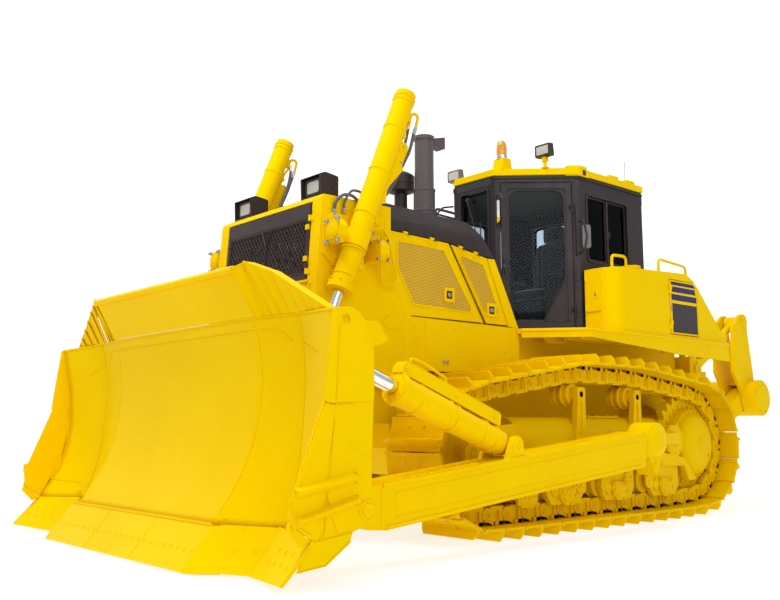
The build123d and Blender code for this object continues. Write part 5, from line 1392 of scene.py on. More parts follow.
make("lift_fittings", ls, STEEL, BODY("lift_barrels"), ["lift_barrels"], bevel=0.8)
make("lift_hoses", lh, HOSE, BODY("lift_barrels"), ["lift_barrels"], bevel=0)
lr = Piece()
for sg in (1, -1):
    for d_ in (1, -1):
        lathe(lr, (4727, sg * 872 + d_ * 41, 747), (0, d_, 0), [(0, 44), (0, 74), (4, 71), (4, 46)], 32, closed=True)
    lathe(lr, LA + LE_ * 1560 + Vector((0, sg * 872, 0)), LE_, [(0, 36), (0, 50), (10, 58), (28, 60), (28, 36)], 32, closed=True)
make("lift_rod_eyes", lr, YEL, BODY("lift_rods"), ["lift_rods"], bevel=1)
# hoses from the guard's side to the trunnion, with silver fittings
gh, gs = Piece(), Piece()
for sg in (1, -1):
    tube(gh, spline([(4243, sg * 758, 2516), (4232, sg * 764, 2590), (4165, sg * 766, 2652), (4070, sg * 764, 2660), (3985, sg * 762, 2600), (3960, sg * 758, 2520)], 8), 13, 12)
    tube(gs, [(4243, sg * 740, 2486), (4243, sg * 757, 2488), (4243, sg * 758, 2530)], 17, 6)
    tube(gs, [(4150, sg * 744, 2510), (4150, sg * 762, 2512), (4152, sg * 764, 2548)], 16, 6)
    tube(gh, spline([(4152, sg * 764, 2540), (4150, sg * 768, 2600), (4080, sg * 770, 2700), (3960, sg * 770, 2690), (3900, sg * 768, 2600), (3912, sg * 764, 2500)], 8), 11, 10)
    lathe(gs, (4243, sg * 740, 2486), (0, sg, 0), [(0, 0), (0, 26), (8, 25), (10, 20), (10, 0)], 20)
make("guard_hoses", gh, HOSE, "hull", ["radiator_guard"], bevel=0)
make("guard_fittings", gs, STEEL, "hull", ["radiator_guard"], bevel=0.8)

# =========================================================== guard, grille, headlights
GX = lambda z: 4440 - (z - 1290) * 0.0705
dress("radiator_guard", YEL, 14, seg=3)
dress("front_frame", YEL, 5)
gd = Piece()
for sg in (1, -1):
    S = lambda y: sg * y
    # trunnion cap: two halves clamped by large bolts, with ribs
    ya, yb = sorted((S(761), S(786)))
    # parting ribs and fillets on the cheek foot (kept off the turning barrel)
    py(gd, rnd([(3905, 2398), (3948, 2130), (3990, 2130), (3960, 2380), (4010, 2470), (3985, 2486)], 8), *sorted((S(741), S(752))))
    for x, z in ((3985, 2165), (4235, 2150), (4318, 2215), (4318, 2385), (4235, 2465), (4035, 2462)):
        bolt(gd, (x, S(761), z), (0, sg, 0), 17, 14, 1)
    lathe(gd, (4118, S(742), 2281), (0, sg, 0), [(0, 0), (0, 78), (14, 78), (20, 70), (20, 46), (12, 44), (12, 0)], 32)
    # bolt heads of the guard's frame, and round bolts down its rear edge
    for x, z in ((3781, 2459), (3707, 2412), (3685, 2283)):
        dome(gd, (x, S(740), z), (0, sg, 0), 17, 10)
    for z in (1400, 1600, 1800, 2000):
        dome(gd, (3470 + max(0, z - 1800) * 0.68 + 24, S(740), z), (0, sg, 0), 13, 8)
    # fold line near the top and the outline of the access cover
    tube(gd, [(3668, S(740.5), 2560), (4330, S(740.5), 2542)], 3.5, 6)
    tube(gd, fillet_path([(3520, S(740.5), 1340), (3520, S(740.5), 1820), (3715, S(740.5), 2140), (3715, S(740.5), 2545)], 60), 3, 6)
    # handle loop
    hp = fillet_path([(3985, S(742), 2380), (3985, S(800), 2386), (3800, S(804), 2440), (3738, S(804), 2372), (3640, S(804), 2050), (3690, S(804), 1975), (3802, S(804), 1995), (3818, S(800), 2240), (3818, S(742), 2262)], 45)
    tube(gd, hp, 11, 12)
    # cast yoke: caps before and behind the cylinder, joined to the guard's side
    oct8 = lambda cy_, cz_, r_: [(S(cy_ + r_ * cos(radians(22.5 + 45 * i))), cz_ + r_ * sin(radians(22.5 + 45 * i))) for i in range(8)]
    px(gd, dedupe(rnd(oct8(868, 2330, 96), 14)), 4264, 4338)
    px(gd, dedupe(rnd(oct8(868, 2330, 70), 10)), 4336, 4352)
    lathe(gd, (4350, S(868), 2330), (1, 0, 0), [(0, 0), (0, 52), (5, 50), (8, 42), (8, 0)], 32)
    px(gd, [(S(742), 2245), (S(800), 2240), (S(820), 2262), (S(820), 2400), (S(800), 2420), (S(742), 2425)], 4266, 4334)
    px(gd, dedupe(rnd(oct8(868, 2228, 92), 14)), 3850, 3934)
    px(gd, [(S(742), 2140), (S(820), 2150), (S(820), 2310), (S(742), 2320)], 3854, 3930)
    # wedge step bracket on the lower side
    py(gd, [(3560, 1660), (3560, 1760), (3680, 1760), (3740, 1700), (3700, 1650)], *sorted((S(740), S(748))))
    # stops and clips at the lower corner
    bx(gd, 4360, 4420, *sorted((S(741), S(764))), 1500, 1560)
    for z in (1460, 1700, 1900):
        dome(gd, (GX(z) - 40, S(740), z), (0, sg, 0), 12, 7)
yb_ = Piece()
for sg in (1, -1):
    for y, z in ((800, 2412), (936, 2412), (936, 2248), (800, 2248)):
        bolt(yb_, (4338, sg * y, z), (1, 0, 0), 17, 22, 1)
    for y, z in ((812, 2300), (930, 2300), (930, 2156)):
        bolt(yb_, (3934, sg * y, z), (1, 0, 0), 15, 14, 1)
        bolt(yb_, (3850, sg * y, z), (-1, 0, 0), 15, 14, 1)
    for x, z in ((3845, 2392), (3842, 2300), (3812, 2210)):
        bolt(yb_, (x, sg * 742, z), (0, sg, 0), 16, 12, 1)
make("yoke_bolts", yb_, STEEL, "hull", ["radiator_guard"], bevel=0)
make("guard_trim", gd, YEL, "hull", ["radiator_guard"], bevel=2)

# edge beads round the front opening
gf = Piece()
for sg in (1, -1):
    tube(gf, [(GX(1340) + 1, sg * 650, 1340), (GX(1975) + 1, sg * 650, 1975)], 4, 8)
    for z in (1360, 1560, 1760, 1950):
        dome(gf, (GX(z) + 0.5, sg * 668, z), (1, 0, 0.07), 13, 8)
py(gf, [(GX(1975) + 2, 1962), (GX(1975) + 12, 1964), (GX(1990) + 12, 1984), (GX(1990) + 2, 1984)], -640, 640)
make("guard_front_trim", gf, YEL, "hull", ["radiator_guard"], bevel=1.5)

# grille: dark frame, blank header band, expanded mesh over the core
dress("grille_door", DARK, 4)
gr = Piece()
gz0, gz1 = 2037.0, 2460.0
ln = sqrt(1 + 0.0705 ** 2)


def gp(y, z, off):
    return Vector((GX(z) - 12 + off, y, z))


# expanded metal: slanted strands both ways, flat bars in steps
step = 46.0
y0g, y1g = -560.0, 560.0
rowh = 30.0
nr = int((gz1 - gz0) / rowh)
ncol = int((y1g - y0g) / step)
for r_ in range(nr):
    za, zb = gz0 + r_ * rowh, gz0 + (r_ + 1) * rowh
    for c_ in range(ncol + 1):
        ya_ = y0g + c_ * step + (step / 2 if r_ % 2 else 0)
        for d_ in (-1, 1):
            yb_ = ya_ + d_ * step / 2
            if not (y0g - 1 <= ya_ <= y1g + 1 and y0g - 1 <= yb_ <= y1g + 1):
                continue
            a, b_ = gp(ya_, za, 9.5), gp(yb_, zb, 9.5)
            t_ = (b_ - a).normalized()
            s_ = Vector((0, -t_.z, t_.y)) * 3.6
            gr.add([a - s_, b_ - s_, b_ + s_, a + s_, a - s_ + Vector((-7, 0, 0)), b_ - s_ + Vector((-7, 0, 0)), b_ + s_ + Vector((-7, 0, 0)), a + s_ + Vector((-7, 0, 0))],
                   [(0, 1, 2, 3), (7, 6, 5, 4), (0, 4, 5, 1), (1, 5, 6, 2), (2, 6, 7, 3), (3, 7, 4, 0)])
# centre strip that forks under the header, and the mesh frame
tube(gr, [gp(0, 2037, 12), gp(0, 2330, 12)], 9, 4)
tube(gr, [gp(0, 2330, 12), gp(-70, 2458, 12)], 9, 4)
tube(gr, [gp(0, 2330, 12), gp(70, 2458, 12)], 9, 4)
for q in ([gp(-562, 2040, 10), gp(562, 2040, 10)], [gp(-562, 2458, 10), gp(562, 2458, 10)], [gp(-562, 2040, 10), gp(-562, 2458, 10)], [gp(562, 2040, 10), gp(562, 2458, 10)]):
    tube(gr, q, 6, 4)
# header band, blank, with a narrow rim
hb = [(z_, y_) for y_, z_ in ()]
v = [gp(-590, 2472, 13), gp(590, 2472, 13), gp(590, 2582, 13), gp(-590, 2582, 13)]
gr.add(v + [q + Vector((-4, 0, 0)) for q in v], [(0, 1, 2, 3), (7, 6, 5, 4), (0, 4, 5, 1), (1, 5, 6, 2), (2, 6, 7, 3), (3, 7, 4, 0)])
for y, z in ((-565, 2300), (-90, 2318), (90, 2318), (565, 2302), (-588, 2015), (588, 2015), (-588, 2180), (588, 2180), (-588, 2400), (588, 2400), (-572, 2560), (572, 2560), (-572, 2490), (572, 2490)):
    dome(gr, (GX(z) - 1, y, z), (1, 0, 0.07), 10, 6)
make("grille_mesh", gr, DARK, "grille", ["grille_door"], bevel=0)
gl = Piece()
for z in (2150, 2400):
    bx(gl, GX(z) - 2, GX(z) + 12, 560, 604, z - 20, z + 20)
make("grille_latches", gl, YEL, "grille", ["grille_door"], bevel=2)

dress("radiator_core", CORE, 2)
rc = Piece()
for i in range(56):
    z = 1330 + i * 22.5
    bx(rc, 3920, 3926, -630, 630, z, z + 5)
for i in range(17):
    y = -600 + i * 75
    bx(rc, 3925, 3934, y - 6, y + 6, 1325, 2580)
make("core_fins", rc, CORE, "hull", ["radiator_core"], bevel=0)

# headlights: visor boxes with a rim, reflector, lens and a bolted foot
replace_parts(NODES["headlights"], "headlights") if False else None
hl, hlens, hrefl = Piece(), Piece(), Piece()
for sg in (1, -1):
    y0_, y1_ = sorted((sg * 367, sg * 638))
    prof = dedupe(rnd([(4112, 2654), (4112, 2836), (4240, 2853), (4290, 2834), (4282, 2654)], [18, 22, 14, 8, 8]))
    # shell, open at the front: outer prism minus a pocket
    inner = dedupe(rnd([(4132, 2672), (4132, 2820), (4236, 2836), (4296, 2822), (4296, 2672)], [10, 12, 4, 1, 1]))
    H = Piece()
    py(H, prof, y0_, y1_)
    C = Piece()
    py(C, [(4205, 2674), (4205, 2826), (4240, 2834), (4330, 2822), (4330, 2674)], y0_ + 18, y1_ - 18)
    o = cut(make("headlight_shell_%s" % ("l" if sg > 0 else "r"), H, DARKER, None), C)
    o.data.materials.clear(); o.data.materials.append(DARKER)
    bv = o.modifiers.new("edge", "BEVEL"); bv.width = 0.004; bv.segments = 2; bv.limit_method = "ANGLE"; bv.angle_limit = radians(35)
    o.data.polygons.foreach_set("use_smooth", [True] * len(o.data.polygons)); o.data.set_sharp_from_angle(angle=radians(32))
    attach(o, "hull"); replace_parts(o, "headlights")
    yc = (y0_ + y1_) / 2
    # reflector pan, and lens with its rim
    px(hrefl, [(yc - 106, 2684), (yc + 106, 2684), (yc + 106, 2818), (yc - 106, 2818)], 4206, 4212)
    px(hrefl, rnd([(yc - 84, 2694), (yc + 84, 2694), (yc + 84, 2806), (yc - 84, 2806)], 22), 4212, 4250)
    px(hlens, rnd([(yc - 82, 2700), (yc + 82, 2700), (yc + 82, 2800), (yc - 82, 2800)], 22), 4251, 4262)
    ringplate(hl, rnd([(-100, -66), (100, -66), (100, 66), (-100, 66)], 26), rnd([(-82, -50), (82, -50), (82, 50), (-82, 50)], 22), (4212, yc, 2750), (0, 1, 0), (0, 0, 1), (1, 0, 0), 56)
    # foot and side bolts
    bx(hl, 4160, 4240, yc - 55, yc + 55, 2642, 2656)
    for yb_ in (y0_, y1_):
        s2 = 1 if yb_ > yc else -1
        bolt(hl, (4170, yb_, 2745), (0, s2, 0), 10, 5, 0)
make("headlight_parts", hl, DARKER, "hull", ["headlights"], bevel=1.5)
make("headlight_reflectors", hrefl, REFLECT, "hull", ["headlights"], bevel=2)
make("headlight_lenses", hlens, LENS, "hull", ["headlights"], bevel=3)

# ======================================================================= hood
hp_ = Piece()
dress("hood_top", DARK, 8)
dress("hood_frame", YEL, 3)
for name in ("front", "rear"):
    for side, sg in (("left", 1), ("right", -1)):
        node = "%s_%s_engine_door" % (side, name)
        if node not in NODES:
            node = [k for k in NODES if name in k and side in k and "engine" in k][0]
        body = NODES[node]["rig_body"]
        dress(node, YEL, 2.5)
        D = Piece()
        Q = Piece()
        if name == "front":
            out = [(3640, 2462), (3640, 2137), (3423, 1795), (3423, 1780), (2530, 1780), (2958, 2440)]
            pan = [(3560, 2395), (3560, 2170), (3375, 1865), (2650, 1852), (3010, 2384)]
            latch = (2960, 1990)
        else:
            out = [(2926, 2434), (2496, 1780), (2218, 1780), (2482, 2368)]
            pan = [(2862, 2372), (2510, 1850), (2310, 1850), (2530, 2322)]
            latch = (2430, 1900)
        pr = dedupe(rnd(pan, 36))
        pin_ = [tuple(Vector(q) + (Vector((sum(a for a, b in pr) / len(pr), sum(b for a, b in pr) / len(pr))) - Vector(q)).normalized() * 20) for q in pr]
        # raised rim round the perforated panel
        ringplate(D, pr, pin_, (0, sg * 698, 0), (1, 0, 0), (0, 0, 1), (0, sg, 0), 7)
        # outer edge fold
        ctr = Vector((sum(a for a, b in out) / len(out), sum(b for a, b in out) / len(out)))
        oo = dedupe(rnd(out, 14))
        oi = [tuple(Vector(q) + (ctr - Vector(q)).normalized() * 22) for q in oo]
        ringplate(D, [tuple(Vector(q) + (ctr - Vector(q)).normalized() * 3) for q in oo], oi, (0, sg * 698, 0), (1, 0, 0), (0, 0, 1), (0, sg, 0), 4)
        py(Q, pin_, *sorted((sg * 698.2, sg * 700.2)))
        # latch: square plate with a dark recess and a lock
        lx, lz = latch
        ringplate(D, [(-62, -62), (62, -62), (62, 62), (-62, 62)], [(-34, -34), (34, -34), (34, 34), (-34, 34)], (lx, sg * 698, lz), (1, 0, 0), (0, 0, 1), (0, sg, 0), 12)
        L = Piece()
        py(L, [(lx - 36, lz - 36), (lx + 36, lz - 36), (lx + 36, lz + 36), (lx - 36, lz + 36)], *sorted((sg * 700.4, sg * 702)))
        K = Piece()
        cyl(K, (lx, sg * 701, lz), (lx, sg * 713, lz), 20, 20, chamfer=3)
        bx(K, lx - 14, lx + 14, *sorted((sg * 712, sg * 718)), lz - 5, lz + 5)
        nm = "%s_%s_door" % (side, name)
        make(nm + "_rims", D, YEL, body, [node], bevel=2)
        make(nm + "_perforated", Q, PERF, body, [node], bevel=0)
        make(nm + "_latch_recess", L, DARKER, body, [node], bevel=0)
        make(nm + "_lock", K, STEEL, body, [node], bevel=1)

ht = Piece()      # yellow pieces on the hull's side panels
hd = Piece()      # dark pieces on the hood's top
hs = Piece()
for sg in (1, -1):
    for x, z in ((2372, 1684), (2256, 1537), (2378, 1415), (2120, 1690), (3360, 1700), (3360, 1400), (2900, 1700), (2630, 1700)):
        dome(ht, (x, sg * 700, z), (0, sg, 0), 13, 8)
    cyl(hs, (2985, sg * 700, 1414), (2985, sg * 712, 1414), 16, 20, chamfer=3)
    cyl(hs, (3025, sg * 700, 1414), (3025, sg * 712, 1414), 16, 20, chamfer=3)
    # seams between the fixed panels
    tube(ht, [(2440, sg * 700.5, 1760), (2240, sg * 700.5, 1335)], 3, 6)
    tube(ht, [(3240, sg * 700.5, 1765), (3240, sg * 700.5, 1335)], 3, 6)
    # panel folds of the hood's top
    tube(hd, [(2668, sg * 612, 2684), (3640, sg * 612, 2708)], 4, 6)
    bx(hd, 2700, 2760, *sorted((sg * 570, sg * 600)), 2686, 2700)
for x in (2800, 3150, 3500):
    tube(hd, [(x, -600, 2690 + (x - 2650) * 0.023), (x, 600, 2690 + (x - 2650) * 0.023)], 4, 6)
for x, y in ((2720, 520), (2720, -520), (3100, 560), (3100, -560), (3560, 560), (3560, -560)):
    dome(hd, (x, y, 2684 + (x - 2650) * 0.023), (0, 0, 1), 14, 8)
make("side_panel_bolts", ht, YEL, "hull", ["hood_frame"], bevel=0)
make("side_panel_locks", hs, STEEL, "hull", ["hood_frame"], bevel=0)
make("hood_top_trim", hd, DARK, "hull", ["hood_top"], bevel=1.5)

# exhaust: banded sleeve, stack, collar and a flared mouth; pre-cleaner bowl
EX = 2590.0
ex = Piece()
lathe(ex, (EX, 0, 2700), (0, 0, 1), [(0, 0), (0, 107), (16, 107), (20, 104), (196, 104), (200, 108), (216, 108), (220, 104), (396, 104), (400, 108), (420, 108), (424, 96), (424, 93),
                                    (905, 93), (909, 102), (942, 102), (948, 96), (948, 84), (900, 84), (900, 0)], 44)
make("exhaust_pipe", ex, EXH, "hull", ["exhaust_stack"], bevel=0)
e2 = Piece()
o_, i_ = [(EX - 60, 34, 3577), (EX - 60, -34, 3577), (EX - 60, -34, 3638), (EX - 60, 34, 3638)], [(EX - 225, 61, 3558), (EX - 225, -61, 3558), (EX - 225, -61, 3678), (EX - 225, 61, 3678)]
ii = [(EX - 221, 52, 3567), (EX - 221, -52, 3567), (EX - 221, -52, 3669), (EX - 221, 52, 3669)]
jj = [(EX - 90, 30, 3584), (EX - 90, -30, 3584), (EX - 90, -30, 3632), (EX - 90, 30, 3632)]
v = o_ + i_ + ii + jj
f = []
for a in (0, 4, 8):
    for k in range(4):
        f.append((a + k, a + (k + 1) % 4, a + 4 + (k + 1) % 4, a + 4 + k))
f += [(3, 2, 1, 0), (12, 13, 14, 15)]
e2.add(v, f)
make("exhaust_mouth", e2, EXH, "hull", ["exhaust_stack"], bevel=0, angle=20)
pc = Piece()
lathe(pc, (2670, -250, 2700), (0, 0, 1), [(0, 0), (0, 69), (30, 69), (34, 64), (408, 64), (420, 92), (430, 128), (438, 134), (500, 134), (504, 130), (508, 134), (586, 134), (594, 128), (606, 112), (622, 86), (634, 60), (636, 0)], 44)
for i in range(28):
    t = 2 * pi * i / 28
    bx(pc, 2670 + 130 * cos(t) - 3, 2670 + 130 * cos(t) + 3, -250 + 130 * sin(t) - 3, -250 + 130 * sin(t) + 3, 3150, 3196)
make("precleaner_bowl", pc, DARK, "hull", ["air_precleaner"], bevel=0)

# hood handrails as a black double rail
hr = Piece()
for sg in (1, -1):
    tube(hr, fillet_path([(2680, sg * 540, 2684), (2680, sg * 540, 2770), (2960, sg * 540, 2780), (2960, sg * 540, 2692)], 40), 12.5, 14)
    tube(hr, [(2682, sg * 540, 2722), (2958, sg * 540, 2732)], 9, 10)
    for x, z in ((2680, 2683.5), (2960, 2691)):
        lathe(hr, (x, sg * 540, z), (0, 0, 1), [(0, 0), (0, 30), (6, 30), (8, 26), (8, 0)], 18)
make("hood_rails", hr, TRIM, "hull", ["handrails"], bevel=0)

# ============================================================================== cab
FX, FY, BX_, SY, RX = 1900.0, 280.0, 1300.0, 850.0, 220.0
CZ0, CZ1 = 1756.0, 3330.0
DLEN = hypot(FX - BX_, FY - SY)
UX, UY = (FX - BX_) / DLEN, (FY - SY) / DLEN
NX, NY = -UY, UX


def wp(s, d, z, sg=1):
    """Point on the angled wall: s from the rear post, d inwards."""
    return Vector((BX_ + UX * s - NX * d, sg * (SY + UY * s - NY * d), z))


def wall_plate(P, pts, d0, d1, sg, mat=0):
    """Flat plate on the angled wall from (s, z) points."""
    a = [wp(s, d0, z, sg) for s, z in pts]
    b = [wp(s, d1, z, sg) for s, z in pts]
    n = len(pts)
    P.add(a + b, [tuple(range(n)), tuple(range(2 * n - 1, n - 1, -1))] + [(i, (i + 1) % n, n + (i + 1) % n, n + i) for i in range(n)], mat)


def wall_ring(P, outer, inner, d0, d1, sg, mat=0):
    n = len(outer)
    A = [wp(s, d0, z, sg) for s, z in outer] + [wp(s, d0, z, sg) for s, z in inner] + [wp(s, d1, z, sg) for s, z in outer] + [wp(s, d1, z, sg) for s, z in inner]
    f = []
    for i in range(n):
        j = (i + 1) % n
        f += [(i, j, n + j, n + i), (2 * n + j, 2 * n + i, 3 * n + i, 3 * n + j), (j, i, 2 * n + i, 2 * n + j), (n + i, n + j, 3 * n + j, 3 * n + i)]
    P.add(A, f, mat)


dress("cab_frame", DARKER, 7, seg=2)
dress("cab_roof", YEL, 8, seg=3)
for n_ in ("cab_glass", "left_cab_door_glass", "right_cab_door_glass"):
    o = NODES[n_]
    for s in o.material_slots:
        s.material = GLASS
ct, cl, cy, cgr, cst, cw = Piece(), Piece(), Piece(), Piece(), Piece(), Piece()
rub = Piece()
for sg in (1, -1):
    Y = lambda a, b: sorted((sg * a, sg * b))
    # side window: rubber surround, middle bar, two rounded panes' frames, slide latch
    so = dedupe(rnd([(482, 2462), (1198, 2462), (1198, 3168), (482, 3168)], 60))
    si = dedupe(rnd([(506, 2486), (1174, 2486), (1174, 3144), (506, 3144)], 50))
    ringplate(rub, so, si, (0, sg * 850, 0), (1, 0, 0), (0, 0, 1), (0, sg, 0), 8)
    for x0, x1 in ((506, 832), (848, 1174)):
        po = dedupe(rnd([(x0, 2486), (x1, 2486), (x1, 3144), (x0, 3144)], 46))
        pi_ = dedupe(rnd([(x0 + 20, 2506), (x1 - 20, 2506), (x1 - 20, 3124), (x0 + 20, 3124)], 40))
        ringplate(ct, po, pi_, (0, sg * 822, 0), (1, 0, 0), (0, 0, 1), (0, sg, 0), 14)
    bx(ct, 826, 854, *Y(821, 846), 2486, 3144)
    bx(ct, 800, 822, *Y(836, 848), 2760, 2820)
    # lower panel seam, sill strip and bolts on the side
    tube(ct, [(240, sg * 851, 2430), (1270, sg * 851, 2430)], 4, 6)
    bx(ct, 240, 1280, *Y(849, 862), 1770, 1800)
    for x in (300, 640, 980, 1230):
        dome(ct, (x, sg * 850, 1900), (0, sg, 0), 13, 7)
        dome(ct, (x, sg * 850, 3220), (0, sg, 0), 11, 6)
    # rain gutter under the roof
    tube(ct, [(214, sg * 858, 3300), (1306, sg * 858, 3300)], 8, 8)
    tube(ct, [wp(-4, -8, 3300, sg), wp(DLEN, -8, 3300, sg)], 8, 8)
    # yellow corner piece of the roof at the rear post, black latches
    q = [(1150, sg * 865), (1300, sg * 865), (1395, sg * 776), (1395, sg * 700), (1150, sg * 700)]
    pz(cy, q, 3322, 3400)
    pz(cy, [(1180, sg * 868), (1296, sg * 868), (1378, sg * 790), (1340, sg * 700), (1180, sg * 700)], 3398, 3426)
    bx(cw, 1205, 1245, *Y(862, 874), 3336, 3386)
    wall_plate(cw, [(40, 3336), (80, 3336), (80, 3386), (40, 3386)], -6, -18, sg)
    # small boxes on the roof's side edge
    for x in (330, 620):
        bx(cy, x, x + 150, *Y(760, 850), 3400, 3432)
        bolt(cy, (x + 75, sg * 805, 3431), (0, 0, 1), 12, 8, 1)
    # rear post box: grab bar and small door stops
    wall_plate(ct, [(8, 1770), (60, 1770), (60, 3240), (8, 3240)], 0, -6, sg)
    tube(cst, [wp(34, -14, 2520, sg), wp(34, -40, 2540, sg), wp(34, -46, 2640, sg), wp(34, -46, 2900, sg), wp(34, -40, 2990, sg), wp(34, -14, 3010, sg)], 11, 12)
    for z in (1990, 2300, 3060):
        wall_plate(ct, [(14, z - 30), (54, z - 30), (54, z + 30), (14, z + 30)], -6, -16, sg)
    # front post strip, half white and half yellow, with its black rail
    wall_plate(cgr, dedupe(rnd([(DLEN - 46, 2905), (DLEN - 20, 2905), (DLEN - 20, 3080), (DLEN - 46, 3080)], 6)), -1, -6, sg)
    wall_plate(cy, dedupe(rnd([(DLEN - 46, 2850), (DLEN - 20, 2850), (DLEN - 20, 2903), (DLEN - 46, 2903)], 6)), -1, -6, sg)
    wall_plate(ct, [(DLEN - 44, 1900), (DLEN - 22, 1900), (DLEN - 22, 2780), (DLEN - 44, 2780)], 0, -5, sg)
    # mirror arm loop at the front corner
    mx = wp(DLEN - 20, -14, 2890, sg)
    lp = [Vector((1895, sg * 300, 2830)), Vector((1960, sg * 400, 2836)), Vector((1985, sg * 455, 2880)), Vector((1985, sg * 455, 3060)), Vector((1960, sg * 400, 3120)), Vector((1895, sg * 300, 3124))]
    tube(cw, fillet_path(lp, 50), 10, 10)
    # rear light boxes: ribbed backs and lenses
    bx(cl, 62, 70, *Y(612, 748), 3248, 3352)
    for k in range(5):
        bx(ct, 160, 168, *Y(620 + 28 * k, 626 + 28 * k), 3245, 3300)
# grey mirror box by the rear post, held on the post, beside the door's front edge: switched off, this loop draws
# nothing; the box is drawn with the doors further on
for sg in (1, -1):
    wall_plate(cw, dedupe(rnd([(110, 2600), (250, 2600), (250, 2838), (110, 2838)], 26)), -26, -30, sg) if False else None
# header plate above the door, blank, and above the windscreen
for sg in (1, -1):
    wall_plate(cw, [(50, 3262), (DLEN - 20, 3262), (DLEN - 20, 3318), (50, 3318)], 0, -5, sg)
bx(cw, 1899, 1905, -240, 240, 3240, 3318)
# windscreen surround, wipers
wo = dedupe(rnd([(-206, 1918), (206, 1918), (206, 3232), (-206, 3232)], 40))
wi = dedupe(rnd([(-186, 1942), (186, 1942), (186, 3208), (-186, 3208)], 34))
ringplate(rub, wo, wi, (1900, 0, 0), (0, 1, 0), (0, 0, 1), (1, 0, 0), 8)
for y0_, zb in ((-90, 3150), (90, 2000)):
    s2 = 1 if zb > 2500 else -1
    cyl(cw, (1890, y0_, zb), (1915, y0_, zb), 22, 18, chamfer=3)
    tube(cw, [(1912, y0_, zb), (1886, -y0_ * 0.7, zb - s2 * 520)], 6, 8)
    tube(cw, [(1874, -y0_ * 0.7 - 10, zb - s2 * 240), (1874, -y0_ * 0.7 + 10, zb - s2 * 800)], 7, 6)
# rear window surround
ro = dedupe(rnd([(-630, 2430), (630, 2430), (630, 3180), (-630, 3180)], 60))
ri_ = dedupe(rnd([(-600, 2460), (600, 2460), (600, 3150), (-600, 3150)], 50))
ringplate(rub, ro, ri_, (220, 0, 0), (0, 1, 0), (0, 0, 1), (-1, 0, 0), 8)
make("cab_frame_trim", ct, DARKER, "hull", ["cab_frame"], bevel=2)
make("cab_window_rubber", rub, RUBBER, "hull", ["cab_frame"], bevel=1.5)
make("cab_black_parts", cw, TRIM, "hull", ["cab_frame"], bevel=2)
make("cab_roof_corners", cy, YEL, "hull", ["cab_roof"], bevel=5, seg=3)
make("cab_grab_bars", cst, TRIM, "hull", ["cab_frame"], bevel=0)
make("cab_post_strips", cgr, WHITE, "hull", ["cab_frame"], bevel=1)
make("rear_light_lenses", cl, LENS, "hull", ["work_lights"], bevel=2)
rt = Piece()
# roof seams, stiffening rib and bolts
for x in (520, 900, 1280):
    tube(rt, [(x, -640, 3401), (x, 640, 3401)], 4, 6)
for x, y in ((240, 820), (240, -820), (1300, 820), (1300, -820), (1880, 230), (1880, -230), (700, 820), (700, -820)):
    dome(rt, (x, y, 3400), (0, 0, 1), 15, 9)
rt.join((lambda P: (pz(P, dedupe(rnd([(420, -420), (1350, -420), (1350, 420), (420, 420)], 70)), 3399, 3416), P)[1])(Piece()))
make("roof_details", rt, YEL, "hull", ["cab_roof"], bevel=3)

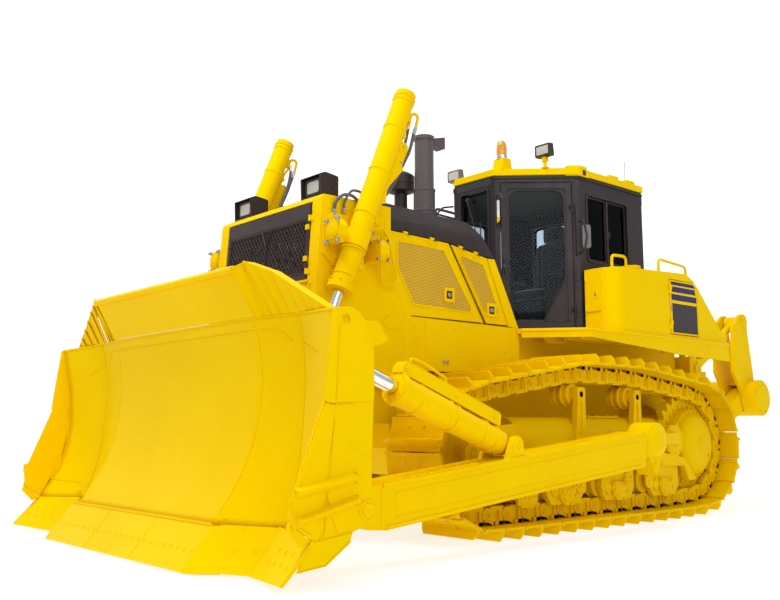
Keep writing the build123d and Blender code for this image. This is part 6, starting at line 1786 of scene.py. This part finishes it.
# doors: frame with rounded glass opening, rubber, handle, lower corner panel
for side, sg in (("left", 1), ("right", -1)):
    node = side + "_cab_door"
    body = BODY(node)
    dress(node, DARKER, 5)
    D, R, H, G = Piece(), Piece(), Piece(), Piece()
    s0, s1 = 76.0, DLEN - 58
    outer = dedupe(rnd([(s0 + 4, 1804), (s1 - 4, 1804), (s1 - 4, 3250), (s0 + 4, 3250)], 30))
    inner = dedupe(rnd([(s0 + 58, 1862), (s1 - 58, 1862), (s1 - 58, 3194), (s0 + 58, 3194)], 30))
    i2 = dedupe(rnd([(s0 + 78, 1892), (s1 - 78, 1892), (s1 - 78, 3172), (s0 + 78, 3172)], [120, 60, 110, 110]))
    wall_ring(D, outer, inner, 1, -7, sg)
    i1 = dedupe(rnd([(s0 + 60, 1866), (s1 - 60, 1866), (s1 - 60, 3190), (s0 + 60, 3190)], 30))
    # make both outlines alike in count
    wall_ring(R, i1, i2, 10, 2, sg)
    # lower triangle panel inside the frame
    wall_plate(D, [(s0 + 60, 1868), (s0 + 60, 2340), (s0 + 300, 1868)], 14, 4, sg)
    tube(D, [wp(s0 + 60, 2, 2340, sg), wp(s0 + 300, 2, 1868, sg)], 9, 8)
    # door handle with its plate
    wall_plate(H, rnd([(s1 - 52, 2330), (s1 - 8, 2330), (s1 - 8, 2520), (s1 - 52, 2520)], 12), -6, -14, sg)
    tube(H, fillet_path([wp(s1 - 30, -12, 2350, sg), wp(s1 - 30, -46, 2356, sg), wp(s1 - 30, -46, 2490, sg), wp(s1 - 30, -12, 2498, sg)], 20), 9, 10)
    cyl(G, wp(s1 - 30, -12, 2420, sg), wp(s1 - 30, -20, 2420, sg), 12, 16)
    # inner grab bar seen through the glass
    tube(H, fillet_path([wp(s0 + 30, 46, 2200, sg), wp(s0 + 60, 70, 2210, sg), wp(s0 + 60, 70, 2900, sg), wp(s0 + 30, 46, 2910, sg)], 30), 10, 10)
    # mirror box in grey with a black loop, on the door's upper frame: switched off, this line draws nothing
    wall_plate(G, dedupe(rnd([(s0 - 2, 2560), (s0 + 50, 2560), (s0 + 50, 2790), (s0 - 2, 2790)], 14)), -8, -22, sg) if False else None
    make(side + "_door_frame_trim", D, DARKER, body, [node], bevel=2)
    make(side + "_door_rubber", R, RUBBER, body, [node], bevel=0.5)
    make(side + "_door_handle", H, TRIM, body, [node], bevel=1.5)
    make(side + "_door_lock", G, STEEL, body, [node], bevel=1)
    # grey mirror housing on the rear post
    M_ = Piece()
    hp3 = [(20, 2560), (150, 2560), (150, 2800), (20, 2800)]
    wall_plate(M_, dedupe(rnd([(-96, 2585), (-14, 2585), (-14, 2815), (-96, 2815)], 24)), -20, -58, sg)
    make(side + "_mirror_box", M_, GREY, "hull", ["cab_frame"], bevel=8, seg=3)
    L_ = Piece()
    tube(L_, fillet_path([wp(6, -8, 2540, sg), wp(-30, -66, 2560, sg), wp(-56, -70, 2700, sg), wp(-30, -66, 2850, sg), wp(6, -8, 2860, sg)], 40), 9, 10)
    make(side + "_mirror_loop", L_, TRIM, "hull", ["cab_frame"], bevel=0)

# air conditioner box: grey body, yellow top, louvres
dress("cab_air_conditioner", GREY, 14, seg=3)
ac, ay = Piece(), Piece()
for k in range(10):
    z = 2925 + k * 17
    bx(ac, -66, -58, -340, 340, z, z + 7)
pz(ay, dedupe(rnd([(-64, -424), (210, -424), (210, 424), (-64, 424)], 30)), 3112, 3136)
make("air_conditioner_louvres", ac, GREY, "hull", ["cab_air_conditioner"], bevel=1)
make("air_conditioner_lid", ay, YEL, "hull", ["cab_air_conditioner"], bevel=4)

# beacon: trapezoid bracket, chrome band, lamp ; work lights on hinged brackets
bb, bc, ba = Piece(), Piece(), Piece()
py(bb, [(1702, 3401), (1848, 3401), (1826, 3522), (1722, 3522)], 208, 342)
for x, y in ((1712, 224), (1838, 224), (1712, 326), (1838, 326)):
    bolt(bb, (x, y, 3405), (0, 0, 1), 8, 6, 0)
lathe(bc, (1775, 270, 3520), (0, 0, 1), [(0, 0), (0, 61), (34, 61), (38, 57), (38, 0)], 40)
lathe(ba, (1775, 270, 3556), (0, 0, 1), [(0, 0), (0, 55), (100, 53), (134, 46), (154, 32), (163, 14), (164, 0)], 40)
for i in range(12):
    t = 2 * pi * i / 12
    tube(ba, [(1775 + 54 * cos(t), 270 + 54 * sin(t), 3566), (1775 + 52 * cos(t), 270 + 52 * sin(t), 3650)], 2.2, 6)
make("beacon_bracket", bb, YEL, "hull", ["beacon"], bevel=4)
make("beacon_band", bc, CHROME, "hull", ["beacon"], bevel=0)
make("beacon_lens", ba, AMBER, "hull", ["beacon"], bevel=0)
wl, wy, wlen, wg = Piece(), Piece(), Piece(), Piece()
for sg in (1, -1):
    Y = lambda a, b: sorted((sg * a, sg * b))
    prof = dedupe(rnd([(1492, 3518), (1510, 3644), (1566, 3642), (1570, 3518)], 10))
    (py(wg if sg < 0 else wl, prof, *Y(531, 714)))
    ringplate(wg if sg < 0 else wl, rnd([(-90, -60), (90, -60), (90, 60), (-90, 60)], 14), rnd([(-76, -46), (76, -46), (76, 46), (-76, 46)], 10), (1568, sg * 622.5, 3580), (0, 1, 0), (0, 0, 1), (1, 0, 0), 8)
    px(wlen, rnd([(sg * 622.5 - 74, 3536), (sg * 622.5 + 74, 3536), (sg * 622.5 + 74, 3624), (sg * 622.5 - 74, 3624)], 10), 1569, 1573)
    for k in range(6):
        bx(wg if sg < 0 else wl, 1484, 1500, *Y(552 + 26 * k, 558 + 26 * k), 3530, 3612)
    # yellow hinged bracket and foot
    bx(wy, 1500, 1560, *Y(600, 645), 3470, 3517)
    bx(wy, 1495, 1565, *Y(590, 655), 3401, 3412)
    cyl(wy, (1530, sg * 622, 3405), (1530, sg * 622, 3475), 18, 20)
    cyl(wy, (1530, sg * 592, 3494), (1530, sg * 653, 3494), 14, 20)
    bx(wl, 70, 160, *Y(601, 759), 3236, 3364)
    bx(wl, 155, 199, *Y(660, 700), 3332, 3356)
make("work_light_boxes", wl, TRIM, "hull", ["work_lights"], bevel=4)
make("work_light_grey", wg, GREY, "hull", ["work_lights"], bevel=4)
make("work_light_brackets", wy, YEL, "hull", ["work_lights"], bevel=3)
make("work_light_lenses", wlen, LENS, "hull", ["work_lights"], bevel=1.5)
an = Piece()
tube(an, [(290, 700, 3400), (290, 700, 3440)], 10, 12)
tube(an, [(290, 700, 3436), (284, 702, 3700)], 2.6, 8)
make("antenna", an, TRIM, "hull", ["cab_roof"], bevel=0)

# ----------------------------------------------------------------- inside the cab
# consoles, levers, dashboard, floor mat, headliner
cs = NODES["cab_console"]
C1 = Piece()
for sg in (1, -1):
    Y = lambda a, b: sorted((sg * a, sg * b))
    py(C1, dedupe(rnd([(624, 1803), (624, 2416), (1140, 2416), (1236, 2350), (1236, 1803)], [10, 30, 40, 40, 10])), *Y(332, 598))
    py(C1, dedupe(rnd([(640, 2410), (640, 2418.5), (1050, 2418.5), (1050, 2410)], 2)), *Y(350, 580))
    # joystick with boot, switches
    lathe(C1, (1110, sg * 470, 2412), (0, 0, 1), [(0, 0), (0, 46), (4, 46), (10, 34), (20, 38), (26, 26), (38, 28), (44, 14), (80, 12), (80, 0)], 24)
    lathe(C1, (1110, sg * 470, 2490), (0.1, 0, 1), [(0, 0), (0, 14), (20, 22), (70, 24), (96, 18), (104, 0)], 20)
    for k in range(4):
        bx(C1, 700 + 60 * k, 735 + 60 * k, sg * 520 - 10, sg * 520 + 10, 2416, 2428)
    # armrest
    pz(C1, dedupe(rnd([(700, sg * 360), (1010, sg * 360), (1010, sg * 450), (700, sg * 450)], 30)), 2430, 2466)
py(C1, dedupe(rnd([(1502, 1803), (1502, 2356), (1600, 2436), (1700, 2430), (1776, 2330), (1776, 1803)], [10, 30, 40, 40, 40, 10])), -168, 168)
C1.add(*prism([(1446, -190, 2350), (1446, 190, 2350), (1560, 190, 2436), (1560, -190, 2436)], (0.6, 0, -0.8), 20))
for k in range(4):
    t = k / 3
    cyl(C1, (1490, -130 + 87 * k, 2388), (1484, -130 + 87 * k, 2396), 26, 20)
for sg in (1, -1):
    for x in (1700,):
        bx(C1, x, x + 60, sg * 240 - 40, sg * 240 + 40, 1830, 1850)
        tube(C1, [(x + 30, sg * 240, 1840), (x + 90, sg * 240, 1802)], 10, 8)
make("cab_controls", C1, TRIM, "hull", ["cab_console"], bevel=4, seg=2)
hdl = Piece()
pz(hdl, [(260, -800), (1290, -800), (1840, -250), (1840, 250), (1290, 800), (260, 800)], 3318, 3328)
make("cab_headliner", hdl, LINER, "hull", ["cab_roof"], bevel=1)
mat_ = Piece()
pz(mat_, [(300, -760), (1280, -760), (1820, -230), (1820, 230), (1280, 760), (300, 760)], 1801, 1806)
for k in range(16):
    bx(mat_, 1000 + 40 * k, 1010 + 40 * k, -200 if k > 12 else -320, 200 if k > 12 else 320, 1805, 1809)
make("cab_floor_mat", mat_, RUBBER, "hull", ["cab_frame"], bevel=0)


# ------------------------------------------------------------------------- seat
def cushion(name, lo, hi, crown, bulge, seams=(), axis=2, face=1, nx=26, ny=22):
    """A padded block: its outer face is crowned and seams pull it in; its edges are rounded.
    axis is the direction of the face; lo and hi are opposite corners in mm; bulge is not used."""
    lo, hi = Vector(lo), Vector(hi)
    others = [k for k in (0, 1, 2) if k != axis]
    a, b = others
    size = hi - lo
    bm = bmesh.new()

    def pt(u, v_, w):
        # u and v_ run over the face, w over the depth, all in -1..1 with rounded edges
        e = 5.0
        ru = (abs(u) ** e + abs(v_) ** e) ** (1 / e)
        edge = min(1.0, ru)
        h = crown * (1 - abs(u) ** 2.4) * (1 - abs(v_) ** 2.4)
        q = [0, 0, 0]
        q[a] = (lo[a] + hi[a]) / 2 + u * size[a] / 2
        q[b] = (lo[b] + hi[b]) / 2 + v_ * size[b] / 2
        q[axis] = (lo[axis] + hi[axis]) / 2 + w * size[axis] / 2
        return q, h, edge

    grid = {}
    sides = []
    N1, N2, N3 = nx, ny, 6

    def rounded(u, v_, w):
        q, h, edge = pt(u, v_, w)
        # round the block with a superellipse
        r3 = (abs(u) ** 6 + abs(v_) ** 6 + abs(w) ** 4) ** (1 / 6.0)
        k = 1.0 / max(r3, 1e-6) if r3 > 1 else 1.0
        c = (lo + hi) / 2
        q = Vector(q)
        q = c + (q - c) * k
        d_ = 0.0
        top_side = (w * face) > 0
        if top_side:
            q[axis] += face * (h - crown) * (w * face)
            for coord, pos, depth in seams:
                t = (q[a] if coord == "a" else q[b]) - pos
                d_ += depth * 2.718 ** (-(t / 9.0) ** 2)
            q[axis] -= face * d_ * (w * face)
        return q

    def patch(f_, n1, n2):
        vs = [[bm.verts.new(m(f_(-1 + 2 * i / n1, -1 + 2 * j / n2))) for j in range(n2 + 1)] for i in range(n1 + 1)]
        for i in range(n1):
            for j in range(n2):
                bm.faces.new((vs[i][j], vs[i + 1][j], vs[i + 1][j + 1], vs[i][j + 1]))

    patch(lambda u, v_: rounded(u, v_, 1), N1, N2)
    patch(lambda u, v_: rounded(u, v_, -1), N1, N2)
    patch(lambda u, w: rounded(u, 1, w), N1, N3)
    patch(lambda u, w: rounded(u, -1, w), N1, N3)
    patch(lambda v_, w: rounded(1, v_, w), N2, N3)
    patch(lambda v_, w: rounded(-1, v_, w), N2, N3)
    bmesh.ops.remove_doubles(bm, verts=bm.verts, dist=1e-5)
    bmesh.ops.recalc_face_normals(bm, faces=bm.faces)
    for f in bm.faces:
        f.smooth = True
    me = bpy.data.meshes.new(name)
    bm.to_mesh(me); bm.free()
    me.materials.append(CLOTH)
    o = bpy.data.objects.new(name, me)
    scene.collection.objects.link(o)
    sd = o.modifiers.new("soft", "SUBSURF"); sd.levels = 1; sd.render_levels = 1
    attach(o, "hull")
    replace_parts(o, "operator_seat")
    return o


SEATS = [
    cushion("seat_cushion", (682, -248, 2188), (1180, 248, 2312), 26, 10, (("b", -150, 13), ("b", 150, 13), ("a", 860, 9), ("a", 1020, 9))),
    cushion("seat_back", (602, -238, 2300), (722, 238, 2860), 24, 10, (("a", -140, 13), ("a", 140, 13), ("b", 2450, 8), ("b", 2600, 8), ("b", 2740, 8)), axis=0),
    cushion("seat_headrest", (612, -128, 2862), (700, 128, 3038), 16, 6, (("a", -80, 6), ("a", 80, 6)), axis=0, nx=16, ny=14),
]
sb = Piece()
py(sb, dedupe(rnd([(752, 1802), (752, 1960), (730, 2192), (1098, 2192), (1080, 1960), (1080, 1802)], 14)), -176, 176)
for z in range(6):
    bx(sb, 744, 1092, -182, 182, 1850 + z * 50, 1862 + z * 50)
for sg in (1, -1):
    tube(sb, [(655, sg * 60, 2850), (655, sg * 60, 2900)], 8, 10)
    py(sb, dedupe(rnd([(640, 2194), (640, 2330), (700, 2330), (760, 2250), (900, 2210), (900, 2194)], 12)), *sorted((sg * 244, sg * 250)))
make("seat_base", sb, TRIM, "hull", ["operator_seat"], bevel=3)

# ==================================================================== tanks and deck
for side, sg in (("left", 1), ("right", -1)):
    # the front outer corner is rolled in a large radius
    o = dress(side + "_tank", YEL, 0)
    R_ = 150.0
    cc = Piece()
    arc = [(1280 - R_ + R_ * sin(radians(a)), sg * (1220 - R_ + R_ * cos(radians(a)))) for a in range(0, 91, 9)]
    pz(cc, arc + [(1340, sg * (1220 - R_)), (1340, sg * 1290), (1280 - R_, sg * 1290)], 1700, 2500)
    o = cut(o, cc)
    o.data.materials.clear(); o.data.materials.append(YEL)
    o.data.polygons.foreach_set("use_smooth", [True] * len(o.data.polygons))
    o.data.set_sharp_from_angle(angle=radians(24))
    bv = o.modifiers.new("edge", "BEVEL")
    bv.width, bv.segments, bv.limit_method, bv.angle_limit = 0.012, 3, "ANGLE", radians(38)
    bv.use_clamp_overlap = True
dress("rear_tank", YEL, 14, seg=3)
dress("deck", YEL, 6, seg=2)
tk, tdk, tst = Piece(), Piece(), Piece()
for sg in (1, -1):
    Y = lambda a, b: sorted((sg * a, sg * b))
    # small service door on the front face, with its latch
    px(tk, dedupe(rnd([(sg * 885, 1960), (sg * 1062, 1960), (sg * 1062, 2340), (sg * 885, 2340)], 26)), 1279, 1290)
    ringplate(tk, rnd([(-16, -34), (16, -34), (16, 34), (-16, 34)], 4), rnd([(-10, -26), (10, -26), (10, 26), (-10, 26)], 3), (1290, sg * 1000, 2120), (0, 1, 0), (0, 0, 1), (1, 0, 0), 5)
    cyl(tst, (1288, sg * 1000, 2120), (1296, sg * 1000, 2120), 9, 16)
    for z in (2000, 2290):
        cyl(tk, (1291, sg * 890, z - 30), (1291, sg * 890, z + 30), 10, 14)
    # bolts along the top and the foot flange
    py(tk, [(1130, 1757), (1130, 1775), (-660, 1775), (-660, 1757)], *Y(1190, 1232))
    for k in range(9):
        bolt(tk, (1080 - 215 * k, sg * 1211, 1774), (0, 0, 1), 13, 10, 1)
    # filler neck with its cap
    cz = 2392 + (700 - 1280) * -0.046
    lathe(tk, (700, sg * 1010, 2392), (0, 0, 1), [(0, 0), (0, 92), (12, 92), (14, 80), (38, 80), (38, 96), (62, 96), (68, 88), (68, 0)], 40)
    for i in range(10):
        t = 2 * pi * i / 10
        bx(tk, 700 + 92 * cos(t) - 6, 700 + 92 * cos(t) + 6, sg * 1010 + 92 * sin(t) - 6, sg * 1010 + 92 * sin(t) + 6, 2432, 2456)
    # weld seams of the side skin: the rolled front corner and the rear slope
    tube(tk, [(1128, sg * 1220.5, 1790), (1128, sg * 1220.5, 2360)], 2.5, 6)
    tube(tk, [(420, sg * 1220.5, 1790), (420, sg * 1220.5, 2390)], 3, 6) if sg > 0 else None
    tube(tk, [(-130, sg * 900, 2356), (-632, sg * 900, 1864)], 4, 6)
    # tread strips on the tank top
    for x0, x1, z0, z1 in ((960, 1250, 2388, 2374), (60, 560, 2428, 2406)):
        v = [(x0, sg * 930, z0), (x1, sg * 930, z1), (x1, sg * 1090, z1), (x0, sg * 1090, z0)]
        tdk.add([Vector(q) + Vector((0, 0, 7)) for q in v] + [Vector(q) - Vector((0, 0, 4)) for q in v], [(0, 1, 2, 3), (7, 6, 5, 4), (0, 4, 5, 1), (1, 5, 6, 2), (2, 6, 7, 3), (3, 7, 4, 0)])
    # handrails in yellow with round feet
    for pts in ([(1190, 2378.5), (1190, 2500), (960, 2510), (960, 2389)], [(390, 2415.5), (390, 2558), (-120, 2530), (-120, 2370)]):
        tube(tk, fillet_path([(x, sg * 1130, z) for x, z in pts], 50), 14.5, 16)
        for x, z in (pts[0], pts[-1]):
            lathe(tk, (x, sg * 1130, z - 2), (0, 0, 1), [(0, 0), (0, 30), (7, 30), (9, 26), (9, 0)], 20)
make("tank_details", tk, YEL, "hull", ["left_tank", "right_tank", "handrails"], bevel=2)
make("tank_treads", tdk, TREAD, "hull", ["left_tank", "right_tank"], bevel=1)
make("tank_front_locks", tst, STEEL, "hull", ["left_tank"], bevel=0.5)

# left tank door: bands of film, blank dark panel, latch
dress("left_tank_door", YEL, 3)
tb = BODY("left_tank_door")
td, tn, tsl, tlk = Piece(), Piece(), Piece(), Piece()
x0, x1, z0, z1 = -170.0, 350.0, 1790.0, 2340.0
oo = dedupe(rnd([(x0 + 4, z0 + 4), (x0 + 4, z1 - 26), (x0 + 28, z1 - 4), (x1 - 4, z1 - 4), (x1 - 4, z0 + 4)], 6))
c_ = Vector(((x0 + x1) / 2, (z0 + z1) / 2))
oi = [tuple(c_ + Vector(((q[0] - c_.x) * 0.955, (q[1] - c_.y) * 0.958))) for q in oo]
ringplate(td, oo, oi, (0, 1220, 0), (1, 0, 0), (0, 0, 1), (0, 1, 0), 3.5)
make("tank_door_rim", td, YEL, tb, ["left_tank_door"], bevel=1)
for k, (za, zb) in enumerate(((2290, 2330), (2218, 2274), (2134, 2196))):
    s_ = 0.10
    py(tn, [(318, za), (318, zb), (-104 - 22 * k + (14 if k == 0 else 0), zb), (-118 - 22 * k - (26 if k == 0 else 0), za)], 1220.1, 1221.2)
make("tank_door_bands", tn, NAVY, tb, ["left_tank_door"], bevel=0)
py(tsl, [(310, 1802), (310, 2102), (-164, 2102), (-166, 1802)], 1220.1, 1221.4)
make("tank_door_blank_panel", tsl, SLATE, tb, ["left_tank_door"], bevel=0)
bx(tlk, 322, 340, 1220, 1230, 2020, 2090)
cyl(tlk, (331, 1220, 2130), (331, 1229, 2130), 11, 18, chamfer=2)
make("tank_door_latch", tlk, STEEL, tb, ["left_tank_door"], bevel=1.5)

# rear tank: cover plate, rear step ; deck: lip, ribs, tread
rk = Piece()
tube(rk, [(-140, -860, 2356), (-140, 860, 2356)], 5, 8)
for y in (-500, 0, 500):
    pts = [(-210, y - 180, 2290), (-210, y + 180, 2290), (-560, y + 180, 1946), (-560, y - 180, 1946)]
    n_ = Vector((-0.7, 0, 0.7))
    v = [Vector(q) for q in pts] + [Vector(q) + n_ * 10 for q in pts]
    rk.add(v, [(3, 2, 1, 0), (4, 5, 6, 7), (0, 1, 5, 4), (1, 2, 6, 5), (2, 3, 7, 6), (3, 0, 4, 7)])
    for q in pts:
        c = Vector(q).lerp(Vector((-385, y, 2118)), 0.12) + n_ * 9
        bolt(rk, c, n_, 12, 9, 1)
for y in (-300, 300):
    px(rk, dedupe(rnd([(y - 120, 1770), (y + 120, 1770), (y + 120, 1850), (y - 120, 1850)], 12)), -668, -655)
make("rear_tank_covers", rk, YEL, "hull", ["rear_tank"], bevel=2)
dk, dt = Piece(), Piece()
for sg in (1, -1):
    Y = lambda a, b: sorted((sg * a, sg * b))
    # rounded lip along the outside
    tube(dk, [(-733, sg * 1243, 1738), (1690, sg * 1243, 1738), (2092, sg * 762, 1738)], 12, 12)
    # slanted ribs on the skirt and bolts
    for k in range(7):
        x = -560 + 330 * k
        if x < 1600:
            zl = 1562 if x < 200 else 1580 + (x - 200) * 90 / 1490
            py(dk, [(x, zl), (x + 14, zl), (x + 14, 1712), (x, 1712)], *Y(1150, 1222))
    for x in (-680, -300, 300, 900, 1500):
        dome(dk, (x, sg * 1245, 1690), (0, sg, 0), 14, 8)
    # underside beams
    bx(dk, -700, 1660, *Y(900, 940), 1660, 1712)
    bx(dk, -700, 1660, *Y(1060, 1090), 1660, 1712)
    # front mounting bracket under the corner
    py(dk, [(1500, 1712), (1500, 1640), (1760, 1640), (1840, 1712)], *Y(770, 800))
    pz(dt, [(1690, sg * 1225), (1300, sg * 1225), (1300, sg * 870), (1850, sg * 330), (2050, sg * 300), (2080, sg * 758)], 1755, 1759)
pz(dt, [(-725, -1225), (-725, 1225), (-665, 1225), (-665, -1225)], 1755, 1759)
make("deck_lips", dk, YEL, "hull", ["deck"], bevel=1.5)
make("deck_treads", dt, TREAD, "hull", ["deck"], bevel=1)

# ============================================================================ ripper
RA, RP, RT, RB, RH, RR = (-950, 620), (-2030, 1230), (-1970, 2110), (-890, 1500), (-930, 1400), (-1720, 900)
for n_ in ("ripper_bracket", "ripper_arm", "ripper_beam", "ripper_shanks"):
    dress(n_, YEL, 7)
names = {n_: BODY(n_) for n_ in NODES if "ripper" in n_}
rbk, rbm = Piece(), Piece()
for sg in (1, -1):
    Y = lambda a, b: sorted((sg * a, sg * b))
    # pin covers with keeper bolts on the hull brackets
    for (x, z), r_, ys in ((RA, 74, 762), (RB, 64, 762)):
        lathe(rbk, (x, sg * (ys - 3), z), (0, sg, 0), [(0, 0), (0, r_), (14, r_ - 3), (18, r_ - 12), (18, r_ * 0.5), (12, r_ * 0.45), (12, 0)], 32)
        bolt(rbk, (x + 10, sg * ys, z + r_ + 22), (0, sg, 0), 14, 10, 1)
    for z in (520, 820, 1120, 1420, 1580):
        bolt(rbk, (-842, sg * 700, z), (-1, 0, 0), 17, 13, 1)
        bolt(rbk, (-842, sg * 60, z), (-1, 0, 0), 17, 13, 1)
    # toolbar: round end caps with rings, pin plates at both joints
    lathe(rbm, (-2090, sg * 888, 1200), (0, sg, 0), [(0, 0), (0, 206), (6, 205), (12, 196), (12, 150), (20, 146), (24, 136), (24, 60), (28, 56), (28, 0)], 56)
    for i in range(8):
        t = 2 * pi * (i + 0.5) / 8
        bolt(rbm, (-2090 + 172 * cos(t), sg * 899, 1200 + 172 * sin(t)), (0, sg, 0), 14, 10, 1)
    lathe(rbm, (-2090, sg * 620, 1200), (0, sg, 0), [(0, 214), (0, 224), (4, 227), (26, 227), (30, 224), (30, 214)], 48, closed=True) if False else None
    for (x, z), r_ in ((RP, 78), (RT, 66)):
        lathe(rbm, (x, sg * 783, z), (0, sg, 0), [(0, 0), (0, r_), (12, r_ - 3), (16, r_ - 12), (16, r_ * 0.5), (10, r_ * 0.45), (10, 0)], 32)
        bolt(rbm, (x - (0 if r_ > 70 else 0), sg * 785, z + (r_ + 20 if r_ > 70 else -(r_ + 24))), (0, sg, 0), 14, 10, 1)
    # bolted retainer over the top eye
    py(rbm, [(-2000, 2150), (-1990, 2192), (-1900, 2182), (-1890, 2140)], *Y(785, 800))
    bolt(rbm, (-1975, sg * 800, 2168), (0, sg, 0), 12, 9, 1)
    bolt(rbm, (-1910, sg * 800, 2160), (0, sg, 0), 12, 9, 1)
    # stiffening rim down the upright
    tube(rbm, [(-1690, sg * 786, 1520), (-1722, sg * 786, 2052), (-1884, sg * 786, 2186)], 6, 8)
    tube(rbm, [(-2120, sg * 786, 1460), (-2022, sg * 786, 2000), (-2024, sg * 786, 2150)], 6, 8)
for y in (-700, 0, 700):
    # pocket rims and shank pins are not drawn here
    pass
for y in [k for k in (-690, 0, 690)]:
    tube(rbm, [(-2200, y, 1412), (-2200, y + 1, 1412)], 5, 6)
cyl(rbm, (-2270, -92, 1210), (-2270, 92, 1210), 38, 28, chamfer=4)
bolt(rbm, (-2270, 92, 1210), (0, 1, 0), 20, 12, 1)
make("ripper_bracket_trim", rbk, YEL, names["ripper_bracket"], ["ripper_bracket"], bevel=1.5)
make("ripper_beam_trim", rbm, YEL, names["ripper_beam"], ["ripper_beam"], bevel=1.5)
# shank point and its wear shoe in bare steel
sk = Piece()
py(sk, [(-2060, 478), (-1950, 384), (-2082, 424), (-2130, 470), (-2110, 520)], -47, 47)
cyl(sk, (-2075, -52, 462), (-2075, 52, 462), 12, 16, chamfer=2)
make("shank_point", sk, STEEL, names["ripper_shanks"], ["ripper_shanks"], bevel=3)
for n_ in [k for k in names if "rod" in k]:
    dress(n_, CHROME, 2)
for n_ in [k for k in names if "barrel" in k or "cylinder" in k]:
    dress(n_, YEL, 4)

# =========================================================================== rest
# CAD nodes still shown: painted ones are replaced by cleaned, rounded copies, the rest keep their own mesh and get a
# material
SHOWN = {"yellow_paint": YEL, "dark_paint": DARK, "black_trim": TRIM, "glass": GLASS, "chrome": CHROME, "steel": STEEL,
         "seat": CLOTH, "lamp": LENS, "amber": AMBER, "track_paint": YEL_TRACK, "core": CORE}
slots = {s["node"]: s["material_slot"] for s in frame["record"]["subparts"]}
for n, o in NODES.items():
    if not o.hide_render:
        if slots[n] in ("yellow_paint", "track_paint", "dark_paint", "chrome"):
            dress(n, SHOWN[slots[n]], 4.0)
        else:
            for s in o.material_slots:
                s.material = SHOWN[slots[n]]

bpy.context.view_layer.update()
